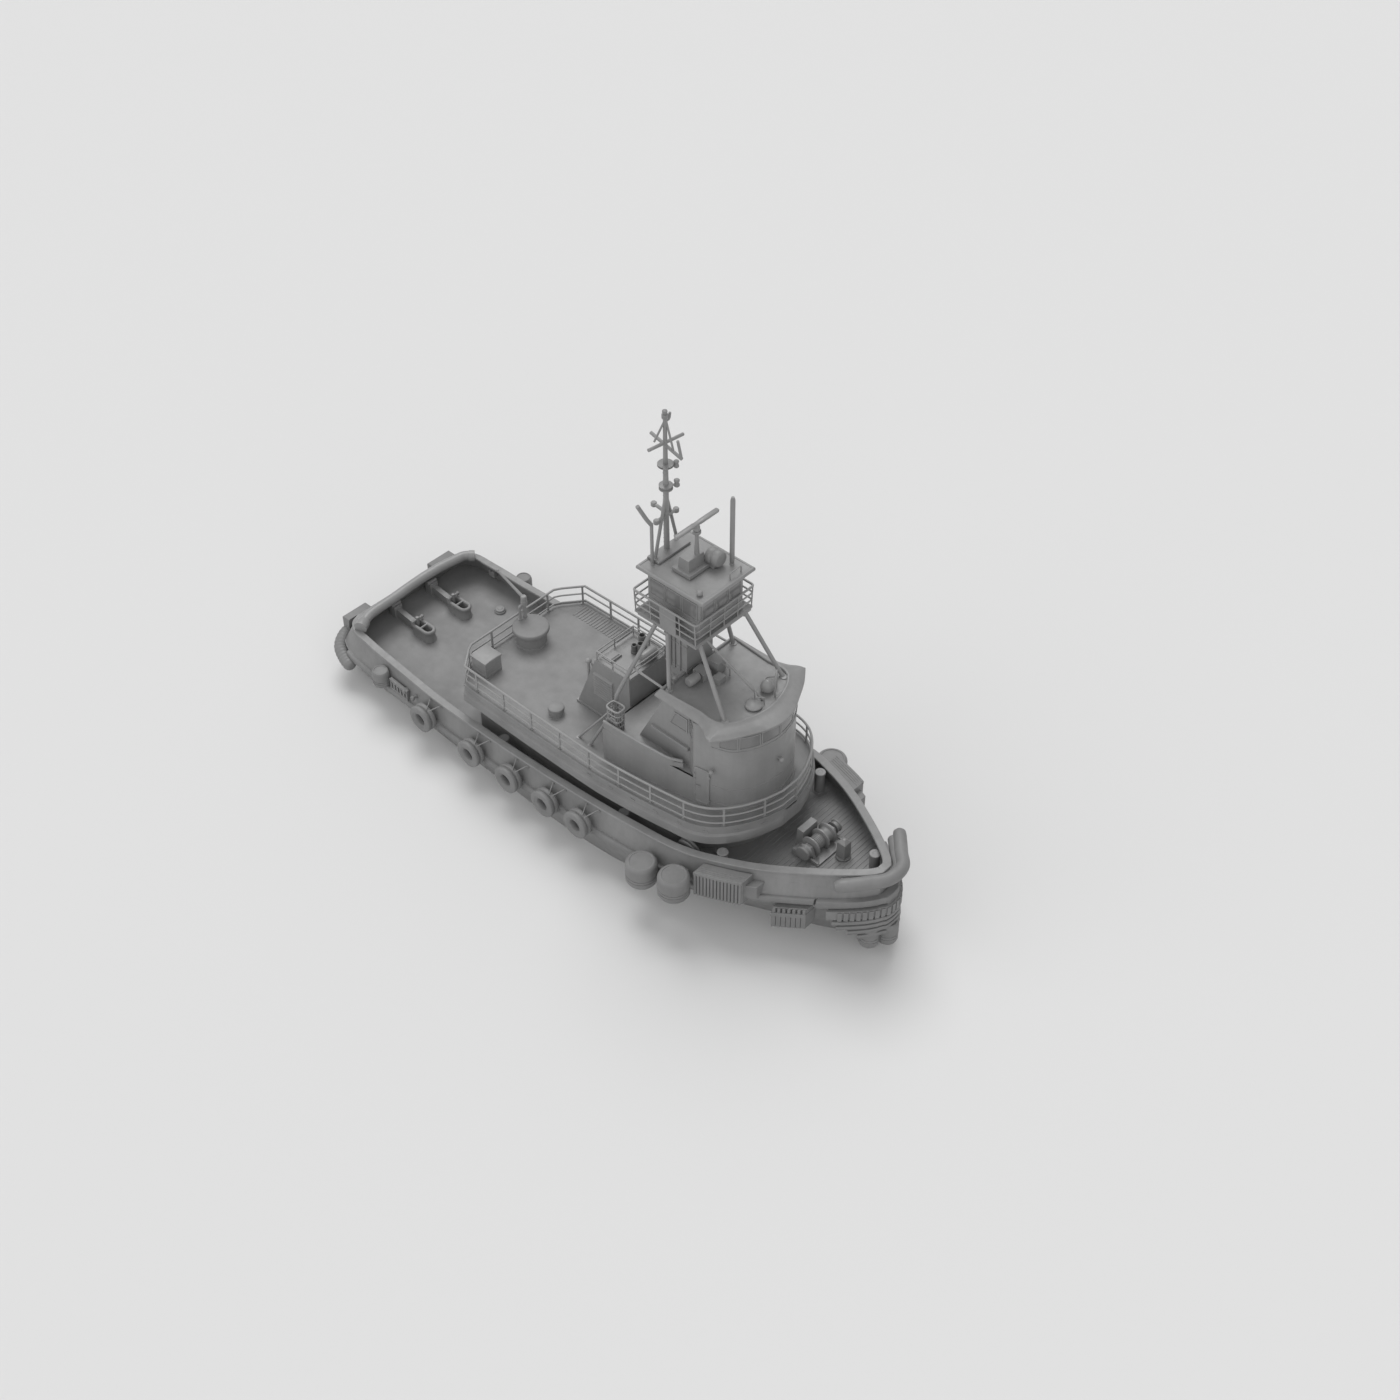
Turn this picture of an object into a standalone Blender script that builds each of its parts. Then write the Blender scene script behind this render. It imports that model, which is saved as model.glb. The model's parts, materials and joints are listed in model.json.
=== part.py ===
"""A harbour tugboat about 29 m long, in metres.

+X to the bow, +Y to port, +Z up, origin amidships at the waterline.
"""

import bmesh
import bpy
from math import cos, pi, radians, sin
from mathutils import Matrix, Vector

GAP = 0.0003  # left between pieces that rest on each other
CLEARANCE = 0.006  # left round a piece that moves

HALF_LENGTH = 14.0  # scale of the sheer curve
BULWARK_HEIGHT = 1.05
BULWARK_THICKNESS = 0.10
CAP_WIDTH = 0.34
CAP_THICKNESS = 0.09
STRAKE_HEIGHT = 0.34
STRAKE_DEPTH = 0.16
BOAT_DECK_Z = 4.0
BOAT_DECK_RISE = 0.57  # how far the boat deck's front stands above its middle
BOAT_DECK_RISE_FROM = 2.0
BOAT_DECK_FRONT = 8.86
DECK_PLATE = 0.12
RAIL_RADIUS = 0.035
RAIL_HEIGHTS = (0.16, 0.55, 0.95)

# Materials. Columns: grey or colour, roughness, metallic.
MATERIALS = {
    "steel": ((0.22, 0.22, 0.22, 1), 0.45, 0.0), "deck": ((0.19, 0.19, 0.19, 1), 0.60, 0.0),
    "rubber": ((0.10, 0.10, 0.10, 1), 0.75, 0.0), "pipe": ((0.25, 0.25, 0.25, 1), 0.40, 0.1),
    "bronze": ((0.30, 0.24, 0.14, 1), 0.35, 0.9),
}

# Stations of the hull, from transom to stem. Columns: x, keel z, bilge half-breadth, bilge z,
# waterline half-breadth, its z, half-breadth at the deck, x of the cap rail, half-breadth at the cap rail.
HULL = [
    (-14.05, -0.20, 2.20, -0.10, 3.00, 0.45, 3.15, -13.66, 2.84),
    (-13.75, -0.30, 2.50, -0.15, 3.25, 0.35, 3.62, -13.48, 3.28),
    (-13.20, -0.42, 2.70, -0.22, 3.35, 0.20, 3.88, -13.06, 3.58),
    (-12.00, -0.75, 2.90, -0.45, 3.42, 0.00, 3.98, -12.00, 3.74),
    (-10.00, -1.35, 3.00, -0.95, 3.50, 0.00, 4.06, -10.00, 3.86),
    (-7.50, -2.10, 3.05, -1.60, 3.68, 0.00, 4.14, -7.50, 4.02),
    (-4.00, -2.60, 3.10, -2.05, 3.80, 0.00, 4.20, -4.00, 4.07),
    (0.00, -2.70, 3.15, -2.10, 3.88, 0.00, 4.22, 0.00, 4.09),
    (4.00, -2.65, 2.75, -1.95, 3.55, 0.00, 4.20, 4.00, 4.02),
    (7.00, -2.50, 1.90, -1.75, 2.60, 0.00, 4.00, 7.00, 3.80),
    (8.20, -2.40, 1.40, -1.62, 2.10, 0.00, 3.66, 8.20, 3.43),
    (9.50, -2.25, 0.95, -1.50, 1.52, 0.00, 3.20, 9.50, 2.92),
    (11.20, -1.70, 0.42, -1.00, 0.92, 0.10, 2.29, 11.20, 2.00),
    (12.30, -0.75, 0.15, -0.35, 0.42, 0.45, 1.60, 12.30, 1.31),
    (12.90, 0.35, 0.08, 0.60, 0.25, 1.10, 1.14, 12.90, 0.89),
    (13.30, 1.45, 0.06, 1.60, 0.18, 1.90, 0.78, 13.30, 0.56),
    (13.60, 2.45, 0.05, 2.52, 0.10, 2.65, 0.42, 13.55, 0.24),
]

# Half plan of the boat deck's edge, from its aft end to its front. Columns: x, half-breadth.
BOAT_DECK = [
    (-6.66, 2.40), (-6.48, 2.72), (-5.80, 3.56), (-2.00, 3.62), (BOAT_DECK_RISE_FROM, 3.60), (4.40, 3.50),
    (5.60, 3.40), (6.70, 3.25), (7.35, 2.96), (7.95, 2.40), (8.62, 1.25), (BOAT_DECK_FRONT, 0.45),
]
# Half plan of the house under the boat deck. Columns: x, half-breadth.
DECKHOUSE = [(-5.60, 3.02), (2.00, 3.04), (4.40, 2.95), (5.60, 2.80), (6.70, 2.30), (7.55, 1.45), (7.95, 0.0)]
# Half plan of the house on the boat deck, with a flat stretch for its door. Columns: x, half-breadth.
LOWER_HOUSE = [
    (1.40, 2.68), (3.60, 2.52), (5.00, 2.38), (5.86, 2.28), (6.62, 2.14), (7.35, 1.86), (7.86, 1.22),
    (8.08, 0.60), (8.16, 0.0),
]
# Half plan of the wheelhouse above it, narrower aft of its round front. Its aft wall leans forward, so
# its aft end has another place at the top. Columns: x, half-breadth.
WHEELHOUSE = [
    (2.72, 1.95), (5.36, 1.95), (5.86, 2.28), (6.62, 2.14), (7.35, 1.86), (7.86, 1.22), (8.08, 0.60),
    (8.16, 0.0),
]
WHEELHOUSE_AFT_TOP = 4.12


def clear_scene():
    for obj in list(bpy.data.objects):
        bpy.data.objects.remove(obj, do_unlink=True)


def material(kind):
    found = bpy.data.materials.get(kind)
    if found:
        return found
    made = bpy.data.materials.new(kind)
    made.use_nodes = True
    shader = made.node_tree.nodes["Principled BSDF"]
    color, roughness, metallic = MATERIALS[kind]
    shader.inputs["Base Color"].default_value = color
    shader.inputs["Roughness"].default_value = roughness
    shader.inputs["Metallic"].default_value = metallic
    made.diffuse_color = color
    return made


def cap_height(x):
    """Height of the cap rail, the sheer curve."""
    t = x / HALF_LENGTH
    return 2.69 + 0.91 * t + 0.91 * t * t - 0.08 * t ** 3


def deck_height(x):
    return cap_height(x) - BULWARK_HEIGHT


def boat_deck_height(x):
    rise = max(0.0, x - BOAT_DECK_RISE_FROM) / (BOAT_DECK_FRONT - BOAT_DECK_RISE_FROM)
    return BOAT_DECK_Z + BOAT_DECK_RISE * rise


def between(table, x, column):
    """A column of a table, read at x along straight lines."""
    for low, high in zip(table, table[1:]):
        if low[0] <= x <= high[0]:
            return low[column] + (high[column] - low[column]) * (x - low[0]) / (high[0] - low[0])
    return table[0][column] if x < table[0][0] else table[-1][column]


def deck_half(x):
    return between(HULL, x, 6)


def mirrored(half):
    """A closed plan, anticlockwise from above, from the (x, half-breadth) points of one side."""
    port = [(x, y) for x, y in half]
    starboard = [(x, -y) for x, y in half if y > 0]
    return starboard + port[::-1]


def inset(plan, distance):
    """A closed plan moved inwards by a distance, with its corners kept."""
    moved = []
    for before, here, after in zip([plan[-1]] + plan[:-1], plan, plan[1:] + plan[:1]):
        first = (Vector(here) - Vector(before)).normalized()
        second = (Vector(after) - Vector(here)).normalized()
        left = Vector((-first.y - second.y, first.x + second.x)).normalized()
        scale = distance / max(0.35, left.dot(Vector((-first.y, first.x))))
        moved.append((here[0] + left.x * scale, here[1] + left.y * scale))
    return moved


def loft(rings, closed=False, triangles=False):
    """A mesh through rings of as many points each, with flat ends unless it closes on itself."""
    mesh = bmesh.new()
    made = [[mesh.verts.new(point) for point in ring] for ring in rings]
    pairs = list(zip(made, made[1:])) + ([(made[-1], made[0])] if closed else [])
    for low, high in pairs:
        for i in range(len(low)):
            j = (i + 1) % len(low)
            if triangles:
                mesh.faces.new((low[i], low[j], high[j]))
                mesh.faces.new((low[i], high[j], high[i]))
            else:
                mesh.faces.new((low[i], low[j], high[j], high[i]))
    if not closed:
        mesh.faces.new(made[0][::-1])
        mesh.faces.new(made[-1])
    bmesh.ops.recalc_face_normals(mesh, faces=mesh.faces)
    return mesh


def box(low, high):
    (x0, y0, z0), (x1, y1, z1) = low, high
    return loft([[(x0, y0, z), (x1, y0, z), (x1, y1, z), (x0, y1, z)] for z in (z0, z1)])


def level_at(level, x):
    """A height that may be a number or a function of x."""
    return level(x) if callable(level) else level


def prism(plan, bottom, top):
    """A plan extruded upwards. A height may be a number or a function of x."""
    return loft([[(x, y, level_at(level, x)) for x, y in plan] for level in (bottom, top)])


def frustum(low, high, bottom, top):
    """A box whose top is another rectangle than its bottom. Columns of a rectangle: x0, x1, y0, y1."""
    rings = []
    for (x0, x1, y0, y1), z in ((low, bottom), (high, top)):
        rings.append([(x0, y0, z), (x1, y0, z), (x1, y1, z), (x0, y1, z)])
    return loft(rings)


def across(direction):
    """Two unit vectors square to a direction."""
    side = direction.cross(Vector((0, 0, 1)))
    if side.length < 1e-3:
        side = Vector((1, 0, 0))
    side.normalize()
    return side, side.cross(direction).normalized()


def pipe(points, radius, sides=6, closed=False):
    """A round bar along points, mitred at its corners."""
    path = [Vector(point) for point in points]
    count = len(path)
    rings = []
    for i, point in enumerate(path):
        before = path[i - 1] if closed or i else point
        after = path[(i + 1) % count] if closed or i < count - 1 else point
        first, second = (point - before), (after - point)
        first = first.normalized() if first.length else second.normalized()
        second = second.normalized() if second.length else first
        along = (first + second).normalized()
        side, up = across(along)
        stretch = 1 / max(0.5, along.dot(first))
        bend = (second - first)
        ring = []
        for k in range(sides):
            angle = 2 * pi * (k + 0.5) / sides
            offset = side * cos(angle) * radius + up * sin(angle) * radius
            if bend.length > 1e-6:
                outward = bend.normalized()
                offset += outward * offset.dot(outward) * (stretch - 1)
            ring.append(point + offset)
        rings.append(ring)
    return loft(rings, closed)


def turned(profile, centre, axis="z", sides=16, closed=False):
    """A profile of (radius, height) points turned about an axis through the centre."""
    rings = []
    for k in range(sides):
        angle = 2 * pi * k / sides
        ring = []
        for radius, height in profile:
            a, b = radius * cos(angle), radius * sin(angle)
            offset = {"z": (a, b, height), "y": (a, height, b), "x": (height, a, b)}[axis]
            ring.append(tuple(Vector(centre) + Vector(offset)))
        rings.append(ring)
    if closed:
        return loft(rings, closed=True)
    mesh = bmesh.new()
    made = [[mesh.verts.new(ring[i]) for ring in rings] for i in range(len(profile))]
    for low, high in zip(made, made[1:]):
        for i in range(sides):
            j = (i + 1) % sides
            mesh.faces.new((low[i], low[j], high[j], high[i]))
    mesh.faces.new(made[0][::-1])
    mesh.faces.new(made[-1])
    bmesh.ops.recalc_face_normals(mesh, faces=mesh.faces)
    return mesh


def cylinder(centre, radius, bottom, top, axis="z", sides=16):
    return turned([(radius, bottom), (radius, top)], centre, axis, sides)


def place(mesh, name, kind, matrix=None):
    if matrix:
        bmesh.ops.transform(mesh, matrix=matrix, verts=mesh.verts)
    data = bpy.data.meshes.new(name)
    mesh.to_mesh(data)
    mesh.free()
    data.materials.append(material(kind))
    obj = bpy.data.objects.new(name, data)
    bpy.context.scene.collection.objects.link(obj)
    return obj


def helper(mesh, name):
    made = place(mesh, name, "steel")
    made.hide_render = True
    made.display_type = "WIRE"
    return made


def combine(obj, meshes, operation):
    """Adds or cuts the meshes, which stay as hidden helpers in a collection of their own."""
    if not meshes:
        return obj
    tools = bpy.data.collections.new(obj.name + "_" + operation.lower())
    bpy.context.scene.collection.children.link(tools)
    for i, mesh in enumerate(meshes):
        tool = helper(mesh, f"{obj.name}_{operation.lower()}_{i}")
        bpy.context.scene.collection.objects.unlink(tool)
        tools.objects.link(tool)
    modifier = obj.modifiers.new(operation.title(), "BOOLEAN")
    modifier.operation = operation
    modifier.operand_type = "COLLECTION"
    modifier.collection = tools
    modifier.solver = "EXACT"
    return obj


def piece(name, kind, meshes, cuts=(), smooth=True):
    """One node: the first mesh with the others joined to it, and the cuts taken out."""
    obj = place(meshes[0], name, kind)
    combine(obj, list(meshes[1:]), "UNION")
    combine(obj, list(cuts), "DIFFERENCE")
    if smooth:
        obj.data.shade_smooth()
        obj.data.set_sharp_from_angle(angle=radians(35))
    return obj


def hang_on(obj, name, location):
    """Gives a moving piece an empty on its joint's axis as its parent, and keeps it where it is."""
    empty = bpy.data.objects.new(name + "_axis", None)
    empty.location = location
    bpy.context.scene.collection.objects.link(empty)
    obj.parent = empty
    obj.matrix_parent_inverse = Matrix.Translation(location).inverted()
    return obj


def hull_ring(station, spread=0.0):
    """The hull's section at a station, moved outwards a little where it serves as a cutter."""
    x, keel, bilge_half, bilge, water_half, water, deck, _, _ = station
    top = deck_height(x)
    half = [
        (0.0, keel), (bilge_half * 0.55, keel + 0.3 * (bilge - keel)), (bilge_half, bilge),
        (water_half, water), (deck, top - STRAKE_HEIGHT - 0.05), (deck, top + spread),
    ]
    end = spread if station is HULL[-1] else -spread if station is HULL[0] else 0
    port = [(x + end, y + spread * (y > 0), z) for y, z in half]
    starboard = [(px, -py, pz) for px, py, pz in port[1:]]
    return starboard[::-1] + port


def hull_solid(spread=0.0):
    return loft([hull_ring(station, spread) for station in HULL], triangles=True)


BOLLARD_RADIUS = 0.20
# Bollards on the main deck. Columns: x, half-breadth, height.
BOLLARDS = [(-3.65, 3.50, 0.85), (3.20, 3.45, 0.85), (7.93, 2.89, 1.05)]
BOW_BOLLARD = (12.52, 0.60, 0.85)  # x, y, height
SKEG = (-9.2, 6.5, 0.16, -3.15)  # aft end, front end, half thickness, bottom
PROPELLER = {"x": -11.55, "y": 1.60, "z": -1.95, "radius": 0.95, "hub": 0.19, "blades": 4}
RUDDER = {"x": -12.75, "y": 1.60, "top": -1.00, "bottom": -2.95, "fore": 0.42, "aft": 0.98, "stock": 0.09}


def bollard(x, y, height):
    base = deck_height(x)
    head = BOLLARD_RADIUS + 0.05
    profile = [(BOLLARD_RADIUS, -0.3), (BOLLARD_RADIUS, height - 0.08), (head, height - 0.06), (head, height)]
    return turned(profile, (x, y, base), sides=12)


def square(x, y, half, z):
    return [(x - half, y - half, z), (x + half, y - half, z), (x + half, y + half, z), (x - half, y + half, z)]


def deck_post():
    """The square post between the windlass and the bow, on a round foot."""
    x, y = 11.18, 0.41
    base = deck_height(x)
    shape = ((0.21, base - 0.15), (0.19, base + 0.86), (0.05, base + 1.0))
    post = loft([square(x, y, half, z) for half, z in shape])
    return [cylinder((x, y, base), 0.30, -0.15, 0.12, sides=12), post]


def skeg():
    aft, front, half, bottom = SKEG
    sections = (
        (aft, bottom + 0.25, -1.2), (aft + 1.2, bottom, -1.9), (front - 1.5, bottom, -1.9),
        (front, bottom + 0.5, -1.9),
    )
    rings = [[(x, -half, low), (x, half, low), (x, half, high), (x, -half, high)] for x, low, high in sections]
    return loft(rings)


def deck_drum():
    """The low round fitting on the port side of the aft deck."""
    x, y = -10.34, 2.48
    profile = [(0.27, -0.2), (0.27, 0.06), (0.22, 0.09), (0.22, 0.15), (0.12, 0.18)]
    return turned(profile, (x, y, deck_height(x)), sides=12)


def make_hull():
    extra = [skeg()]
    for side in (-1, 1):
        for x, y, height in BOLLARDS:
            extra.append(bollard(x, side * y, height))
        y, z = side * PROPELLER["y"], PROPELLER["z"]
        hub_front = PROPELLER["x"] + 0.34
        extra.append(cylinder((0, y, z), 0.17, hub_front, -7.0, axis="x", sides=10))
        extra.append(box((hub_front + 0.15, y - 0.06, z), (hub_front + 0.55, y + 0.06, -0.6)))
        extra.append(cylinder((RUDDER["x"], y, 0), 0.17, RUDDER["top"] + 0.16, -0.1, sides=10))
    extra.append(bollard(*BOW_BOLLARD))
    extra.append(deck_drum())
    extra += deck_post()
    return piece("hull", "steel", [hull_solid()] + extra)


def bulwark_plans():
    """The hull's plan at the deck and at the cap rail, point for point."""
    base = [(station[0], station[6]) for station in HULL]
    top = [station[7:9] for station in HULL]
    return mirrored(base), mirrored(top)


def bulwark_mesh(grow=0.0):
    """The bulwark with its cap rail, or the same a little larger as a cutter."""
    base, top = bulwark_plans()
    cap = inset(top, -grow)
    web, web_inner = inset(top, 0.06 - grow), inset(top, 0.06 + BULWARK_THICKNESS + grow)
    foot, foot_inner = inset(base, 0.02 - grow), inset(base, 0.02 + BULWARK_THICKNESS + grow)
    cap_inner = inset(top, CAP_WIDTH + grow)
    rings = []
    for i, (x, _) in enumerate(top):
        above, below = cap_height(x) + grow, cap_height(x) - CAP_THICKNESS - grow
        floor = deck_height(base[i][0]) + GAP
        section = (
            (foot, floor), (web, below), (cap, below), (cap, above), (cap_inner, above), (cap_inner, below),
            (web_inner, below), (foot_inner, floor),
        )
        rings.append([(plan[i][0], plan[i][1], z) for plan, z in section])
    return loft(rings, closed=True, triangles=True)


def make_bulwark():
    return piece("bulwark", "steel", [bulwark_mesh()])


TYRE_RADIUS = 0.62
TYRE_DEPTH = 0.50
TYRES = (-7.68, -4.64, -2.35, -0.20, 1.69)
TYRE_LIFT = 0.29  # how far a tyre's middle lies above the middle of the strake


def strake_stations():
    return [x for x, *_ in HULL if -13.3 < x < 12.0] + [12.0]


def strake_height(x):
    return deck_height(x) - STRAKE_HEIGHT / 2 - 0.02


def tyre(x, side):
    """A fat tyre against the strake, in two ribs, with its hole facing outwards."""
    centre = (x, side * (deck_half(x) + STRAKE_DEPTH - 0.08), strake_height(x) + TYRE_LIFT)
    low, high = sorted((0.0, side * TYRE_DEPTH))
    rib = (high - low) / 2
    hole, shoulder = TYRE_RADIUS * 0.42, TYRE_RADIUS - 0.07
    profile = [(hole, low), (shoulder, low)]
    for start in (low, low + rib):
        profile += [(TYRE_RADIUS, start + 0.08), (TYRE_RADIUS, start + rib - 0.08), (shoulder, start + rib)]
    profile.append((hole, high))
    return turned(profile, centre, "y", sides=14, closed=True)


def make_side_fender(side, name):
    """The rubber strake of one side with the tyres that hang on it."""
    rings = []
    for x in strake_stations():
        half, middle = deck_half(x) + GAP, strake_height(x)
        low, high = middle - STRAKE_HEIGHT / 2, middle + STRAKE_HEIGHT / 2
        slope = half + STRAKE_DEPTH * 0.8
        section = (
            (half, low), (slope, low + 0.04), (half + STRAKE_DEPTH, middle), (slope, high - 0.04), (half, high),
        )
        rings.append([(x, side * y, z) for y, z in section])
    return piece(name, "rubber", [loft(rings)] + [tyre(x, side) for x in TYRES])


# Barrel fenders. Columns: name, sides that have one, x, distance out from the strake, radius, top z, height.
BARRELS = [
    ("aft", (-1, 1), -10.60, 0.04, 0.38, 2.28, 0.78), ("middle", (-1,), 5.50, 0.61, 0.64, 2.75, 1.06),
    ("forward", (-1,), 7.08, 0.60, 0.64, 3.05, 1.06), ("forward", (1,), 7.08, 0.60, 0.64, 2.35, 1.06),
]


def bulwark_space(above=0.03):
    """The bulwark's space, from just under the deck to near the top of the cap rail."""
    rings = []
    for station in HULL:
        x, deck, cap_x, cap = station[0], station[6], station[7], station[8]
        end = GAP if station is HULL[-1] else -GAP if station is HULL[0] else 0
        wide, narrow, floor = deck + 2 * GAP, cap + 2 * GAP, deck_height(x)
        low = [(x + end, y, floor - 0.1) for y in (-wide, wide)]
        high = [(cap_x + end, y, cap_height(cap_x) + above) for y in (narrow, -narrow)]
        rings.append(low + [(x + end, wide, floor)] + high + [(x + end, -wide, floor)])
    return loft(rings, triangles=True)


def strake_cut(side):
    """The strake's space with the gap round it."""
    rings = []
    stations = strake_stations()
    for x in stations:
        end = GAP if x == stations[-1] else -GAP if x == stations[0] else 0
        half, middle = deck_half(x), strake_height(x)
        low, high = middle - STRAKE_HEIGHT / 2 - GAP, middle + STRAKE_HEIGHT / 2 + GAP
        outside = half + STRAKE_DEPTH + 2 * GAP
        section = ((half - 0.1, low), (outside, low), (outside, high), (half - 0.1, high))
        rings.append([(x + end, side * y, z) for y, z in section])
    return loft(rings)


def side_cuts(side):
    """What trims a piece that lies against one side of the boat."""
    return [hull_solid(2 * GAP), bulwark_space(), strake_cut(side)]


def make_barrel(side, name, x, out, radius, top, height):
    y = side * (deck_half(x) + STRAKE_DEPTH + out)
    bottom = top - height
    profile = [
        (radius * 0.72, bottom), (radius, bottom + 0.18), (radius, top - 0.12), (radius * 0.86, top - 0.02),
        (radius * 0.80, top),
    ]
    return piece(name, "rubber", [turned(profile, (x, y, 0), sides=18)], side_cuts(side))


# Fenders against the side, with their top and bottom above and below the strake's middle.
BLOCK_FENDER = {"x0": 7.66, "x1": 9.55, "out": 0.46, "top": 1.03, "bottom": -0.22, "ribs": 14}
LOUVRE_FENDER = {"x0": 10.50, "x1": 11.66, "out": 0.34, "top": -0.28, "bottom": -1.36, "straps": 7}
SLAT_FENDER = {"x0": -10.15, "x1": -9.00, "out": 0.10, "top": 0.72, "bottom": 0.10, "straps": 5}


def slab_on_side(side, x0, x1, top, bottom, out, back=0.75):
    """A slab along the side, which the cuts behind it trim to the side's shape."""
    rings = []
    for x in [x0] + [s[0] for s in HULL if x0 < s[0] < x1] + [x1]:
        middle, half = strake_height(x), deck_half(x)
        corners = ((out, top), (out, bottom), (-back, bottom), (-back, top))
        rings.append([(x, side * (half + y), middle + z) for y, z in corners])
    return loft(rings)


def make_block_fender(side, name):
    """The thick grooved pad at the shoulder, with a thinner fairing ahead of it."""
    x0, x1, out, top, bottom, ribs = (BLOCK_FENDER[key] for key in ("x0", "x1", "out", "top", "bottom", "ribs"))
    body = slab_on_side(side, x0, x1, top, bottom, out)
    fairing = slab_on_side(side, x1 - 0.2, x1 + 0.42, top - 0.30, bottom + 0.30, out - 0.20, 0.70)
    grooves = []
    for i in range(1, ribs):
        x = x0 + (x1 - x0) * i / ribs
        y0, y1 = sorted((side * (deck_half(x) + out - 0.10), side * (deck_half(x) + out + 0.4)))
        grooves.append(box((x - 0.025, y0, -1), (x + 0.025, y1, strake_height(x) + top - 0.12)))
    return piece(name, "rubber", [body, fairing], grooves + side_cuts(side), smooth=False)


def make_louvre_fender(side, name, size):
    """A top and a bottom bar with straps between them, against the side."""
    x0, x1, top, bottom, out, straps = (size[key] for key in ("x0", "x1", "top", "bottom", "out", "straps"))
    bar = (top - bottom) * 0.22
    meshes = [slab_on_side(side, x0, x1, top, top - bar, out)]
    meshes.append(slab_on_side(side, x0, x1, bottom + bar * 1.6, bottom, out))
    for i in range(straps):
        x = x0 + (x1 - x0) * (i + 0.5) / straps
        meshes.append(slab_on_side(side, x - 0.05, x + 0.05, top - 0.03, bottom + 0.1, out - 0.025, 0.70))
    return piece(name, "rubber", meshes, side_cuts(side), smooth=False)


STERN_X = HULL[0][0]
STERN_PAD = {"inner": 1.82, "outer": 3.14, "top": 2.44, "bottom": 0.35, "out": 0.40}


def make_stern_pad(side, name):
    """An upright rounded pad on the transom, whose top laps over the bulwark's foot."""
    low_z, high_z = STERN_PAD["bottom"], STERN_PAD["top"]
    face = STERN_X - GAP
    out = face - STERN_PAD["out"]
    profile = [
        (face, low_z), (out + 0.1, low_z), (out, low_z + 0.15), (out, high_z - 0.15), (out + 0.1, high_z),
        (face + 0.06, high_z), (face - 0.02, 1.75), (face, 1.55),
    ]
    low, high = sorted((side * STERN_PAD["inner"], side * STERN_PAD["outer"]))
    body = loft([[(x, y, z) for x, z in profile] for y in (low, high)])
    return piece(name, "rubber", [body], side_cuts(side))


# The roll round a stern corner, from the transom to the side. Columns: x, half-breadth, z.
STERN_ROLL = [
    (-14.20, 2.86, 1.72), (-14.16, 3.36, 1.62), (-13.84, 3.84, 1.42), (-13.30, 4.08, 1.22),
    (-12.72, 4.18, 1.08),
]
STERN_ROLL_RADIUS = 0.30


def make_stern_corner(side, name):
    """A fat roll round each stern corner."""
    points = [(x, side * y, z) for x, y, z in STERN_ROLL]
    pad = STERN_PAD
    low, high = sorted((side * (pad["inner"] - GAP), side * (pad["outer"] + GAP)))
    under_pad = box((STERN_X - 1, low, pad["bottom"] - GAP), (STERN_X + 1, high, pad["top"] + GAP))
    return piece(name, "rubber", [pipe(points, STERN_ROLL_RADIUS, sides=10)], side_cuts(side) + [under_pad])


# Centreline of the bar inside the transom's cap rail. Columns: x, y, z.
TOW_TUBE = [
    (-12.80, -3.36, 2.84), (-12.96, -3.02, 2.86), (-13.12, -2.60, 2.86), (-13.18, -2.10, 2.86),
    (-13.20, 2.55, 2.86), (-13.10, 2.98, 2.86), (-12.80, 3.30, 2.84),
]
TOW_TUBE_RADIUS = 0.22


def make_tow_tube():
    """The big round bar along the transom's bulwark, with a sleeve round its starboard end."""
    sleeve = pipe(TOW_TUBE[:2], TOW_TUBE_RADIUS + 0.07, sides=10)
    return piece("tow_tube", "steel", [pipe(TOW_TUBE, TOW_TUBE_RADIUS, sides=10), sleeve], [bulwark_mesh(GAP)])


TOW_BITT = {"x": -11.58, "y": 1.06, "shift": 0.14, "top": 2.12, "reach": 0.34, "ring": 0.32, "hole": 0.15}


def stadium(x, y, reach, radius, steps=7):
    """A plan with two round ends, a reach either side of its middle."""
    plan = []
    for end in (1, -1):
        for k in range(steps):
            angle = pi * (k / (steps - 1) - 0.5 * end)
            plan.append((x + end * reach + radius * cos(angle), y + radius * sin(angle)))
    return plan


def make_tow_bitt(side, name):
    """A towing fairlead: a low stand, a long ring on it, a cross pin and an arm to the stern."""
    x, y = TOW_BITT["x"], side * TOW_BITT["y"] + TOW_BITT["shift"]
    top, reach = TOW_BITT["top"], TOW_BITT["reach"]
    ring, hole = TOW_BITT["ring"], TOW_BITT["hole"]
    deck = deck_height(x) - 0.1
    foot, head = (x - 0.60, x + 0.62, y - 0.30, y + 0.30), (x - 0.56, x + 0.52, y - 0.24, y + 0.24)
    meshes = [frustum(foot, head, deck, top - 0.15)]
    meshes.append(house_walls(stadium(x, y, reach, ring), ring - hole, top - 0.20, top))
    rings = []
    for px, half, z in ((x - 1.85, 0.12, deck + 0.70), (x - 0.5, 0.13, top - 0.12)):
        rings.append([(px, y - half, deck), (px, y + half, deck), (px, y + half, z), (px, y - half, z)])
    meshes += [loft(rings), box((x - 2.05, y - 0.22, deck), (x - 1.65, y + 0.22, deck + 0.80))]
    pin_x = x - 0.38
    meshes.append(cylinder((pin_x, y, top - 0.3), 0.08, 0.0, 0.52, sides=8))
    meshes.append(cylinder((pin_x, y, top + 0.14), 0.05, -0.26, 0.26, axis="y", sides=8))
    return piece(name, "steel", meshes, [deck_cut()])


def deck_cut():
    """The hull's space under the main deck, raised by the gap, for seating what stands on the deck."""
    rings = []
    for station in HULL[:-1]:
        x, half = station[0], max(0.3, station[6]) + 0.4
        low, high = deck_height(x) - 1.2, deck_height(x) + GAP
        rings.append([(x, -half, low), (x, half, low), (x, half, high), (x, -half, high)])
    return loft(rings)


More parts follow.
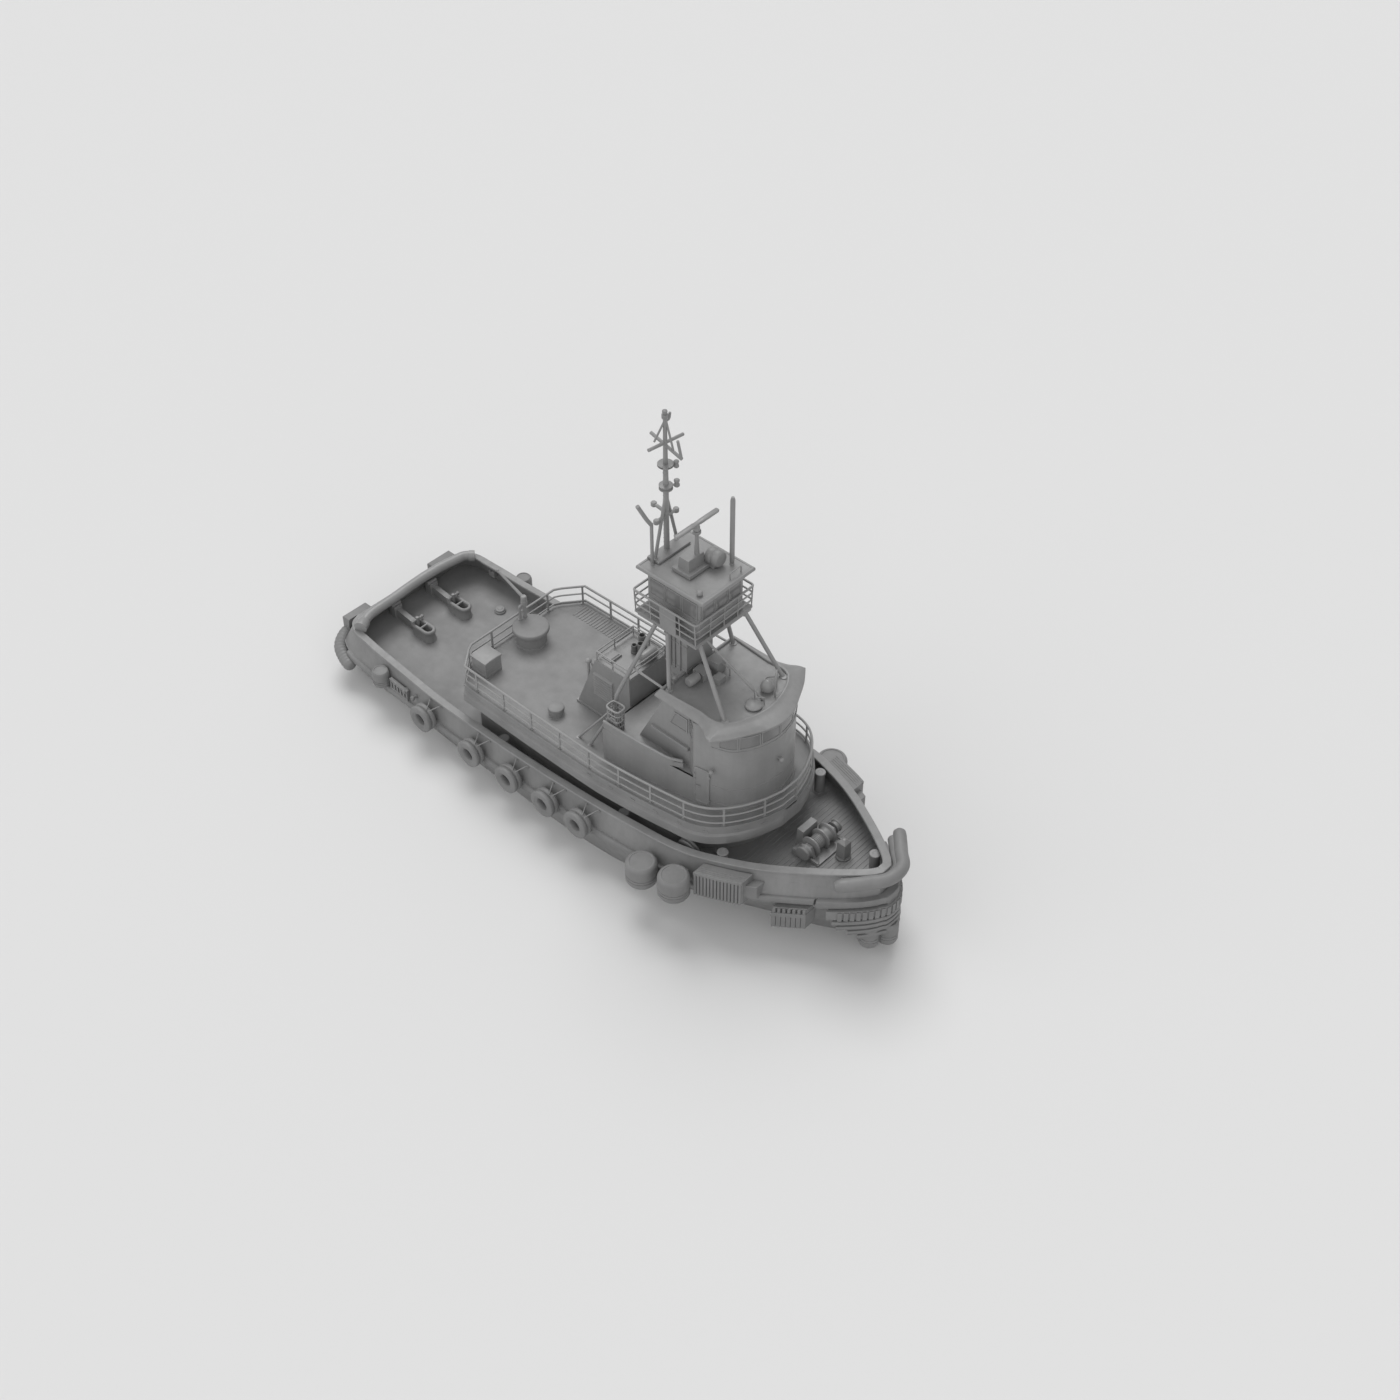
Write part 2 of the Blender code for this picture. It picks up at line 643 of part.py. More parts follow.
# The two tubes of the bow fender meet at the stem. Columns: x, half-breadth, z.
BOW_TUBE = [(14.00, 0.0, 4.44), (13.93, 0.40, 4.42), (13.40, 1.02, 4.32), (12.68, 1.84, 4.24)]
BOW_TUBE_RADIUS = 0.27


def make_bow_tube():
    """The fat tube round the bow's cap rail, with the saddle that it lies in."""
    half = BOW_TUBE
    points = [(x, -y, z) for x, y, z in half[:0:-1]] + [half[0]] + [(x, y, z) for x, y, z in half[1:]]
    saddle = [(x - 0.16, y * 0.88, z - 0.20) for x, y, z in points]
    meshes = [pipe(points, BOW_TUBE_RADIUS, sides=12), pipe(saddle, 0.24, sides=8)]
    cuts = [hull_solid(2 * GAP), bulwark_space(-0.05), bulwark_mesh(GAP)]
    return piece("bow_tube_fender", "rubber", meshes, cuts)


# The bow's stepped strips, from the deck down. Columns: top below the deck, height, half-length aft, thickness.
BOW_STRIPS = [
    (0.02, 0.42, 1.95, 0.26), (0.46, 0.52, 1.55, 0.34), (1.00, 0.24, 1.30, 0.36), (1.26, 0.24, 1.15, 0.36),
    (1.52, 0.26, 0.85, 0.38), (1.80, 0.26, 0.55, 0.40),
]


def bow_outline(reach, out):
    """Plan round the stem, out from the deck's edge, reaching aft on both sides."""
    stations = [(x, y) for x, y in ((s[0], s[6]) for s in HULL) if x > 11]
    start = 13.75 - reach
    half = [(start, deck_half(start))] + [(x, y) for x, y in stations if x > start + 0.05]
    plan = []
    for (x, y), (nx, ny) in zip(half, half[1:] + [(half[-1][0] + 0.1, 0)]):
        slope = Vector((ny - y, -(nx - x))).normalized() * -1
        plan.append((x + slope.x * out, y + slope.y * out))
    return plan + [(13.72 + out, 0.0)]


# The two barrels under the strips, beside the stem.
BOW_BARREL = {"x": 13.55, "y": 0.50, "radius": 0.46, "bottom": 0.35, "top": 1.50}


def make_bow_fender():
    """The rubber shell round the stem: a band, blocks, stepped strips and two barrels, on one backing."""
    barrel = BOW_BARREL
    radius, low, high = barrel["radius"], barrel["bottom"], barrel["top"]
    profile = [(radius * 0.7, low), (radius, low + 0.15), (radius, high - 0.1), (radius * 0.85, high)]
    meshes = [turned(profile, (barrel["x"], side * barrel["y"], 0), sides=14) for side in (-1, 1)]
    for drop, height, reach, out in BOW_STRIPS:
        plan = mirrored(bow_outline(reach, out))
        rings = [[(x, y, deck_height(x) - below) for x, y in plan] for below in (drop + height, drop)]
        meshes.append(loft(rings))
    rings = []
    for half, z in ((0.35, 1.35), (0.5, 3.2)):
        rings.append([(13.1, -half, z), (13.95, -half * 0.6, z), (13.95, half * 0.6, z), (13.1, half, z)])
    spine = loft(rings)
    cuts = [hull_solid(2 * GAP), strake_cut(-1), strake_cut(1)]
    return piece("bow_fender", "rubber", [spine] + meshes, cuts, smooth=False)


def house_walls(plan, thickness, bottom, top, top_plan=None):
    """A ring of walls between two heights, with another plan at the top where the walls lean."""
    inner = inset(plan, thickness)
    top_plan = top_plan or plan
    top_inner = inset(top_plan, thickness)
    rings = []
    for (x, y), (ix, iy), (tx, ty), (jx, jy) in zip(plan, inner, top_plan, top_inner):
        low, high = level_at(bottom, x), level_at(top, tx)
        rings.append([(x, y, low), (tx, ty, high), (jx, jy, level_at(top, jx)), (ix, iy, level_at(bottom, ix))])
    return loft(rings, closed=True)


DOOR = {"width": 0.76, "height": 1.92, "sill": 0.16, "thickness": 0.06}
WALL = 0.09
AFT_DOOR_Y = 1.35


def make_deckhouse():
    roof = GAP + DECK_PLATE
    plan = mirrored(DECKHOUSE)
    walls = house_walls(plan, WALL, lambda x: deck_height(x) - 0.1, lambda x: boat_deck_height(x) - roof)
    x = DECKHOUSE[0][0]
    sill, half = deck_height(x) + DOOR["sill"], DOOR["width"] / 2
    doorway = box((x - 0.2, AFT_DOOR_Y - half, sill), (x + 0.3, AFT_DOOR_Y + half, sill + DOOR["height"]))
    return piece("deckhouse", "steel", [walls], [doorway, deck_cut()], smooth=False)


# Ventilators on the boat deck. Columns: name, x, y, cap radius, cap height, trunk radius, trunk height.
VENTS = [
    ("large", -5.73, 0.22, 0.79, 0.20, 0.65, 0.64), ("small", -1.76, -2.21, 0.34, 0.16, 0.30, 0.25),
    ("port", -2.22, 0.92, 0.48, 0.20, 0.42, 0.40),
]


def ventilator(x, y, radius, height, trunk, rise):
    """A low round ventilator with a wide cap."""
    neck = BOAT_DECK_Z + rise
    profile = [
        (trunk, BOAT_DECK_Z - 0.05), (trunk, neck), (radius, neck - 0.04), (radius, neck + height * 0.5),
        (radius * 0.95, neck + height),
    ]
    return turned(profile, (x, y, 0), sides=16)


APRON = 0.85  # how far the boat deck's edge hangs down
AFT_APRON = 0.36  # the same across its aft end


def make_boat_deck():
    """The deck plate with the wall that hangs round its edge, its lower part proud of the upper."""
    rings = []
    for x, y in BOAT_DECK:
        h = boat_deck_height(x)
        port = [
            (y - 0.14, h - DECK_PLATE), (y - 0.14, h - APRON), (y + 0.10, h - APRON), (y + 0.10, h - 0.42),
            (y, h - 0.36), (y, h),
        ]
        rings.append([(x, -py, pz) for py, pz in port[::-1]] + [(x, py, pz) for py, pz in port])
    meshes = [loft(rings)]
    for (x, half), reach, depth in ((BOAT_DECK[0], 0.14, AFT_APRON), (BOAT_DECK[-1], -0.14, APRON)):
        low, high = sorted((x, x + reach))
        h = boat_deck_height(x)
        meshes.append(box((low, -half, h - depth), (high, half, h - 0.05)))
    return piece("boat_deck", "deck", meshes + [ventilator(*row[1:]) for row in VENTS])


def along_plan(plan, spacing):
    """Points about evenly spaced round a closed plan."""
    spots = []
    for (x0, y0), (x1, y1) in zip(plan, plan[1:] + plan[:1]):
        length = Vector((x1 - x0, y1 - y0)).length
        count = max(1, round(length / spacing))
        spots += [(x0 + (x1 - x0) * k / count, y0 + (y1 - y0) * k / count) for k in range(count)]
    return spots


def make_boat_deck_rail():
    plan = inset(mirrored(BOAT_DECK), 0.10)
    meshes = []
    for height in RAIL_HEIGHTS:
        bar = [(x, y, boat_deck_height(x) + height) for x, y in plan]
        meshes.append(pipe(bar, RAIL_RADIUS, sides=4, closed=True))
    for x, y in along_plan(plan, 2.2):
        foot = boat_deck_height(x + 0.035) + GAP
        meshes.append(box((x - 0.035, y - 0.035, foot), (x + 0.035, y + 0.035, foot + RAIL_HEIGHTS[-1] + 0.02)))
    return piece("boat_deck_rail", "pipe", meshes)


LOWER_TOP = 5.60
LOWER_BULWARK = 5.95
DOOR_FACET = ((5.86, 2.28), (6.62, 2.14))
SIDE_DOOR = {"sill": 4.52, "height": 1.75, "width": 0.60}
# The low bulwark along the edge of the lower house's top. Columns: x, half-breadth.
SIDE_CAP = [(1.43, 2.63), (4.07, 2.47), (4.64, 2.36), (5.27, 2.03)]
# The basket on the lower house's aft corner. Columns: x0, x1, y0, y1.
BASKET = (1.42, 2.12, -2.54, -2.02)
BASKET_TOP = 6.72


def shrunk(rectangle, by):
    x0, x1, y0, y1 = rectangle
    return (x0 + by, x1 - by, y0 + by, y1 - by)


def side_bulwark(side):
    """The low bulwark along one edge of the lower house's top, with its round cap."""
    rings = []
    for x, y in SIDE_CAP:
        low, high = LOWER_TOP - 0.05, LOWER_BULWARK
        corners = ((0.03, low), (-0.03, low), (-0.03, high), (0.03, high))
        rings.append([(x, side * (y + out), z) for out, z in corners])
    return [pipe([(x, side * y, LOWER_BULWARK) for x, y in SIDE_CAP], 0.06, sides=6), loft(rings)]


def side_doorway(side):
    (x0, y0), (x1, y1) = DOOR_FACET
    low = SIDE_DOOR["sill"]
    return facet_box((x0, side * y0), (x1, side * y1), SIDE_DOOR["width"], low, low + SIDE_DOOR["height"])


def make_lower_house():
    """The house on the boat deck, its flat top beside the wheelhouse and a basket on that."""
    plan = mirrored(LOWER_HOUSE)
    walls = house_walls(plan, WALL, lambda x: boat_deck_height(x) + GAP, LOWER_TOP)
    top = prism(inset(plan, 0.02), LOWER_TOP - 0.08, LOWER_TOP)
    hatch = box((4.2, -0.6, LOWER_TOP - 0.3), (6.0, 0.6, LOWER_TOP + 0.3))
    basket = frustum(shrunk(BASKET, 0.06), BASKET, LOWER_TOP - 0.02, BASKET_TOP)
    hollow = frustum(shrunk(BASKET, 0.11), shrunk(BASKET, 0.05), LOWER_TOP + 0.05, BASKET_TOP + 0.1)
    meshes = [walls, top, basket] + side_bulwark(-1) + side_bulwark(1)
    cuts = [side_doorway(-1), side_doorway(1), hatch, hollow]
    return piece("lower_house", "steel", meshes, cuts, smooth=False)


def facet_box(a, b, width, low, high, depth=0.5):
    """A box that cuts a window or doorway in the middle of a flat stretch of wall from a to b."""
    start, end = Vector((*a, 0)), Vector((*b, 0))
    along = (end - start).normalized()
    outward = Vector((along.y, -along.x, 0))
    middle = (start + end) / 2
    corners = []
    for i, j in ((-1, -1), (1, -1), (1, 1), (-1, 1)):
        corners.append(middle + along * i * width / 2 + outward * j * depth / 2)
    return loft([[(c.x, c.y, z) for c in corners] for z in (low, high)])


def both_sides(a, b):
    """A stretch of wall on the port side and its mirror image on the starboard side."""
    return (a, b), ((a[0], -a[1]), (b[0], -b[1]))


WHEELHOUSE_TOP = 8.50
# Windows in the stretches between the wheelhouse's corners. Columns: first corner, bottom, top, margin.
WINDOWS = [
    (1, 7.55, 8.10, 0.10), (2, 7.88, 8.36, 0.10), (3, 7.88, 8.36, 0.08), (4, 7.88, 8.36, 0.08),
    (5, 7.88, 8.36, 0.08), (6, 7.88, 8.36, 0.08),
]
SIDE_WINDOW = {"x0": 4.40, "x1": 5.22, "bottom": 7.38, "top": 8.00}
LEDGE = {"x0": 3.45, "x1": 5.36, "bottom": 6.48, "top": 6.66, "out": 0.12}


def make_wheelhouse():
    plan = mirrored(WHEELHOUSE)
    aft, half = WHEELHOUSE[0]
    top_plan = [(WHEELHOUSE_AFT_TOP if x == aft else x, y) for x, y in plan]
    meshes = [house_walls(plan, WALL, LOWER_TOP + GAP, WHEELHOUSE_TOP, top_plan)]
    cuts = [box((2.4, -0.45, LOWER_TOP + 0.2), (3.8, 0.45, LOWER_TOP + 2.0))]
    pane, ledge = SIDE_WINDOW, LEDGE
    for side in (-1, 1):
        low, high = sorted((side * (half - 0.05), side * (half + ledge["out"])))
        meshes.append(box((ledge["x0"], low, ledge["bottom"]), (ledge["x1"], high, ledge["top"])))
        low, high = sorted((side * (half - 0.3), side * (half + 0.3)))
        cuts.append(box((pane["x0"], low, pane["bottom"]), (pane["x1"], high, pane["top"])))
        cuts.append(side_doorway(side))
    for i, bottom, top, margin in WINDOWS:
        a, b = WHEELHOUSE[i], WHEELHOUSE[i + 1]
        width = (Vector(b) - Vector(a)).length - 2 * margin
        for first, second in both_sides(a, b):
            cuts.append(facet_box(first, second, width, bottom, top))
    return piece("wheelhouse", "steel", meshes, cuts, smooth=False)


# Half plans of the wheelhouse roof's eave and of its flat top. Columns: x, half-breadth.
EAVE = [
    (3.84, 2.24), (6.05, 2.28), (6.45, 2.42), (6.80, 2.64), (7.06, 2.72), (7.48, 2.17), (7.95, 1.31),
    (8.26, 0.66), (8.38, 0.0),
]
ROOF_TOP = [
    (3.96, 2.06), (5.90, 1.93), (6.50, 1.98), (6.78, 1.93), (7.00, 1.83), (7.28, 1.44), (7.48, 0.95),
    (7.60, 0.50), (7.66, 0.0),
]
ROOF_Z = {"soffit": WHEELHOUSE_TOP + GAP, "eave": 8.61, "top": 8.87, "floor": 8.77}
# Domes on the wheelhouse's roof. Columns: x, y, radius, height.
DOMES = [(6.91, 0.66, 0.27, 0.54), (7.10, -0.32, 0.34, 0.22)]


def make_wheelhouse_roof():
    """The roof with its wide sloping brow and a sunk floor inside the rim."""
    eave, top = mirrored(EAVE), mirrored(ROOF_TOP)
    rings = [
        (inset(eave, 0.10), ROOF_Z["soffit"]), (eave, ROOF_Z["eave"] - 0.04), (eave, ROOF_Z["eave"] + 0.03),
        (top, ROOF_Z["top"]), (inset(top, 0.07), ROOF_Z["top"]), (inset(top, 0.09), ROOF_Z["floor"]),
    ]
    meshes = [loft([[(x, y, z) for x, y in plan] for plan, z in rings])]
    for x, y, radius, height in DOMES:
        shape = ((0.9, -0.1), (1.0, 0.4), (0.7, 0.8), (0.25, 1.0))
        profile = [(radius * wide, height * high) for wide, high in shape]
        meshes.append(turned(profile, (x, y, ROOF_Z["floor"]), sides=12))
    return piece("wheelhouse_roof", "steel", meshes)


# The casing's foot and top. Columns of a rectangle: x0, x1, y0, y1.
CASING = {"low": (-1.65, 1.399, -1.10, 1.12), "high": (-0.55, 1.30, -1.05, 1.12), "top": 6.93}
# Exhausts on the casing. Columns: x, y, height.
EXHAUSTS = [(0.30, 0.75, 0.62), (0.52, 0.45, 0.50), (0.30, 0.30, 0.40)]


def make_casing():
    """The sloping casing over the engine room, with its railed top, exhausts and steps."""
    floor = CASING["top"]
    meshes = [frustum(CASING["low"], CASING["high"], BOAT_DECK_Z + GAP, floor)]
    for x, y, height in EXHAUSTS:
        profile = [(0.13, -0.2), (0.13, height - 0.08), (0.16, height - 0.06), (0.16, height)]
        meshes.append(turned(profile, (x, y, floor), sides=10))
    x0, x1, y0, y1 = shrunk(CASING["high"], 0.05)
    rail = [(x0, y0), (x1, y0), (x1, y1), (x0, y1)]
    for height in (0.20, 0.42):
        meshes.append(pipe([(x, y, floor + height) for x, y in rail], 0.035, sides=4, closed=True))
    for x, y in rail + [((x0 + x1) / 2, y0), ((x0 + x1) / 2, y1)]:
        meshes.append(box((x - 0.025, y - 0.025, floor - 0.1), (x + 0.025, y + 0.025, floor + 0.44)))
    cut = box((1.395, -2, 4), (2.2, 2, LOWER_TOP + 0.35))
    return piece("engine_casing", "steel", meshes, [cut], smooth=False)


GALLERY = {"x0": 2.25, "x1": 5.32, "half": 1.56, "top": 11.48, "thickness": 0.10}
GALLERY_RAILS = (0.30, 0.64, 0.98)
UPPER_HOUSE = {"x0": 2.60, "x1": 5.16, "half": 1.17, "top": 13.28}
UPPER_ROOF = {"x0": 2.24, "x1": 5.54, "half": 1.43, "top": 13.52}
LEG_RADIUS = 0.085
TRUNK = {"x0": 3.02, "x1": 4.10, "half": 0.72}
LEG_HEAD_DROP = 0.06  # how far under the gallery a leg's axis starts
LEG_HEEL = {"x": 1.48, "y": 1.95, "z": 6.85}  # where an aft leg meets the post that it stands on
# Raking legs that stand on the wheelhouse's roof. Columns: x, half-breadth at the head, x, the same at the foot.
ROOF_LEGS = [(5.22, 1.24, 6.88, 1.66), (3.80, 1.44, 4.20, 1.80)]


def leaning_wedge(top):
    """The space ahead of the wheelhouse's leaning aft wall, for cutting what stands behind it."""
    low, high = (WHEELHOUSE[0][0], LOWER_TOP), (WHEELHOUSE_AFT_TOP, WHEELHOUSE_TOP)
    slope = (high[0] - low[0]) / (high[1] - low[1])
    rings = []
    for z in (LOWER_TOP - 1, top):
        x = low[0] + slope * (z - low[1]) - 2 * GAP
        rings.append([(x, -2.5, z), (9.5, -2.5, z), (9.5, 2.5, z), (x, 2.5, z)])
    return loft(rings)


def roof_space():
    """The wheelhouse's roof and the space under it, with the gap round it, for cutting what stands on it."""
    eave, top = inset(mirrored(EAVE), -GAP), mirrored(ROOF_TOP)
    rings = [
        (eave, WHEELHOUSE_TOP - 1), (eave, ROOF_Z["eave"] + 0.03), (inset(top, -GAP), ROOF_Z["top"] + GAP),
        (inset(top, 0.12), ROOF_Z["top"] + GAP), (inset(top, 0.12), ROOF_Z["floor"] + GAP),
    ]
    return loft([[(x, y, z) for x, y in plan] for plan, z in rings])


def gallery_ring(under):
    """The flat frame under the gallery, open either side of the trunk."""
    half, x0, x1 = GALLERY["half"], GALLERY["x0"], GALLERY["x1"]
    low, high, inside = under - 0.12, under + 0.1, half - 0.28
    holes = [
        box((x0 + 0.3, -inside, low - 0.1), (TRUNK["x0"] - 0.1, inside, high)),
        box((TRUNK["x1"] + 0.1, -inside, low - 0.1), (x1 - 0.2, inside, high)),
    ]
    return box((x0 + 0.1, -half + 0.05, low), (x1 - 0.02, half - 0.05, under)), holes


def make_tower():
    """The stair trunk behind the wheelhouse, the raking legs beside it and the props of the aft ones."""
    under = GALLERY["top"] - GALLERY["thickness"] - GAP
    head, sunk = under - LEG_HEAD_DROP, ROOF_Z["floor"] - 0.1
    ring, holes = gallery_ring(under)
    half, heel = TRUNK["half"], LEG_HEEL
    meshes = [ring, box((TRUNK["x0"], -half, LOWER_TOP + GAP), (TRUNK["x1"], half, under))]
    for side in (-1, 1):
        for head_x, head_y, foot_x, foot_y in ROOF_LEGS:
            meshes.append(pipe([(head_x, side * head_y, head), (foot_x, side * foot_y, sunk)], LEG_RADIUS))
        at_heel = (heel["x"], side * heel["y"], heel["z"])
        foot = (heel["x"], side * heel["y"], LOWER_TOP + GAP)
        meshes.append(pipe([(3.25, side * 1.46, head), at_heel, foot], LEG_RADIUS))
        meshes.append(pipe([(2.18, side * 1.74, 8.67), (3.93, side * 1.80, 8.67)], 0.05))
    meshes.append(pipe([(5.24, -0.90, head), (7.20, 0.20, sunk)], 0.055))
    for foot_x, radius in ((0.52, 0.06), (-0.12, 0.05)):
        meshes.append(pipe([(heel["x"], -heel["y"], 6.32), (foot_x, -2.56, BOAT_DECK_Z - 0.1)], radius))
    deck_seat = box((-1, -4, BOAT_DECK_Z - 1), (1.38, 0, BOAT_DECK_Z + GAP))
    cuts = holes + [roof_space(), leaning_wedge(ROOF_Z["eave"]), deck_seat]
    return piece("tower", "pipe", meshes, cuts)


def make_gallery():
    g = GALLERY
    half, floor = g["half"], g["top"]
    meshes = [box((g["x0"], -half, floor - g["thickness"]), (g["x1"], half, floor))]
    for height in GALLERY_RAILS:
        spread = 0.05 * height - 0.02
        x0, x1, wide = g["x0"] - spread, g["x1"] + spread, half + spread
        plan = [(x0, -wide), (x1, -wide), (x1, wide), (x0, wide)]
        radius = RAIL_RADIUS + 0.012 * (height == GALLERY_RAILS[-1])
        meshes.append(pipe([(x, y, floor + height) for x, y in plan], radius, sides=4, closed=True))
    xs = [g["x0"] + 0.03, (g["x0"] + g["x1"]) / 2, g["x1"] - 0.03]
    for x in xs:
        for side in (-1, 1):
            ends = [(x, side * (half - 0.03), floor - 0.06), (x, side * (half + 0.03), floor + 0.98)]
            meshes.append(pipe(ends, 0.03, sides=4))
    for x in (xs[0], xs[2]):
        meshes.append(pipe([(x, 0.75, floor - 0.06), (x, 0.75, floor + 0.98)], 0.03, sides=4))
    board = ((0.02, -0.05), (-0.02, -0.05), (-0.05, 1.0), (-0.01, 1.0))
    meshes.append(loft([[(x, y - half, floor + z) for y, z in board] for x in (3.55, 4.35)]))
    return piece("gallery", "pipe", meshes)


UPPER_WINDOW = {"bottom": 12.32, "top": 13.02}


def make_upper_house():
    h = UPPER_HOUSE
    plan = [(h["x0"], -h["half"]), (h["x1"], -h["half"]), (h["x1"], h["half"]), (h["x0"], h["half"])]
    walls = house_walls(plan, WALL, GALLERY["top"] + GAP, h["top"])
    cuts = []
    low, high = UPPER_WINDOW["bottom"], UPPER_WINDOW["top"]
    for i in range(3):
        x = h["x0"] + 0.14 + i * 0.80
        for side in (-1, 1):
            cuts.append(box((x, side * h["half"] - 0.3, low), (x + 0.68, side * h["half"] + 0.3, high)))
        y = -h["half"] + 0.14 + i * 0.72
        cuts.append(box((h["x1"] - 0.3, y, low), (h["x1"] + 0.3, y + 0.61, high)))
    for y in (-0.95, 0.15):
        cuts.append(box((h["x0"] - 0.3, y, low), (h["x0"] + 0.3, y + 0.80, high)))
    return piece("upper_house", "steel", [walls], cuts, smooth=False)


def make_upper_roof():
    r, bottom = UPPER_ROOF, UPPER_HOUSE["top"] + GAP
    x0, x1, half = r["x0"], r["x1"], r["half"]
    rings = [
        ((x0 + 0.10, x1 - 0.10, half - 0.10), bottom), ((x0, x1, half), bottom + 0.10),
        ((x0, x1, half), r["top"] - 0.03), ((x0 + 0.04, x1 - 0.04, half - 0.04), r["top"]),
    ]
    roof = loft([[(a, -y, z), (b, -y, z), (b, y, z), (a, y, z)] for (a, b, y), z in rings])
    foot = r["top"] - 0.05
    whip = [(0.07, foot), (0.07, foot + 0.40), (0.045, foot + 0.45), (0.05, foot + 3.0), (0.03, foot + 3.1)]
    stub = [(0.06, foot), (0.06, foot + 0.35), (0.035, foot + 0.40), (0.035, foot + 1.9)]
    bent = [(2.62, -0.95, foot + 1.8), (2.55, -1.12, foot + 2.1), (2.40, -1.42, foot + 2.8)]
    antennas = [turned(whip, (4.75, 1.02, 0), sides=8), turned(stub, (2.62, -0.95, 0), sides=8)]
    return piece("upper_roof", "steel", [roof, pipe(bent, 0.045)] + antennas)


MAST = {"x": 2.45, "foot": UPPER_ROOF["top"] + GAP, "top": 19.70}


# What the mast carries. Columns of a lamp: x and y from the mast, radius, bottom, top.
MAST_LAMPS = [
    (0.0, 0.0, 0.26, 16.28, 16.50), (0.0, 0.0, 0.30, 17.32, 17.42), (0.26, -0.28, 0.10, 17.22, 17.52),
    (0.26, 0.28, 0.10, 17.22, 17.52), (0.20, 0.36, 0.11, 16.30, 16.62),
]
# Forked crosstrees. Columns: z, half length, reach forward.
CROSSTREES = [(15.45, 0.62, 0.30), (15.95, 0.55, -0.30)]
# Straight spars across the mast. Columns: y, z at one end, y, z at the other.
SPARS = [(-0.85, 17.75, 0.85, 18.65), (-0.75, 18.62, 0.55, 18.15)]


def make_mast():
    x, foot, top = MAST["x"], MAST["foot"], MAST["top"]
    meshes = [turned([(0.11, foot), (0.09, 16.6), (0.06, 17.4), (0.045, top - 0.25)], (x, 0, 0), sides=8)]
    for y in (-0.55, 0.55):
        meshes.append(pipe([(x + 0.25, y, foot), (x, y * 0.05, 16.35)], 0.045))
    meshes.append(box((x - 0.20, -0.66, foot), (x + 0.42, 0.66, foot + 0.08)))
    for z, half, reach in CROSSTREES:
        meshes.append(pipe([(x + reach, -half, z), (x, 0, z + 0.02), (x + reach, half, z)], 0.05))
    for dx, dy, radius, low, high in MAST_LAMPS:
        meshes.append(cylinder((x + dx, dy, 0), radius, low, high, sides=10))
    meshes.append(pipe([(x, 0, 16.40), (x + 0.2, 0.36, 16.40)], 0.04))
    for y0, z0, y1, z1 in SPARS:
        meshes.append(pipe([(x - 0.03, y0, z0), (x + 0.03, y1, z1)], 0.04))
    meshes.append(pipe([(x, 0.0, 18.0), (x + 0.25, 0.40, 17.95), (x + 0.25, 0.46, 18.65)], 0.04))
    lamp = [(0.05, -0.4), (0.12, -0.34), (0.12, -0.2), (0.07, -0.18), (0.10, -0.08), (0.05, 0.0)]
    meshes.append(turned(lamp, (x, 0, top), sides=8))
    meshes.append(pipe([(x, 0, 19.2), (x, 0.22, 19.2), (x, 0.26, 19.45)], 0.05))
    return piece("mast", "pipe", meshes, [box((x - 1, -1, foot - 1), (x + 1, 1, foot))])


RADAR = {"x": 3.95, "y": 0.0, "post_top": 15.20, "bar_z": 15.50, "half": 1.12}


def make_radar_post():
    """The radar's post with the boxes round its foot."""
    x, post_top = RADAR["x"], RADAR["post_top"]
    foot = UPPER_ROOF["top"] + GAP
    post = [(0.10, foot), (0.07, 14.8), (0.07, 15.05), (0.16, 15.08), (0.16, post_top)]
    drum = [(0.30, -0.32), (0.34, -0.2), (0.34, 0.2), (0.26, 0.30)]
    meshes = [
        turned(post, (x, RADAR["y"], 0), sides=10), box((x - 0.55, -0.75, foot), (x + 0.35, 0.45, foot + 0.16)),
        box((x - 0.40, -0.60, foot + 0.1), (x + 0.15, 0.30, foot + 0.62)),
        turned(drum, (x + 0.42, 0.55, foot + 0.36), "x", sides=12),
        box((x - 0.1, 0.3, foot), (x + 0.55, 0.6, foot + 0.2)),
    ]
    return piece("radar_post", "steel", meshes)


def make_radar_scanner():
    x, y, z, half = RADAR["x"], RADAR["y"], RADAR["bar_z"], RADAR["half"]
    hub = cylinder((x, y, 0), 0.12, RADAR["post_top"] + GAP, z + 0.02, sides=10)
    bar = box((x - 0.09, -half, z - 0.07), (x + 0.09, half, z + 0.07))
    return hang_on(piece("radar_scanner", "pipe", [hub, bar]), "radar_scanner", (x, y, z))


WINDLASS = {"x": 10.12, "y": 0.25, "z": 3.26, "radius": 0.28, "rim": 0.44, "half": 0.44, "axle": 0.09}


def make_windlass():
    """The windlass's bed, the two stands of its drum and its gearbox."""
    x, y, z = WINDLASS["x"], WINDLASS["y"], WINDLASS["z"]
    base = deck_height(x - 0.7) - 0.1
    meshes = [box((x - 0.66, y - 0.86, base), (x + 0.66, y + 0.86, deck_height(x + 0.66) + 0.10))]
    for y0, y1 in ((y - 0.74, y - 0.58), (y + 0.58, y + 0.74)):
        meshes.append(frustum((x - 0.36, x + 0.36, y0, y1), (x - 0.15, x + 0.15, y0, y1), base, z + 0.17))
    meshes.append(box((x - 0.78, y - 0.62, base), (x - 0.52, y + 0.30, z + 0.30)))
    bore = cylinder((x, y, z), WINDLASS["axle"] + CLEARANCE, -1.2, 1.2, axis="y", sides=16)
    keep_free = cylinder((x, y, z), WINDLASS["rim"] + 0.02, -0.57, 0.57, axis="y", sides=20)
    return piece("windlass", "steel", meshes, [bore, keep_free, deck_cut()], smooth=False)


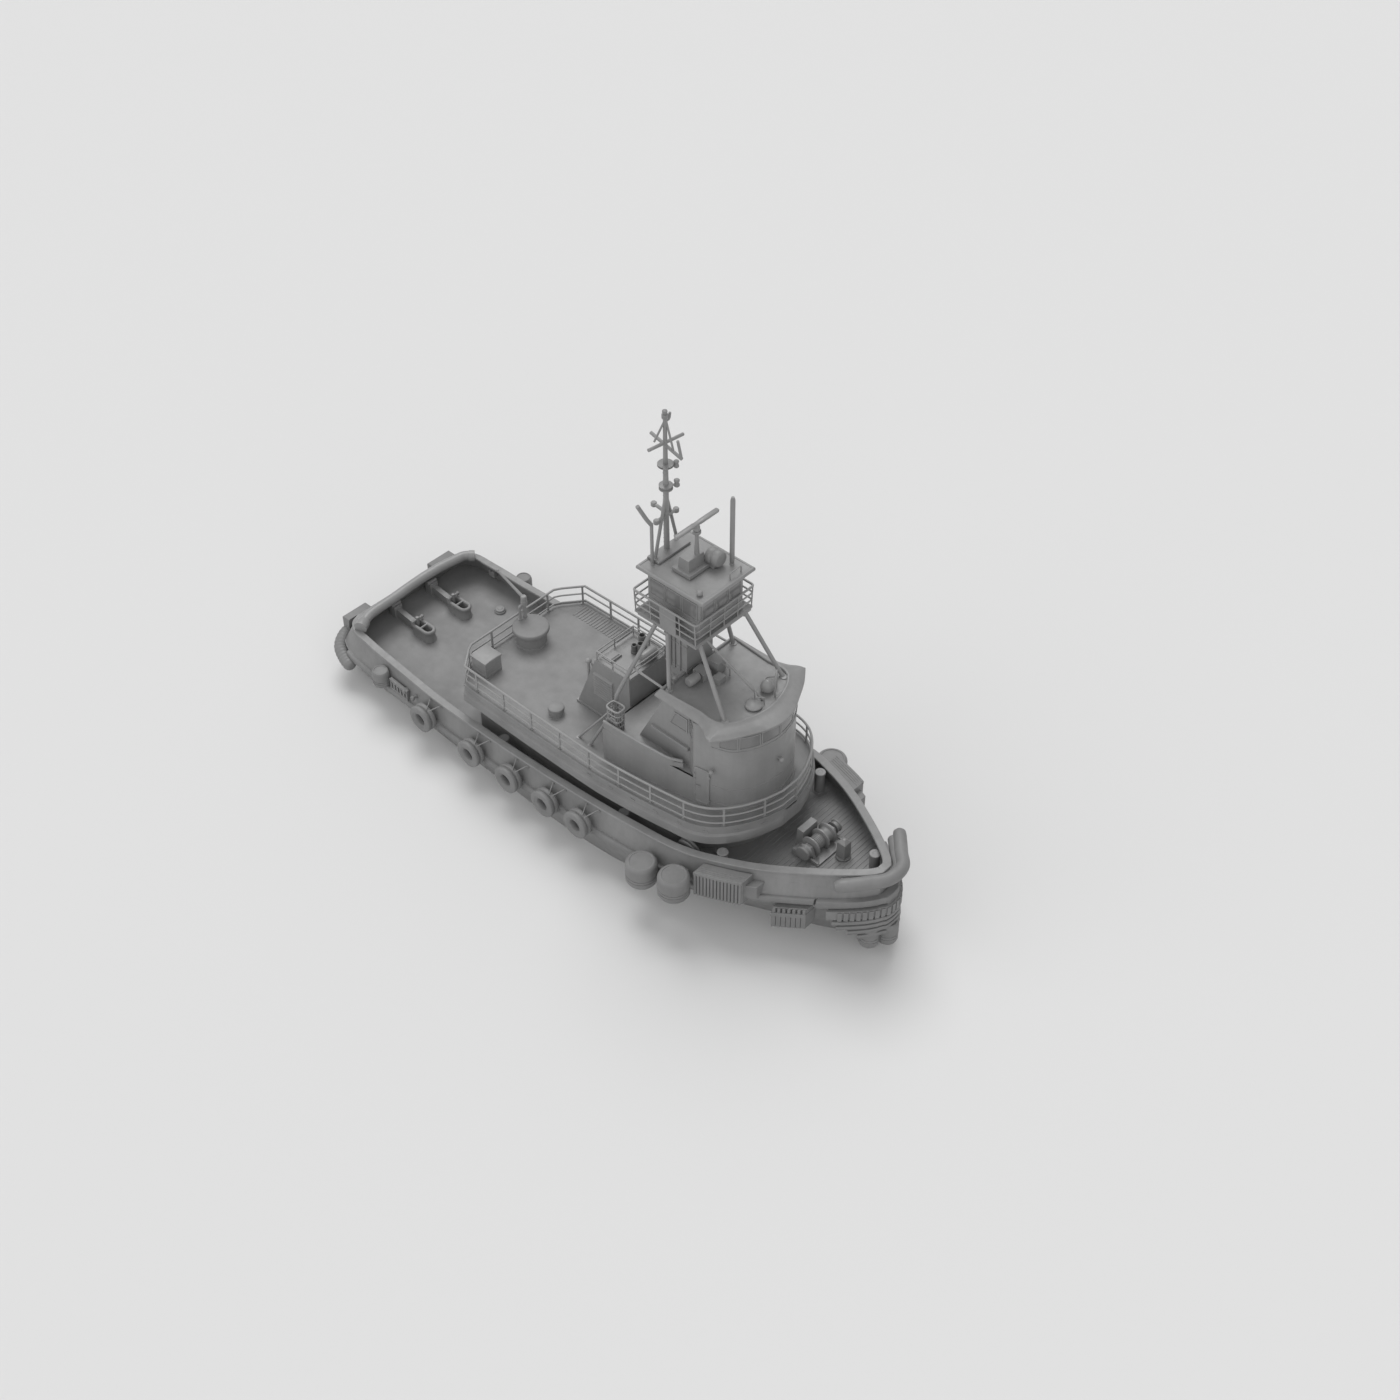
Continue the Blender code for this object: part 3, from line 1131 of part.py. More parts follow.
def make_windlass_drum():
    """The drum, in two parts between three rims, on an axle with a warping end outside each stand."""
    x, y, z = WINDLASS["x"], WINDLASS["y"], WINDLASS["z"]
    radius, rim, half, axle = WINDLASS["radius"], WINDLASS["rim"], WINDLASS["half"], WINDLASS["axle"]
    end, thin, collar = 0.20, radius * 0.8, axle + 0.05
    profile = [
        (axle, -1.05), (end, -1.04), (end, -0.80), (axle, -0.79), (axle, -half - 0.12), (rim, -half - 0.11),
        (rim, -half - 0.03), (thin, -half), (thin, 0.02), (rim, 0.04), (rim, 0.12), (radius, 0.14),
        (radius, half - 0.04), (rim, half), (rim, half + 0.08), (collar, half + 0.09), (collar, 0.58 - GAP),
        (axle, 0.58 - GAP), (axle, 0.79), (end, 0.80), (end, 1.04), (axle, 1.05),
    ]
    drum = turned(profile, (x, y, z), "y", sides=16)
    return hang_on(piece("windlass_drum", "steel", [drum]), "windlass_drum", (x, y, z))


DECK_TYRE = {"x": 6.45, "y": -3.30, "radius": 0.52, "depth": 0.30, "lean": 9}  # lean in degrees


def make_deck_tyre():
    """A spare tyre that stands on the deck and leans out against the bulwark's cap."""
    radius, depth = DECK_TYRE["radius"], DECK_TYRE["depth"]
    hole, shoulder = radius * 0.5, radius - 0.06
    profile = [
        (hole, 0.0), (shoulder, 0.0), (radius, 0.07), (radius, depth - 0.07), (shoulder, depth), (hole, depth),
    ]
    mesh = turned(profile, (0, 0, 0), "y", sides=14, closed=True)
    x, y = DECK_TYRE["x"], DECK_TYRE["y"]
    lift = deck_height(x) + radius - 0.03
    matrix = Matrix.Translation((x, y, lift)) @ Matrix.Rotation(radians(DECK_TYRE["lean"]), 4, "X")
    bmesh.ops.transform(mesh, matrix=matrix, verts=mesh.verts)
    return piece("deck_tyre", "rubber", [mesh], [deck_cut()])


LOCKER = {"x0": -6.22, "x1": -5.35, "y0": -2.72, "y1": -1.85, "height": 0.86, "lid": 0.12}


def make_locker():
    x0, x1, y0, y1 = (LOCKER[key] for key in ("x0", "x1", "y0", "y1"))
    low, lid_top = BOAT_DECK_Z + GAP, BOAT_DECK_Z + LOCKER["height"]
    top = lid_top - LOCKER["lid"]
    body = box((x0, y0, low), (x1, y1, top))
    hollow = box((x0 + 0.05, y0 + 0.05, low + 0.06), (x1 - 0.05, y1 - 0.05, top + 0.2))
    lid = box((x0 - 0.03, y0 - 0.03, top + GAP), (x1 + 0.03, y1 + 0.03, lid_top))
    piece("locker", "steel", [body], [hollow], smooth=False)
    axis = (x0 - 0.03, (y0 + y1) / 2, lid_top)
    return hang_on(piece("locker_lid", "steel", [lid], smooth=False), "locker_lid", axis)


CRANE = {"x": -6.32, "y": 0.46, "top": 5.75}


def make_crane():
    """The post of the light boom on the large ventilator's cap, with a pipe beside it."""
    x, y, top = CRANE["x"], CRANE["y"], CRANE["top"]
    foot = BOAT_DECK_Z + VENTS[0][4] + VENTS[0][6] + GAP
    post = turned([(0.10, foot), (0.10, top)], (x, y, 0), sides=10)
    head = cylinder((x, y, 0), 0.14, top - 0.3, top - 0.05, sides=10)
    beside = cylinder((x, y - 0.27, 0), 0.07, foot, top - 0.16, sides=8)
    link = cylinder((x, y, top - 0.22), 0.06, -0.27, 0.0, axis="y", sides=8)
    return piece("crane_post", "pipe", [post, head, beside, link])


def make_crane_boom():
    x, y, z = CRANE["x"], CRANE["y"], CRANE["top"] + GAP
    collar = cylinder((x, y, 0), 0.13, z, z + 0.2, sides=10)
    boom = pipe([(x, y, z + 0.11), (x - 1.50, y - 0.02, z + 0.78)], 0.07)
    return hang_on(piece("crane_boom", "pipe", [collar, boom]), "crane_boom", (x, y, z))


def door_leaf(name, a, b, sill, height, width):
    """A door leaf outside a flat stretch of wall from a to b, hinged at its end near b."""
    start, end = Vector((*a, 0)), Vector((*b, 0))
    along = (end - start).normalized()
    middle = (start + end) / 2
    outward = Vector((along.y, -along.x, 0))
    if outward.dot(middle - Vector((4.0, 0, 0))) < 0:
        outward = -outward
    lap, thick = 0.04, DOOR["thickness"]
    reach = width / 2 + lap
    corners = []
    for i, j in ((-1, GAP), (1, GAP), (1, thick), (-1, thick)):
        corners.append(middle + along * i * reach + outward * j)
    leaf = loft([[(c.x, c.y, z) for c in corners] for z in (sill - lap, sill + height + lap)])
    axis = middle + along * (reach + 0.02) + outward * thick
    meshes = [leaf]
    for z in (sill + 0.25, sill + height - 0.25):
        meshes.append(cylinder((axis.x, axis.y, z), 0.024, -0.06, 0.06, sides=8))
    grip = middle - along * (width / 2 - 0.08) + outward * (thick - 0.01) + Vector((0, 0, sill + height * 0.5))
    meshes.append(pipe([grip, grip + outward * 0.05, grip + outward * 0.05 + along * 0.2], 0.018))
    return hang_on(piece(name, "steel", meshes, smooth=False), name, (axis.x, axis.y, sill))


def make_doors():
    x, y = DECKHOUSE[0][0], AFT_DOOR_Y
    sill = deck_height(x) + DOOR["sill"]
    door_leaf("aft_door", (x, y + 0.5), (x, y - 0.5), sill, DOOR["height"], DOOR["width"])
    (x0, y0), (x1, y1) = DOOR_FACET
    for name, side in (("starboard_door", -1), ("port_door", 1)):
        ends = (x0, side * y0), (x1, side * y1)
        door_leaf(name, *ends, SIDE_DOOR["sill"], SIDE_DOOR["height"], SIDE_DOOR["width"])


# Sections of a propeller's blade. Columns: radius, chord, pitch angle in degrees, thickness.
BLADE = [
    (0.10, 0.30, 55, 0.07), (0.40, 0.52, 42, 0.05), (0.70, 0.62, 32, 0.03), (0.90, 0.40, 27, 0.02),
    (PROPELLER["radius"], 0.12, 26, 0.012),
]
BLADE_OUTLINE = ((-0.5, 0), (-0.2, 0.5), (0.2, 0.5), (0.5, 0), (0.2, -0.5), (-0.2, -0.5))  # chord, thickness


def blade(centre, side, turn):
    rings = []
    for radius, chord, pitch, thick in BLADE:
        flat, steep = cos(radians(pitch)), sin(radians(pitch))
        ring = []
        for u, v in BLADE_OUTLINE:
            axial = u * chord * steep - v * thick * flat
            tangent = (u * chord * flat + v * thick * steep) * side
            ring.append(centre + Matrix.Rotation(turn, 3, "X") @ Vector((axial, tangent, radius)))
        rings.append(ring)
    return loft(rings)


def make_propeller(side, name):
    centre = Vector((PROPELLER["x"], side * PROPELLER["y"], PROPELLER["z"]))
    hub, blades = PROPELLER["hub"], PROPELLER["blades"]
    meshes = [turned([(0.06, -0.36), (hub, -0.16), (hub, 0.22), (0.15, 0.34 - GAP)], centre, "x", sides=12)]
    for k in range(blades):
        meshes.append(blade(centre, side, 2 * pi * k / blades + pi / 4))
    return hang_on(piece(name, "bronze", meshes), name, centre)


def make_rudder(side, name):
    x, y, fore, aft = RUDDER["x"], side * RUDDER["y"], RUDDER["fore"], RUDDER["aft"]
    outline = (
        (fore, 0), (0.15, 0.09), (-0.2, 0.08), (-aft, 0.012), (-aft, -0.012), (-0.2, -0.08), (0.15, -0.09),
    )
    blade_mesh = loft([[(x + dx, y + dy, z) for dx, dy in outline] for z in (RUDDER["bottom"], RUDDER["top"])])
    stock = cylinder((x, y, 0), RUDDER["stock"], RUDDER["top"] - 0.2, RUDDER["top"] + 0.16 - GAP, sides=10)
    return hang_on(piece(name, "steel", [blade_mesh, stock]), name, (x, y, RUDDER["top"]))


SIDES = ((-1, "starboard"), (1, "port"))


def build():
    clear_scene()
    make_hull()
    make_bulwark()
    for side, word in SIDES:
        make_side_fender(side, "side_fender_" + word)
        for label, sides, *size in BARRELS:
            if side in sides:
                make_barrel(side, f"barrel_fender_{label}_{word}", *size)
        make_block_fender(side, "block_fender_" + word)
        make_louvre_fender(side, "louvre_fender_" + word, LOUVRE_FENDER)
        make_louvre_fender(side, "slat_fender_" + word, SLAT_FENDER)
        make_stern_pad(side, "stern_pad_" + word)
        make_stern_corner(side, "stern_corner_" + word)
        make_tow_bitt(side, "tow_bitt_" + word)
        make_propeller(side, "propeller_" + word)
        make_rudder(side, "rudder_" + word)
    make_tow_tube()
    make_bow_tube()
    make_bow_fender()
    make_deckhouse()
    make_boat_deck()
    make_boat_deck_rail()
    make_lower_house()
    make_wheelhouse()
    make_wheelhouse_roof()
    make_casing()
    make_tower()
    make_gallery()
    make_upper_house()
    make_upper_roof()
    make_mast()
    make_radar_post()
    make_radar_scanner()
    make_windlass()
    make_windlass_drum()
    make_deck_tyre()
    make_locker()
    make_crane()
    make_crane_boom()
    make_doors()


build()
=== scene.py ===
import json
from math import cos, pi, radians, sin

import bmesh
import bpy
import numpy as np
from mathutils import Matrix, Vector


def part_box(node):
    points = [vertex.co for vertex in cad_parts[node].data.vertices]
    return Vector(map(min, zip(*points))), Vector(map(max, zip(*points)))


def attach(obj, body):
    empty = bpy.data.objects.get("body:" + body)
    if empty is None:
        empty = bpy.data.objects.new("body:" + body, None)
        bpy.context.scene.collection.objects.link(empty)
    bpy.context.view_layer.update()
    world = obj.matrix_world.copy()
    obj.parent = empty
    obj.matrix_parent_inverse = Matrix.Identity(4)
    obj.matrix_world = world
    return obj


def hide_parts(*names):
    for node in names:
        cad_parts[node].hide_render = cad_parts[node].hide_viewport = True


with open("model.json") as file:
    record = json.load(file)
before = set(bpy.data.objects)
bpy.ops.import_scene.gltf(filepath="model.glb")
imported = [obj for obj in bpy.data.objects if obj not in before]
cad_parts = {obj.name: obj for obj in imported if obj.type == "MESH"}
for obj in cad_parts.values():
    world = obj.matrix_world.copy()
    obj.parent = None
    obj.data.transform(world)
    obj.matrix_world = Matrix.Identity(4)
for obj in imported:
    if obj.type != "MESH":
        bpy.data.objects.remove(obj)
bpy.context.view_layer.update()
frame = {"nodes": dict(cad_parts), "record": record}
print("frame loaded:", len(frame["nodes"]), "nodes")


# ---- node groups: each puts out only masks and heights

def groupNode(tree, kind, values=None, **settings):
    made = tree.nodes.new(kind)
    for key, value in settings.items():
        setattr(made, key, value)
    for socket, value in (values or {}).items():
        made.inputs[socket].default_value = value
    return made


def linkAll(tree, *pairs):
    for start, end in pairs:
        tree.links.new(start, end)


def newGroup(name, inputs, output):
    tree = bpy.data.node_groups.new(name, "ShaderNodeTree")
    for label, value in inputs:
        tree.interface.new_socket(label, in_out="INPUT", socket_type="NodeSocketFloat").default_value = value
    tree.interface.new_socket(output, in_out="OUTPUT", socket_type="NodeSocketFloat")
    return tree, tree.nodes.new("NodeGroupInput"), tree.nodes.new("NodeGroupOutput")


def amountOut(tree, entry, leave, source):
    # what a group puts out is its source times its Amount
    times = groupNode(tree, "ShaderNodeMath", operation="MULTIPLY")
    linkAll(tree, (source, times.inputs[0]), (entry.outputs["Amount"], times.inputs[1]),
            (times.outputs[0], leave.inputs[0]))
    return tree


def stretchedPlace(tree, scale):
    place = groupNode(tree, "ShaderNodeTexCoord")
    mapping = groupNode(tree, "ShaderNodeMapping", {"Scale": scale})
    tree.links.new(place.outputs["Object"], mapping.inputs["Vector"])
    return mapping.outputs["Vector"]


def noiseGroup(name, stretch, detail, low, high, output):
    tree, entry, leave = newGroup(name, (("Scale", 1.0), ("Amount", 1.0)), output)
    noise = groupNode(tree, "ShaderNodeTexNoise", {"Detail": detail})
    spread = groupNode(tree, "ShaderNodeMapRange", {"From Min": low, "From Max": high}, clamp=True)
    linkAll(tree, (stretchedPlace(tree, stretch), noise.inputs["Vector"]),
            (entry.outputs["Scale"], noise.inputs["Scale"]), (noise.outputs["Fac"], spread.inputs["Value"]))
    return amountOut(tree, entry, leave, spread.outputs["Result"])


def rubbedEdgeGroup():
    # where a face turns a corner within Width, broken up by a fine noise
    tree, entry, leave = newGroup("rubbedEdge", (("Width", 0.03), ("Amount", 0.5)), "Mask")
    bevel = groupNode(tree, "ShaderNodeBevel", samples=4)
    flat = groupNode(tree, "ShaderNodeNewGeometry")
    turn = groupNode(tree, "ShaderNodeVectorMath", operation="DOT_PRODUCT")
    bend = groupNode(tree, "ShaderNodeMapRange", {"From Min": 0.995, "From Max": 0.80}, clamp=True)
    noise = groupNode(tree, "ShaderNodeTexNoise", {"Scale": 3.0, "Detail": 6.0})
    broken = groupNode(tree, "ShaderNodeMath", operation="MULTIPLY")
    linkAll(tree, (entry.outputs["Width"], bevel.inputs["Radius"]), (bevel.outputs["Normal"], turn.inputs[0]),
            (flat.outputs["Normal"], turn.inputs[1]), (turn.outputs["Value"], bend.inputs["Value"]),
            (stretchedPlace(tree, (1, 1, 1)), noise.inputs["Vector"]),
            (bend.outputs["Result"], broken.inputs[0]), (noise.outputs["Fac"], broken.inputs[1]))
    return amountOut(tree, entry, leave, broken.outputs[0])


def plateSeamGroup():
    # faint welded seams between plates, on the length and the height
    tree, entry, leave = newGroup("plateSeams", (("Amount", 1.0),), "Height")
    place = groupNode(tree, "ShaderNodeTexCoord")
    apart = groupNode(tree, "ShaderNodeSeparateXYZ")
    flat = groupNode(tree, "ShaderNodeCombineXYZ")
    brick = groupNode(tree, "ShaderNodeTexBrick", {"Scale": 1.0, "Brick Width": 2.4, "Row Height": 1.15,
                                                   "Mortar Size": 0.012, "Mortar Smooth": 0.6})
    linkAll(tree, (place.outputs["Object"], apart.inputs[0]), (apart.outputs["X"], flat.inputs["X"]),
            (apart.outputs["Z"], flat.inputs["Y"]), (flat.outputs[0], brick.inputs["Vector"]))
    return amountOut(tree, entry, leave, brick.outputs["Fac"])


groups = {
    "cloudy": noiseGroup("cloudyPaint", (1, 1, 1), 4.0, 0.32, 0.68, "Mask"),
    "runs": noiseGroup("rainRuns", (3.0, 3.0, 0.22), 5.0, 0.45, 0.85, "Mask"),
    "grit": noiseGroup("fineGrit", (1, 1, 1), 3.0, 0.0, 1.0, "Height"),
    "edge": rubbedEdgeGroup(),
    "seams": plateSeamGroup(),
}

# greys in linear light; rough is the roughness, edge and runs are amounts of wear, seams and bump heights in
# metres, grit the size of the grain
finishes = {
    "hullPaint": {"slot": "hull_paint", "light": 0.235, "dark": 0.195, "rough": 0.42, "edge": 0.30,
                  "runs": 0.30, "seams": 0.004, "grit": 22, "bump": 0.0006},
    "housePaint": {"slot": "house_paint", "light": 0.245, "dark": 0.210, "rough": 0.38, "edge": 0.35,
                   "runs": 0.20, "grit": 26, "bump": 0.0004},
    "deckPaint": {"slot": "deck_paint", "light": 0.225, "dark": 0.180, "rough": 0.58, "edge": 0.30,
                  "grit": 60, "bump": 0.0022},
    "pipePaint": {"slot": "pipework", "light": 0.265, "dark": 0.225, "rough": 0.36, "edge": 0.25,
                  "runs": 0.10, "grit": 40, "bump": 0.0004},
    "fenderRubber": {"slot": "rubber", "light": 0.205, "dark": 0.165, "rough": 0.52, "edge": 0.45,
                     "runs": 0.15, "grit": 34, "bump": 0.0018},
    "paneGlass": {"slot": "house_paint", "light": 0.190, "dark": 0.165, "rough": 0.12, "runs": 0.08,
                  "grit": 6, "bump": 0.0001},
    "sootySteel": {"slot": "house_paint", "light": 0.16, "dark": 0.10, "rough": 0.60, "edge": 0.35,
                   "runs": 0.25, "grit": 30, "bump": 0.0010},
    "castBronze": {"slot": "bronze", "light": (0.42, 0.30, 0.15), "dark": (0.25, 0.20, 0.13), "rough": 0.34,
                   "edge": 0.50, "grit": 18, "bump": 0.0012, "metal": 0.9},
}


def grey(value):
    return (*value, 1) if isinstance(value, tuple) else (value, value, value, 1)


def mixColours(tree, factor, low, high):
    mix = tree.nodes.new("ShaderNodeMix")
    mix.data_type = "RGBA"
    for socket, value in ((6, low), (7, high)):
        if isinstance(value, tuple):
            mix.inputs[socket].default_value = value
        else:
            tree.links.new(value, mix.inputs[socket])
    tree.links.new(factor, mix.inputs[0])
    return mix.outputs[2]


def placeGroup(tree, key, **values):
    return groupNode(tree, "ShaderNodeGroup", values, node_tree=groups[key]).outputs[0]


def scaled(colour, factor):
    return tuple(min(1, c * factor) for c in colour[:3]) + (1,)


def makeFinish(name, look):
    made = bpy.data.materials.new(name)
    made.use_nodes = True
    tree = made.node_tree
    shader = tree.nodes["Principled BSDF"]
    light, dark = grey(look["light"]), grey(look["dark"])
    colour = mixColours(tree, placeGroup(tree, "cloudy", Scale=0.9, Amount=1.0), dark, light)
    colour = mixColours(tree, placeGroup(tree, "cloudy", Scale=7.0, Amount=0.35), colour, scaled(light, 0.86))
    if "runs" in look:
        runs = placeGroup(tree, "runs", Scale=1.6, Amount=look["runs"])
        colour = mixColours(tree, runs, colour, scaled(dark, 0.62))
    if "edge" in look:
        edge = placeGroup(tree, "edge", Width=0.03, Amount=look["edge"])
        colour = mixColours(tree, edge, colour, scaled(light, 1.9))
    gloss = groupNode(tree, "ShaderNodeMapRange", {"To Min": look["rough"] - 0.06,
                                                   "To Max": look["rough"] + 0.10})
    height = placeGroup(tree, "grit", Scale=look["grit"], Amount=look["bump"])
    if "seams" in look:
        total = groupNode(tree, "ShaderNodeMath", operation="ADD")
        linkAll(tree, (height, total.inputs[0]),
                (placeGroup(tree, "seams", Amount=look["seams"]), total.inputs[1]))
        height = total.outputs[0]
    bump = groupNode(tree, "ShaderNodeBump", {"Distance": 1.0})
    linkAll(tree, (colour, shader.inputs["Base Color"]),
            (placeGroup(tree, "cloudy", Scale=2.6, Amount=1.0), gloss.inputs["Value"]),
            (gloss.outputs["Result"], shader.inputs["Roughness"]), (height, bump.inputs["Height"]),
            (bump.outputs["Normal"], shader.inputs["Normal"]))
    shader.inputs["Metallic"].default_value = look.get("metal", 0.0)
    made.diffuse_color = light
    return made


finish = {name: makeFinish(name, look) for name, look in finishes.items()}
print("finishes made:", len(finish))


# ---- shapes: each is (points, faces), joined into a piece by makePiece

def curveThrough(points, steps=5):
    # dense points on a smooth curve through the given ones, without overshoot where the spacing changes
    knots = np.array(points, float)
    knots = np.vstack([2 * knots[:1] - knots[1:2], knots, 2 * knots[-1:] - knots[-2:-1]])
    dense = []
    for i in range(1, len(knots) - 2):
        a, b, c, d = knots[i - 1:i + 3]
        before, here, after = (max(1e-6, np.linalg.norm(q - p)) for p, q in ((a, b), (b, c), (c, d)))
        leave = ((b - a) / before * here + (c - b) / here * before) / (before + here) * here
        arrive = ((c - b) / here * after + (d - c) / after * here) / (here + after) * here
        for k in range(steps):
            t = k / steps
            dense.append((2 * t ** 3 - 3 * t ** 2 + 1) * b + (t ** 3 - 2 * t ** 2 + t) * leave
                         + (3 * t ** 2 - 2 * t ** 3) * c + (t ** 3 - t ** 2) * arrive)
    dense.append(knots[-2])
    return [tuple(float(v) for v in p) for p in dense]


def loft(rings, loop=False):
    # a skin over rings of points, with flat ends unless the last ring joins the first
    points = [tuple(p) for ring in rings for p in ring]
    size, count = len(rings[0]), len(rings)
    faces = []
    for i in range(count if loop else count - 1):
        j = (i + 1) % count
        for k in range(size):
            m = (k + 1) % size
            faces.append((i * size + k, i * size + m, j * size + m, j * size + k))
    if not loop:
        faces += [tuple(range(size))[::-1], tuple(range((count - 1) * size, count * size))]
    return points, faces


def box(low, high):
    (x0, y0, z0), (x1, y1, z1) = low, high
    return loft([[(x0, y0, z), (x1, y0, z), (x1, y1, z), (x0, y1, z)] for z in (z0, z1)])


def tapered(low, high, bottom, top):
    # a box whose top is another rectangle; a rectangle is x0, x1, y0, y1
    return loft([[(a, c, z), (b, c, z), (b, d, z), (a, d, z)]
                 for (a, b, c, d), z in ((low, bottom), (high, top))])


def lathe(profile, centre, axis="z", sides=32, ring=False):
    # a profile of (radius, height) turned about an axis; ring joins its ends for a hollow shape
    rings = []
    for radius, height in profile:
        turn = []
        for k in range(sides):
            angle = 2 * pi * k / sides
            a, b = radius * cos(angle), radius * sin(angle)
            offset = {"z": (a, b, height), "y": (a, height, b), "x": (height, a, b)}[axis]
            turn.append(tuple(centre[i] + offset[i] for i in range(3)))
        rings.append(turn)
    return loft(rings, loop=ring)


def filleted(points, radius, steps=5):
    # a path whose inner corners are rounded
    path = [Vector(p) for p in points]
    made = [path[0]]
    for before, here, after in zip(path, path[1:], path[2:]):
        reach = min(radius, (here - before).length * 0.45, (after - here).length * 0.45)
        start, end = here + (before - here).normalized() * reach, here + (after - here).normalized() * reach
        for k in range(steps + 1):
            t = k / steps
            made.append(start * (1 - t) ** 2 + here * 2 * t * (1 - t) + end * t * t)
    return made + [path[-1]]


def tube(points, radius, sides=12, closed=False):
    path = [Vector(p) for p in points]
    count = len(path)
    normal = None
    rings = []
    for i, here in enumerate(path):
        before = path[i - 1] if closed or i else here
        after = path[(i + 1) % count] if closed or i < count - 1 else here
        first, second = here - before, after - here
        first = first.normalized() if first.length > 1e-9 else second.normalized()
        second = second.normalized() if second.length > 1e-9 else first
        along = (first + second).normalized()
        if closed:
            normal = along.cross(Vector((0, 0, 1))).normalized()
        elif normal is None:
            normal = along.orthogonal().normalized()
        else:
            normal = (normal - along * normal.dot(along)).normalized()
        other = along.cross(normal)
        bend = second - first
        wide = 1 / max(0.4, along.dot(first)) - 1
        size = radius[i] if isinstance(radius, (list, tuple)) else radius
        ring = []
        for k in range(sides):
            angle = 2 * pi * k / sides
            offset = (normal * cos(angle) + other * sin(angle)) * size
            if bend.length > 1e-6:
                outward = bend.normalized()
                offset += outward * offset.dot(outward) * wide
            ring.append(tuple(here + offset))
        rings.append(ring)
    return loft(rings, loop=closed)


def rod(start, end, radius, sides=12):
    return tube([start, end], radius, sides)


def bentPipe(points, bend, radius, sides, steps=5):
    return tube(filleted(points, bend, steps), radius, sides)


def sideBox(side, x, y, z):
    # a box of the port side, or its mirror image; each range is (from, to)
    near, far = sorted((side * y[0], side * y[1]))
    return box((x[0], near, z[0]), (x[1], far, z[1]))


def readLine(line, x):
    # the second value of a line of points at x
    return float(np.interp(x, [p[0] for p in line], [p[1] for p in line]))


def outOf(along):
    # the outward direction of a plan line that runs anticlockwise
    return Vector((along.y, -along.x))


def mirrored(half):
    # a closed plan, anticlockwise from above, from the points of its port half
    return [(x, -y) for x, y in half if y > 1e-6] + [(x, y) for x, y in half][::-1]


def inset(plan, distance):
    moved = []
    for before, here, after in zip([plan[-1]] + plan[:-1], plan, plan[1:] + plan[:1]):
        first = (Vector(here) - Vector(before)).normalized()
        second = (Vector(after) - Vector(here)).normalized()
        left = Vector((-first.y - second.y, first.x + second.x))
        left = left.normalized() if left.length > 1e-6 else Vector((-first.y, first.x))
        scale = distance / max(0.35, left.dot(Vector((-first.y, first.x))))
        moved.append((here[0] + left.x * scale, here[1] + left.y * scale))
    return moved


def levelAt(level, x):
    return level(x) if callable(level) else level


def onPlan(plan, level):
    return [(x, y, levelAt(level, x)) for x, y in plan]


def prism(plan, bottom, top):
    return loft([onPlan(plan, bottom), onPlan(plan, top)])


def wallStrip(line, thickness, bottom, top, closed=False):
    # a wall that stands on a plan line, its outer face on the line and its thickness to the left
    inner = inset(line, thickness) if closed else sideStep(line, thickness)
    rings = []
    for (x, y), (ix, iy) in zip(line, inner):
        low, high = levelAt(bottom, x), levelAt(top, x)
        rings.append([(x, y, low), (x, y, high), (ix, iy, high), (ix, iy, low)])
    return loft(rings, loop=closed)


def sideStep(line, distance):
    # an open plan line moved to its left
    moved = []
    for i, here in enumerate(line):
        before, after = line[max(0, i - 1)], line[min(len(line) - 1, i + 1)]
        along = (Vector(after) - Vector(before)).normalized()
        moved.append((here[0] - along.y * distance, here[1] + along.x * distance))
    return moved


def alongLine(line, spacing, start=0.0):
    # (point, direction) at even steps along an open plan line
    found, walked, due = [], 0.0, start
    for a, b in zip(line, line[1:]):
        a, b = Vector(a), Vector(b)
        length = (b - a).length
        while due <= walked + length:
            found.append((a + (b - a) * ((due - walked) / max(length, 1e-9)), (b - a).normalized()))
            due += spacing
        walked += length
    return found


def makePiece(name, shapes, look, body="boat", replaces=(), bevel=0.0, angle=38, matrix=None):
    mesh = bmesh.new()
    for points, faces in shapes:
        corners = [mesh.verts.new(p) for p in points]
        for face in faces:
            mesh.faces.new([corners[i] for i in face])
    if matrix:
        bmesh.ops.transform(mesh, matrix=matrix, verts=mesh.verts)
    bmesh.ops.recalc_face_normals(mesh, faces=mesh.faces)
    data = bpy.data.meshes.new(name)
    mesh.to_mesh(data)
    mesh.free()
    data.materials.append(finish[look])
    data.shade_smooth()
    made = bpy.data.objects.new(name, data)
    bpy.context.scene.collection.objects.link(made)
    if bevel:
        rounding = made.modifiers.new("roundedEdges", "BEVEL")
        rounding.width = bevel
        rounding.segments = 2
        rounding.limit_method = "ANGLE"
        rounding.angle_limit = radians(angle)
        rounding.harden_normals = True
    else:
        data.set_sharp_from_angle(angle=radians(angle))
    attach(made, body)
    if replaces:
        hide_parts(*replaces)
    return made


sides = ((-1, "starboard"), (1, "port"))


# ---- lines of the boat that several pieces share

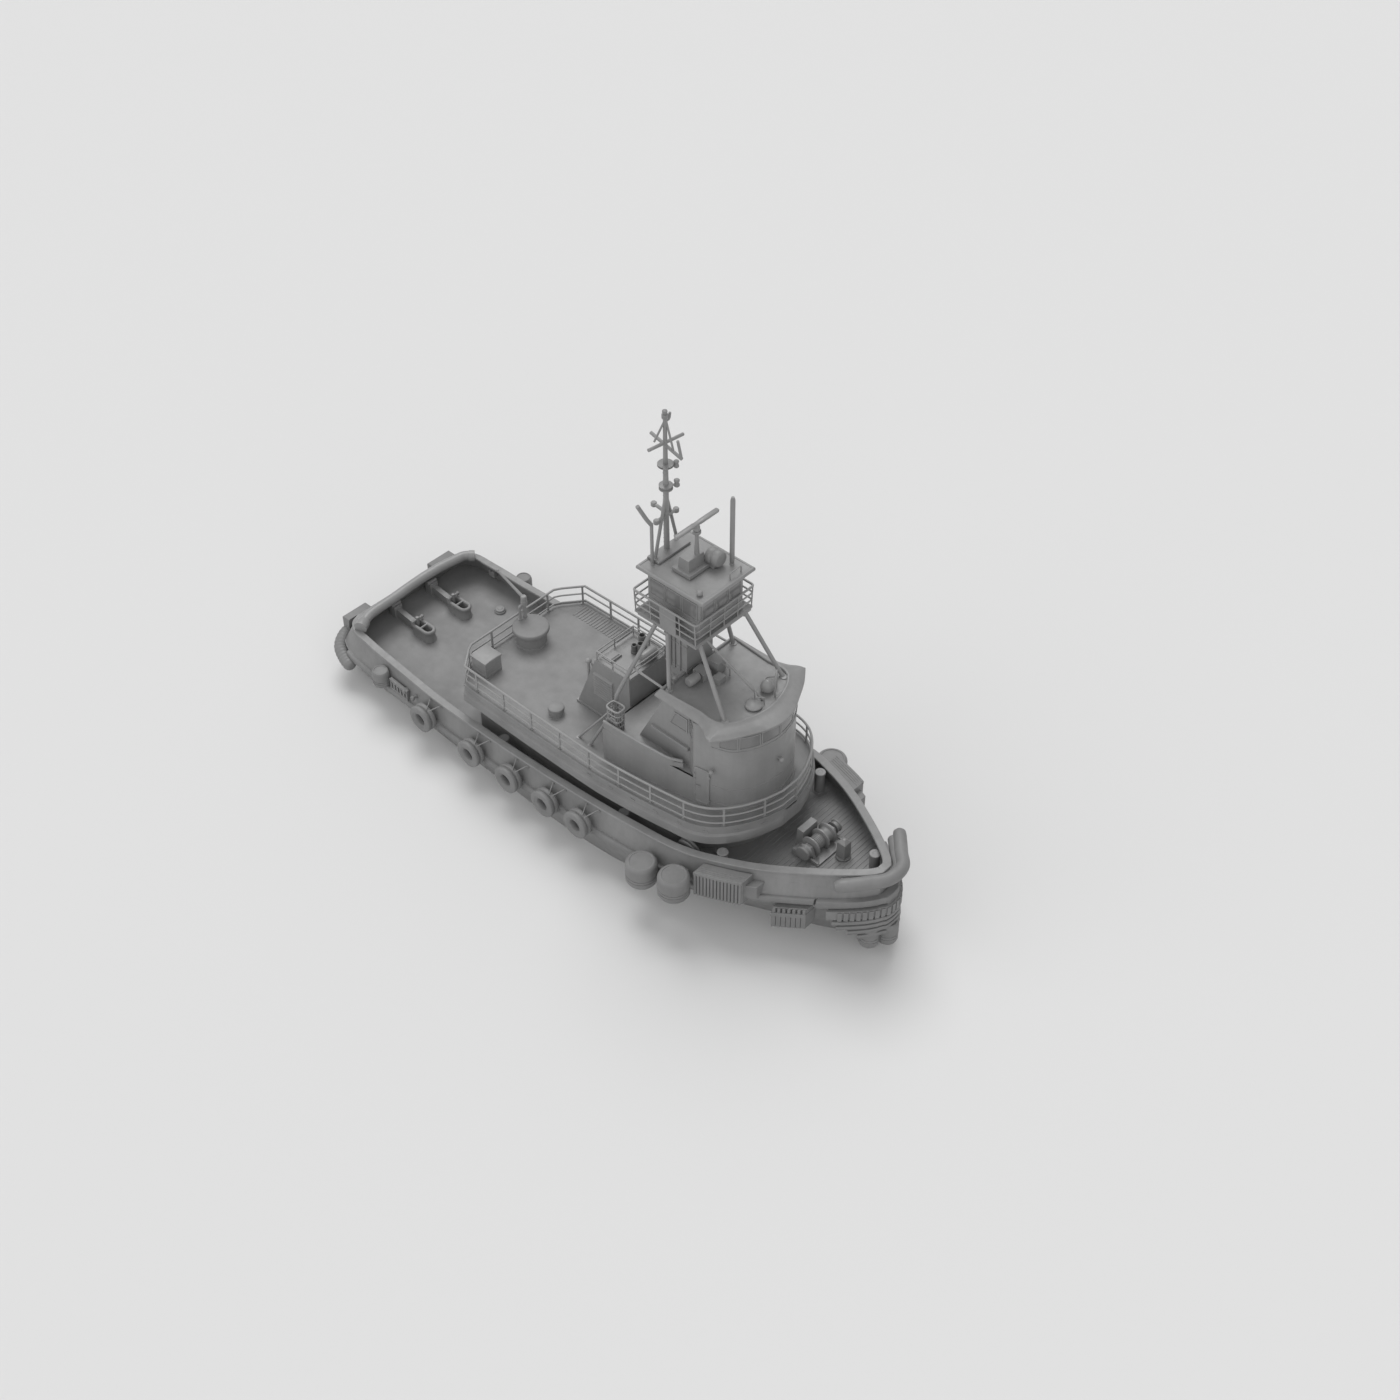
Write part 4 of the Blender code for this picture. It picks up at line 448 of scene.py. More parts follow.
# x, keel z, bilge half, bilge z, waterline half, its z, half at the deck, x of the cap, half at the cap
hullLines = curveThrough([
    (-14.05, -0.20, 2.20, -0.10, 3.00, 0.45, 3.15, -13.66, 2.84),
    (-13.75, -0.30, 2.50, -0.15, 3.25, 0.35, 3.62, -13.48, 3.28),
    (-13.20, -0.42, 2.70, -0.22, 3.35, 0.20, 3.88, -13.06, 3.58),
    (-12.00, -0.75, 2.90, -0.45, 3.42, 0.00, 3.98, -12.00, 3.74),
    (-10.00, -1.35, 3.00, -0.95, 3.50, 0.00, 4.06, -10.00, 3.86),
    (-7.50, -2.10, 3.05, -1.60, 3.68, 0.00, 4.14, -7.50, 4.02),
    (-4.00, -2.60, 3.10, -2.05, 3.80, 0.00, 4.20, -4.00, 4.07),
    (0.00, -2.70, 3.15, -2.10, 3.88, 0.00, 4.22, 0.00, 4.09),
    (4.00, -2.65, 2.75, -1.95, 3.55, 0.00, 4.20, 4.00, 4.02),
    (7.00, -2.50, 1.90, -1.75, 2.60, 0.00, 4.00, 7.00, 3.80),
    (8.20, -2.40, 1.40, -1.62, 2.10, 0.00, 3.66, 8.20, 3.43),
    (9.50, -2.25, 0.95, -1.50, 1.52, 0.00, 3.20, 9.50, 2.92),
    (11.20, -1.70, 0.42, -1.00, 0.92, 0.10, 2.29, 11.20, 2.00),
    (12.30, -0.75, 0.15, -0.35, 0.42, 0.45, 1.60, 12.30, 1.31),
    (12.90, 0.35, 0.08, 0.60, 0.25, 1.10, 1.14, 12.90, 0.89),
    (13.30, 1.45, 0.06, 1.60, 0.18, 1.90, 0.78, 13.30, 0.56),
    (13.60, 2.45, 0.05, 2.52, 0.10, 2.65, 0.42, 13.55, 0.24),
], steps=4)

boatDeckLevel = 4.0
stem = 13.72
strake = {"height": 0.34, "depth": 0.16}
bulwark = {"height": 1.05, "thickness": 0.10, "cap": 0.34, "capThickness": 0.09}


def capHeight(x):
    t = x / 14.0
    return 2.69 + 0.91 * t + 0.91 * t * t - 0.08 * t ** 3


def deckHeight(x):
    return capHeight(x) - bulwark["height"]


def boatDeckHeight(x):
    # level aft, rising from x 2 to the front
    return boatDeckLevel + 0.57 * max(0.0, x - 2.0) / 6.86


def deckHalf(x):
    return readLine([(s[0], s[6]) for s in hullLines], x)


def strakeHeight(x):
    return deckHeight(x) - strake["height"] / 2 - 0.02


# ---- hull, bulwark and main deck

skeg = {"aft": -9.2, "front": 6.5, "half": 0.16, "bottom": -3.15}
propeller = {"x": -11.55, "y": 1.60, "z": -1.95, "hub": 0.19, "blades": 4}
rudder = {"x": -12.75, "y": 1.60, "top": -1.00, "bottom": -2.95, "fore": 0.42, "aft": 0.98, "stock": 0.09}
# x, half-breadth, height above the deck
bollards = ((-3.65, 3.50, 0.85), (3.20, 3.45, 0.85), (7.93, 2.89, 1.05))


def hullSection(station):
    x, keel, bilgeHalf, bilge, waterHalf, water, deck = station[:7]
    top = deckHeight(x)
    curve = curveThrough([(0.0, keel), (bilgeHalf * 0.55, keel + 0.3 * (bilge - keel)), (bilgeHalf, bilge),
                          (waterHalf, water), (deck, top - strake["height"] - 0.05)], steps=4)
    half = [(x, y, z) for y, z in curve] + [(x, deck, top)]
    return [(px, -py, pz) for px, py, pz in half[:0:-1]] + half


def bollardShapes(x, y, height):
    base = deckHeight(x)
    profile = [(0.27, -0.05), (0.27, 0.03), (0.205, 0.05), (0.20, height - 0.12), (0.225, height - 0.11),
               (0.225, height - 0.02), (0.205, height), (0.10, height), (0.09, height - 0.01)]
    return [lathe(profile, (x, y, base), sides=28)]


def makeHull():
    shapes = [loft([hullSection(s) for s in hullLines])]
    aft, front, half, bottom = skeg["aft"], skeg["front"], skeg["half"], skeg["bottom"]
    shapes.append(loft([[(x, -half, low), (x, half, low), (x, half, -1.9), (x, -half, -1.9)] for x, low in (
        (aft, bottom + 0.25), (aft + 1.2, bottom), (front - 1.5, bottom), (front, bottom + 0.5))]))
    for side in (-1, 1):
        y, z = side * propeller["y"], propeller["z"]
        shapes.append(lathe([(0.16, propeller["x"] + 0.34), (0.17, propeller["x"] + 0.40), (0.17, -7.0)],
                            (0, y, z), "x", 24))
        shapes.append(box((propeller["x"] + 0.50, y - 0.06, z), (propeller["x"] + 0.88, y + 0.06, -0.6)))
        shapes.append(lathe([(0.17, rudder["top"] + 0.16), (0.17, -0.1)], (rudder["x"], y, 0), sides=24))
    makePiece("hullShell", shapes, "hullPaint", replaces=["hull"])


# places are x, y; the king post's sections are half-width and height above the deck
fittings = {"bowBollard": (12.52, 0.60, 0.85), "kingPost": (11.18, 0.41), "capstan": (-10.34, 2.48),
            "postSections": ((0.21, 0.0), (0.19, 0.86), (0.19, 0.86), (0.05, 1.0)),
            "boxes": ((-12.1, 0.34), (-8.6, 0.40))}  # x and length along the port bulwark


def squareRound(x, y, half):
    return (x - half, x + half, y - half, y + half)


def makeDeckFittings():
    shapes = []
    for side in (-1, 1):
        for x, y, height in bollards:
            shapes += bollardShapes(x, side * y, height)
    shapes += bollardShapes(*fittings["bowBollard"])
    x, y = fittings["kingPost"]
    base = deckHeight(x)
    shapes.append(lathe([(0.30, -0.05), (0.30, 0.10), (0.28, 0.12)], (x, y, base), sides=28))
    sections = fittings["postSections"]
    for (wide, low), (slim, high) in (sections[:2], sections[2:]):
        shapes.append(tapered(squareRound(x, y, wide), squareRound(x, y, slim), base + low, base + high))
    x, y = fittings["capstan"]
    profile = [(0.27, -0.05), (0.27, 0.05), (0.25, 0.08), (0.22, 0.09), (0.22, 0.14), (0.19, 0.16),
               (0.12, 0.16), (0.10, 0.18)]
    shapes.append(lathe(profile, (x, y, deckHeight(x)), sides=28))
    for x, long in fittings["boxes"]:
        y, z = bulwarkFace(x, 0.55)
        shapes.append(box((x, y - 0.30, z - 0.12), (x + long, y - 0.08, z + 0.16)))
    makePiece("deckFittings", shapes, "hullPaint", bevel=0.008, angle=30)


treads = {"from": 8.10, "to": 13.0, "spacing": 0.215}


def makeMainDeck():
    # a thin painted plate on the hull's top, with treads athwart the foredeck
    plate = []
    for s in hullLines:
        x, half = s[0] + (0.03 if s is hullLines[0] else 0.0), max(0.05, s[6] - 0.13)
        z = deckHeight(x)
        plate.append([(x, -half, z - 0.02), (x, half, z - 0.02), (x, half, z + 0.004), (x, -half, z + 0.004)])
    makePiece("mainDeckPaint", [loft(plate)], "deckPaint")
    strips, x = [], treads["from"]
    while x < treads["to"]:
        half = deckHalf(x) - 0.24
        low, high = deckHeight(x) - 0.01, deckHeight(x) + 0.024
        strips.append(loft([[(x - 0.028, y, low), (x + 0.028, y, low), (x + 0.018, y, high),
                             (x - 0.018, y, high)] for y in (-half, half)]))
        x += treads["spacing"]
    makePiece("foredeckTreads", strips, "deckPaint")


def bulwarkPlans():
    return mirrored([(s[0], s[6]) for s in hullLines]), mirrored([(s[7], s[8]) for s in hullLines])


def makeBulwark():
    base, top = bulwarkPlans()
    web, webInner = inset(top, 0.06), inset(top, 0.06 + bulwark["thickness"])
    foot, footInner = inset(base, 0.02), inset(base, 0.02 + bulwark["thickness"])
    ease = 0.025
    capIn, capEase = inset(top, bulwark["cap"]), inset(top, ease)
    capInEase = inset(top, bulwark["cap"] - ease)
    rings = []
    for i, place in enumerate(top):
        above = capHeight(place[0])
        below = above - bulwark["capThickness"]
        floor = deckHeight(base[i][0])
        section = ((foot, floor), (web, below), (top, below), (top, above - ease), (capEase, above),
                   (capInEase, above), (capIn, above - ease), (capIn, below), (webInner, below),
                   (footInner, floor))
        rings.append([(plan[i][0], plan[i][1], z) for plan, z in section])
    makePiece("bulwarkAndCap", [loft(rings, loop=True)], "hullPaint", replaces=["bulwark"], angle=30)


def bulwarkFace(x, share):
    # half-breadth and height on the bulwark's outside, share of the way from the deck to the cap
    low, high = deckHalf(x) - 0.02, readLine([(s[7], s[8]) for s in hullLines], x) - 0.06
    return low + (high - low) * share, deckHeight(x) + share * (bulwark["height"] - bulwark["capThickness"])


# ---- rubber along the sides

tyres = {"at": (-7.68, -4.64, -2.35, -0.20, 1.69), "radius": 0.62, "depth": 0.50, "lift": 0.29, "hole": 0.26}


def fatTyre(radius, depth, hole, centre, side=1):
    # two fat ribs side by side with a groove between them, and a rounded bead round the hole
    rib = depth / 2
    profile = [(hole + 0.05, 0.03), (hole + 0.09, 0.0), (radius - 0.16, 0.0), (radius - 0.07, 0.02)]
    for start in (0.0, rib):
        for k in range(7):
            angle = pi * k / 6
            profile.append((radius - 0.05 + 0.05 * sin(angle) ** 0.7,
                            start + rib / 2 - cos(angle) * (rib / 2 - 0.025)))
        profile.append((radius - 0.075, start + rib))
    profile = profile[:-1] + [(radius - 0.07, depth - 0.02), (radius - 0.16, depth), (hole + 0.13, depth),
                              (hole + 0.10, depth - 0.035), (hole + 0.05, depth - 0.04), (hole, depth - 0.09),
                              (hole, 0.08)]
    return lathe([(r, side * h) for r, h in profile], centre, "y", 40, ring=True)


def makeSideFender(side, word):
    rings = []
    for s in hullLines:
        x = s[0]
        if not -13.31 < x < 12.01:
            continue
        half, middle = s[6] - 0.01, strakeHeight(x)
        tall, deep = strake["height"] / 2, strake["depth"]
        section = [(half, -tall)]
        for k in range(9):
            angle = pi * (k / 8 - 0.5)
            reach = 0.55 + 0.45 * cos(angle) if 0 < k < 8 else 0.45
            section.append((half + deep * reach, tall * sin(angle) * 0.98))
        section.append((half, tall))
        rings.append([(x, side * y, middle + z) for y, z in section])
    shapes = [loft(rings)]
    for x in tyres["at"]:
        centre = (x, side * (deckHalf(x) + strake["depth"] - 0.08), strakeHeight(x) + tyres["lift"])
        shapes.append(fatTyre(tyres["radius"], tyres["depth"], tyres["hole"], centre, side))
    makePiece("strakeAndTyres_" + word, shapes, "fenderRubber", replaces=["side_fender_" + word], angle=50)
    # a pair of slim rods from each tyre up to the cap, and their lugs
    lugs = []
    for x in tyres["at"]:
        lowY, lowZ = deckHalf(x) + 0.30, strakeHeight(x) + tyres["lift"] + tyres["radius"] - 0.03
        for shift in (-0.05, 0.62):
            highY, highZ = bulwarkFace(x + shift, 0.97)
            foot = (x + 0.25 + shift * 0.2, side * lowY, lowZ - 0.02)
            lugs.append(rod(foot, (x + shift + 0.1, side * (highY + 0.03), highZ), 0.022, 8))
            lugs.append(sideBox(side, (x + shift + 0.04, x + shift + 0.16), (highY, highY + 0.06),
                                (highZ - 0.10, highZ)))
    makePiece("tyreLugs_" + word, lugs, "hullPaint")


# upright barrels outside the strake; "on" says which sides have one, and y comes from the frame's box
barrels = {
    "aft": {"x": -10.60, "radius": 0.38, "top": 2.28, "height": 0.78, "on": (-1, 1)},
    "middle": {"x": 5.50, "radius": 0.64, "top": 2.75, "height": 1.06, "on": (-1,)},
    "forward": {"x": 7.08, "radius": 0.64, "top": 3.05, "portTop": 2.35, "height": 1.06, "on": (-1, 1)},
}


def barrelShape(x, y, radius, top, height):
    # a cylinder with a bevelled lid and two moulded grooves near its foot
    bottom = top - height
    profile = [(radius * 0.70, bottom), (radius * 0.93, bottom + 0.04), (radius, bottom + 0.13)]
    for groove in (0.30, 0.44):
        z = bottom + height * groove
        profile += [(radius, z - 0.03), (radius - 0.03, z - 0.015), (radius - 0.03, z + 0.015),
                    (radius, z + 0.03)]
    profile += [(radius, top - 0.20), (radius * 0.985, top - 0.13), (radius * 0.93, top - 0.06),
                (radius * 0.84, top - 0.01), (radius * 0.80, top), (radius * 0.74, top - 0.005),
                (radius * 0.71, top - 0.03), (radius * 0.30, top - 0.03)]
    return lathe(profile, (x, y, 0), sides=44)


def makeBarrels():
    for side, word in sides:
        for label, size in barrels.items():
            if side not in size["on"]:
                continue
            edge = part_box(f"barrel_fender_{label}_{word}")[side > 0][1]
            y = edge - side * (size["radius"] + 0.002)
            top = size["top"] if side < 0 else size.get("portTop", size["top"])
            shapes = [barrelShape(size["x"], y, size["radius"], top, size["height"])]
            if size["radius"] > 0.5:
                # the bracket that holds it off the strake
                inner = deckHalf(size["x"]) + 0.02
                for z in (top - 0.30, top - 0.75):
                    shapes.append(sideBox(side, (size["x"] - 0.10, size["x"] + 0.10), (inner, side * y),
                                          (z - 0.04, z + 0.04)))
            makePiece(f"barrelFender_{label}_{word}", shapes, "fenderRubber", angle=30,
                      replaces=[f"barrel_fender_{label}_{word}"])


blockFender = {"x0": 7.66, "x1": 9.55, "out": 0.46, "top": 1.03, "bottom": -0.22, "ribs": 14}
louvreFender = {"x0": 10.50, "x1": 11.66, "out": 0.34, "top": -0.28, "bottom": -1.36, "straps": 7}
slatFender = {"x0": -10.15, "x1": -9.00, "out": 0.10, "top": 0.72, "bottom": 0.10, "straps": 5}


def sideSlab(side, x0, x1, top, bottom, out, back):
    # a slab that follows the side, from behind the deck's edge outwards; heights are from the strake's middle
    rings = []
    count = max(2, round((x1 - x0) / 0.12))
    for i in range(count + 1):
        x = x0 + (x1 - x0) * i / count
        middle, half = strakeHeight(x), deckHalf(x)
        corners = ((out, top), (out, bottom), (-back, bottom), (-back, top))
        rings.append([(x, side * (half + y), middle + z) for y, z in corners])
    return loft(rings)


def makeBlockFender(side, word):
    size = blockFender
    x0, x1, out, top, bottom = size["x0"], size["x1"], size["out"], size["top"], size["bottom"]
    shapes = [sideSlab(side, x0, x1, top, bottom, out - 0.07, 0.20)]
    shapes.append(sideSlab(side, x1 - 0.2, x1 + 0.42, top - 0.30, bottom + 0.30, out - 0.20, 0.20))
    step = (x1 - x0) / size["ribs"]
    for i in range(size["ribs"]):
        shapes.append(sideSlab(side, x0 + step * i + 0.022, x0 + step * (i + 1) - 0.022, top - 0.12,
                               bottom + 0.01, out, -out + 0.12))
    shapes.append(sideSlab(side, x0, x1, top, top - 0.14, out, -out + 0.12))
    for k in range(4):
        edge = 0.10 * k
        shapes.append(sideSlab(side, x0 + 0.04, x1 - 0.04, top + 0.02, top - 0.04, out - 0.07 - edge,
                               -out + 0.13 + edge))
    makePiece("blockFender_" + word, shapes, "fenderRubber", replaces=["block_fender_" + word], bevel=0.018)


def makeLouvreFender(side, word):
    size = louvreFender
    x0, x1, out, top, bottom = size["x0"], size["x1"], size["out"], size["top"], size["bottom"]
    step, bar = (x1 - x0) / size["straps"], top - 0.26
    shapes = [sideSlab(side, x0 + 0.02, x1 - 0.02, top - 0.02, bottom + 0.10, out - 0.16, 0.30),
              sideSlab(side, x0, x1, bar, bar - 0.20, out, 0.30),
              sideSlab(side, x0, x1, top, top - 0.07, out - 0.10, 0.30)]
    for i in range(size["straps"]):
        middle = x0 + step * (i + 0.5)
        shapes.append(sideSlab(side, middle - 0.045, middle + 0.045, top - 0.03, bar - 0.1, out - 0.04, 0.20))
        shapes.append(sideSlab(side, middle - step * 0.44, middle + step * 0.44, bar - 0.17, bottom,
                               out - 0.03, 0.20))
    makePiece("louvreFender_" + word, shapes, "fenderRubber", replaces=["louvre_fender_" + word], bevel=0.015)


def makeSlatFender(side, word):
    size = slatFender
    x0, x1, out, top, bottom = size["x0"], size["x1"], size["out"], size["top"], size["bottom"]
    shapes = [sideSlab(side, x0, x1, top, top - 0.13, out, 0.05),
              sideSlab(side, x0, x1, bottom + 0.16, bottom, out, 0.05)]
    for i in range(size["straps"] + 1):
        middle = x0 + 0.05 + (x1 - x0 - 0.10) * i / size["straps"]
        shapes.append(sideSlab(side, middle - 0.055, middle + 0.055, top - 0.02, bottom + 0.05, out - 0.01,
                               0.05))
    for x in (x1 - 0.16, x1 + 0.42):
        y, z = bulwarkFace(x, 0.46)
        shapes.append(lathe([(0.10, 0.0), (0.10, side * 0.08), (0.06, side * 0.10), (0.06, side * 0.20),
                             (0.11, side * 0.22), (0.11, side * 0.29), (0.07, side * 0.31)],
                            (x, side * (y - 0.03), z), "y", 20))
    makePiece("slatFender_" + word, shapes, "fenderRubber", replaces=["slat_fender_" + word], bevel=0.012)


# ---- the stern

sternPad = {"face": -14.05, "inner": 1.82, "outer": 3.14, "top": 2.44, "bottom": 0.35, "out": 0.40}
sternRoll = {"radius": 0.295, "ribs": 15,
             "line": [(-14.17, 2.86, 1.72), (-14.12, 3.36, 1.62), (-13.84, 3.84, 1.42), (-13.30, 4.08, 1.22),
                      (-12.72, 4.18, 1.08)]}


def makeStern(side, word):
    # the upright pad on the transom, with rounded corners
    face, low, high = sternPad["face"], sternPad["bottom"], sternPad["top"]
    out = face - sternPad["out"]
    outline = [(face, low), (out + 0.12, low)]
    for cx, cz, first in ((out + 0.15, low + 0.17, 270), (out + 0.17, high - 0.17, 180)):
        for k in range(5):
            angle = radians(first - 22.5 * k)
            outline.append((cx + 0.15 * cos(angle), cz + 0.16 * sin(angle)))
    outline += [(face + 0.10, high - 0.01), (face + 0.06, 1.90), (face, 1.55)]
    y0, y1 = sorted((side * sternPad["inner"], side * sternPad["outer"]))
    rings = []
    for y, shrink in ((y0, 0.10), (y0 + 0.03, 0.03), (y0 + 0.10, 0.0), (y1 - 0.10, 0.0), (y1 - 0.03, 0.03),
                      (y1, 0.10)):
        bottom, top = low + shrink, high - shrink
        rings.append([(max(x, out + shrink), y, min(max(z, bottom), top)) for x, z in outline])
    makePiece("sternPad_" + word, [loft(rings)], "fenderRubber", replaces=["stern_pad_" + word], angle=50)
    # the ribbed roll round the corner
    line = [(x, side * y, z) for x, y, z in sternRoll["line"]]
    path = curveThrough(line, steps=16)
    sizes = []
    for i in range(len(path)):
        t = i / (len(path) - 1)
        ribbed = abs(sin(t * pi * sternRoll["ribs"])) ** 0.5
        ends = min(1.0, (min(t, 1 - t) * 14) ** 0.5 * 0.5 + 0.5)
        sizes.append(sternRoll["radius"] * (0.90 + 0.10 * ribbed) * ends)
    makePiece("sternRoll_" + word, [tube(path, sizes, 20)], "fenderRubber", replaces=["stern_corner_" + word],
              angle=60)


towTube = {"radius": 0.22, "line": [(-12.80, -3.36, 2.84), (-12.96, -3.02, 2.86), (-13.12, -2.60, 2.86),
                                     (-13.18, -2.10, 2.86), (-13.20, 2.55, 2.86), (-13.10, 2.98, 2.86),
                                     (-12.80, 3.30, 2.84)]}


def makeTowTube():
    line, radius = towTube["line"], towTube["radius"]
    path = curveThrough(line[:4], steps=5)[:-1] + curveThrough(line[3:], steps=5)
    shapes = [tube(path, radius, 24)]
    start, end = Vector(line[0]), Vector(line[1])
    along = end - start
    shapes.append(tube([start - along * 0.10, start + along * 0.95, start + along * 1.15],
                       [radius + 0.075, radius + 0.06, radius + 0.01], 24))
    end, before = Vector(line[-1]), Vector(line[-2])
    shapes.append(tube([before + (end - before) * 0.45, end + (end - before) * 0.06], radius + 0.035, 24))
    makePiece("towTube", shapes, "pipePaint", replaces=["tow_tube"], bevel=0.015)


towBitt = {"x": -11.58, "y": 1.06, "shift": 0.14, "top": 2.12, "reach": 0.34}


def stadium(x, y, reach, radius, z):
    # a ring at height z with straight sides and round ends
    ring = []
    for end in (1, -1):
        for k in range(12):
            angle = pi * (k / 11 - 0.5 * end)
            ring.append((x + end * reach + radius * cos(angle), y + radius * sin(angle), z))
    return ring


def makeTowBitt(side, word):
    b = towBitt
    x, y, top = b["x"], side * b["y"] + b["shift"], b["top"]
    deck = deckHeight(x) - 0.02
    shapes = []
    # flared stand under a rounded ring
    stand = ((0.33, deck), (0.29, deck + 0.10), (0.25, top - 0.24), (0.27, top - 0.16), (0.15, top - 0.16),
             (0.14, top - 0.30), (0.14, deck + 0.10))
    shapes.append(loft([stadium(x, y, b["reach"], radius, z) for radius, z in stand]))
    ring = []
    for k in range(12):
        angle = 2 * pi * k / 12
        ring.append(stadium(x, y, b["reach"], 0.235 + 0.085 * cos(angle), top - 0.10 + 0.10 * sin(angle)))
    shapes.append(loft(ring, loop=True))
    # the arm to the block at the stern
    rings = []
    for px, half, z in ((x - 1.85, 0.12, deck + 0.62), (x - 0.45, 0.13, top - 0.14)):
        rings.append([(px, y - half, deck), (px, y + half, deck), (px, y + half, z), (px, y - half, z)])
    shapes.append(loft(rings))
    shapes.append(box((x - 2.02, y - 0.22, deck), (x - 1.66, y + 0.22, deck + 0.74)))
    shapes.append(lathe([(0.10, -0.25), (0.10, 0.25)], (x - 1.84, y, deck + 0.74), "y", 24))
    # the upright pin with its cross bar and knobs
    px = x - 0.38
    shapes.append(lathe([(0.10, -0.25), (0.09, 0.02), (0.08, 0.12), (0.08, 0.24), (0.05, 0.25)], (px, y, top),
                        sides=24))
    shapes.append(lathe([(0.055, -0.26), (0.055, 0.26)], (px, y, top + 0.13), "y", 20))
    for end in (-1, 1):
        ball = [(0.085 * sin(pi * k / 8) + 0.004, -0.085 * cos(pi * k / 8)) for k in range(9)]
        shapes.append(lathe(ball, (px, y + end * 0.27, top + 0.13), "y", 20))
    shapes.append(lathe([(0.05, -0.24), (0.05, 0.24)], (x + 0.02, y, top - 0.06), "y", 20))
    makePiece("towBitt_" + word, shapes, "hullPaint", replaces=["tow_bitt_" + word], bevel=0.012)


# ---- the bow

bowTube = {"radius": 0.264,
           "line": [(14.00, 0.0, 4.44), (13.93, 0.40, 4.42), (13.40, 1.02, 4.32), (12.68, 1.84, 4.24)]}
bowBarrels = ((13.42, -0.60), (13.42, 0.60), (13.83, 0.0))  # x, y
bowBarrel = {"radius": 0.42, "bottom": 0.62, "top": 1.70}
# top below the deck, height, half-length aft, thickness
bowStrips = ((0.02, 0.38, 1.95, 0.24), (0.46, 0.50, 1.60, 0.33), (1.02, 0.22, 1.42, 0.36),
             (1.28, 0.22, 1.28, 0.37), (1.54, 0.22, 0.95, 0.38), (1.80, 0.22, 0.66, 0.40))


def makeBowTube():
    half = bowTube["line"]
    line = [(x, -y, z) for x, y, z in half[:0:-1]] + half
    path = curveThrough(line, steps=7)
    count = len(path)
    first, last = Vector(path[0]), Vector(path[-1])
    path = ([first + (first - Vector(path[1])).normalized() * 0.12] + path
            + [last + (last - Vector(path[-2])).normalized() * 0.12])
    ends = [0.55 if i in (0, count + 1) else 0.93 if i in (1, count) else 1.0 for i in range(count + 2)]
    shapes = [tube(path, [bowTube["radius"] * e for e in ends], 24)]
    saddle = [(x - 0.14, y * 0.90, z - 0.17) for x, y, z in path[2:-2]]
    shapes.append(tube(saddle, 0.235, 20))
    makePiece("bowTube", shapes, "fenderRubber", replaces=["bow_tube_fender"], angle=50)


def bowOutline(reach, out):
    # plan round the stem, out from the deck's edge
    start = stem + 0.03 - reach
    half = [(start, deckHalf(start))] + [(s[0], s[6]) for s in hullLines if s[0] > start + 0.02]
    plan = []
    for (x, y), (nx, ny) in zip(half, half[1:] + [(half[-1][0] + 0.02, half[-1][1] - 0.10)]):
        outward = Vector((y - ny, nx - x)).normalized()
        plan.append((x + outward.x * out, y + outward.y * out))
    tip = plan[-1]
    for k in range(1, 5):
        t = k / 5
        plan.append((tip[0] + (stem + out - tip[0]) * sin(t * pi / 2), tip[1] * cos(t * pi / 2)))
    return plan + [(stem + out, 0.0)]


def makeBowFender():
    shapes = []
    for drop, height, reach, out in bowStrips:
        plan, slim, inside = (mirrored(bowOutline(reach, out - less)) for less in (0.0, 0.025, 0.10))
        shapes.append(loft([onPlan(p, lambda x, d=d: deckHeight(x) - d)
                            for p, d in ((inside, drop + height), (slim, drop + height - 0.02),
                                         (plan, drop + height - 0.07), (plan, drop + 0.07),
                                         (slim, drop + 0.02), (inside, drop))]))
    # the row of blocks on the deep band
    outline = mirrored(bowOutline(1.50, 0.34))
    for here, along in alongLine(outline[2:-2], 0.235, 0.10):
        z, wide = deckHeight(here.x), 0.085
        corners = [here + along * a + outOf(along) * o for a, o in (
            (-wide, -0.05), (wide, -0.05), (wide, 0.045), (-wide, 0.045))]
        shapes.append(prism([(c.x, c.y) for c in corners], z - 0.94, z - 0.50))
    # what joins the strips and the barrels in front of the stem
    aft, fore = 13.1, 13.95
    shapes.append(loft([[(aft, -h, z), (fore, -h * 0.6, z), (fore, h * 0.6, z), (aft, h, z)] for h, z in (
        (0.35, 1.35), (0.5, 3.2))]))
    makePiece("bowFender", shapes, "fenderRubber", replaces=["bow_fender"], bevel=0.014)
    b = bowBarrel
    shapes = [barrelShape(x, y, b["radius"], b["top"], b["top"] - b["bottom"]) for x, y in bowBarrels]
    makePiece("bowBarrels", shapes, "fenderRubber", angle=30)


makeHull()
makeDeckFittings()
makeMainDeck()
makeBulwark()
for side, word in sides:
    makeSideFender(side, word)
    makeBlockFender(side, word)
    makeLouvreFender(side, word)
    makeSlatFender(side, word)
    makeStern(side, word)
    makeTowBitt(side, word)
makeBarrels()
makeTowTube()
makeBowTube()
makeBowFender()
print("hull, deck and rubber made")


# ---- boat deck, its rail and ventilators

# a row of alike things, here and below, is given by how many, where the first one is, and how far apart
boatDeck = {"half": [(-6.66, 2.40), (-6.48, 2.72), (-5.80, 3.56), (-2.00, 3.62), (2.00, 3.60), (4.40, 3.50),
                     (5.60, 3.40), (6.70, 3.25), (7.35, 2.96), (7.95, 2.40), (8.62, 1.25), (8.86, 0.45)],
            "plate": 0.12, "apron": 0.85, "aftApron": 0.36, "grating": (17, -5.60, 0.16)}
rails = {"radius": 0.042, "heights": (0.16, 0.55, 0.95), "post": 0.042, "spacing": 1.62}  # post is half a width
# x, y, cap radius, cap height, trunk radius, trunk height
ventilators = ((-5.73, 0.22, 0.79, 0.20, 0.65, 0.64), (-1.76, -2.21, 0.34, 0.16, 0.30, 0.25),
               (-2.22, 0.92, 0.48, 0.20, 0.42, 0.40))


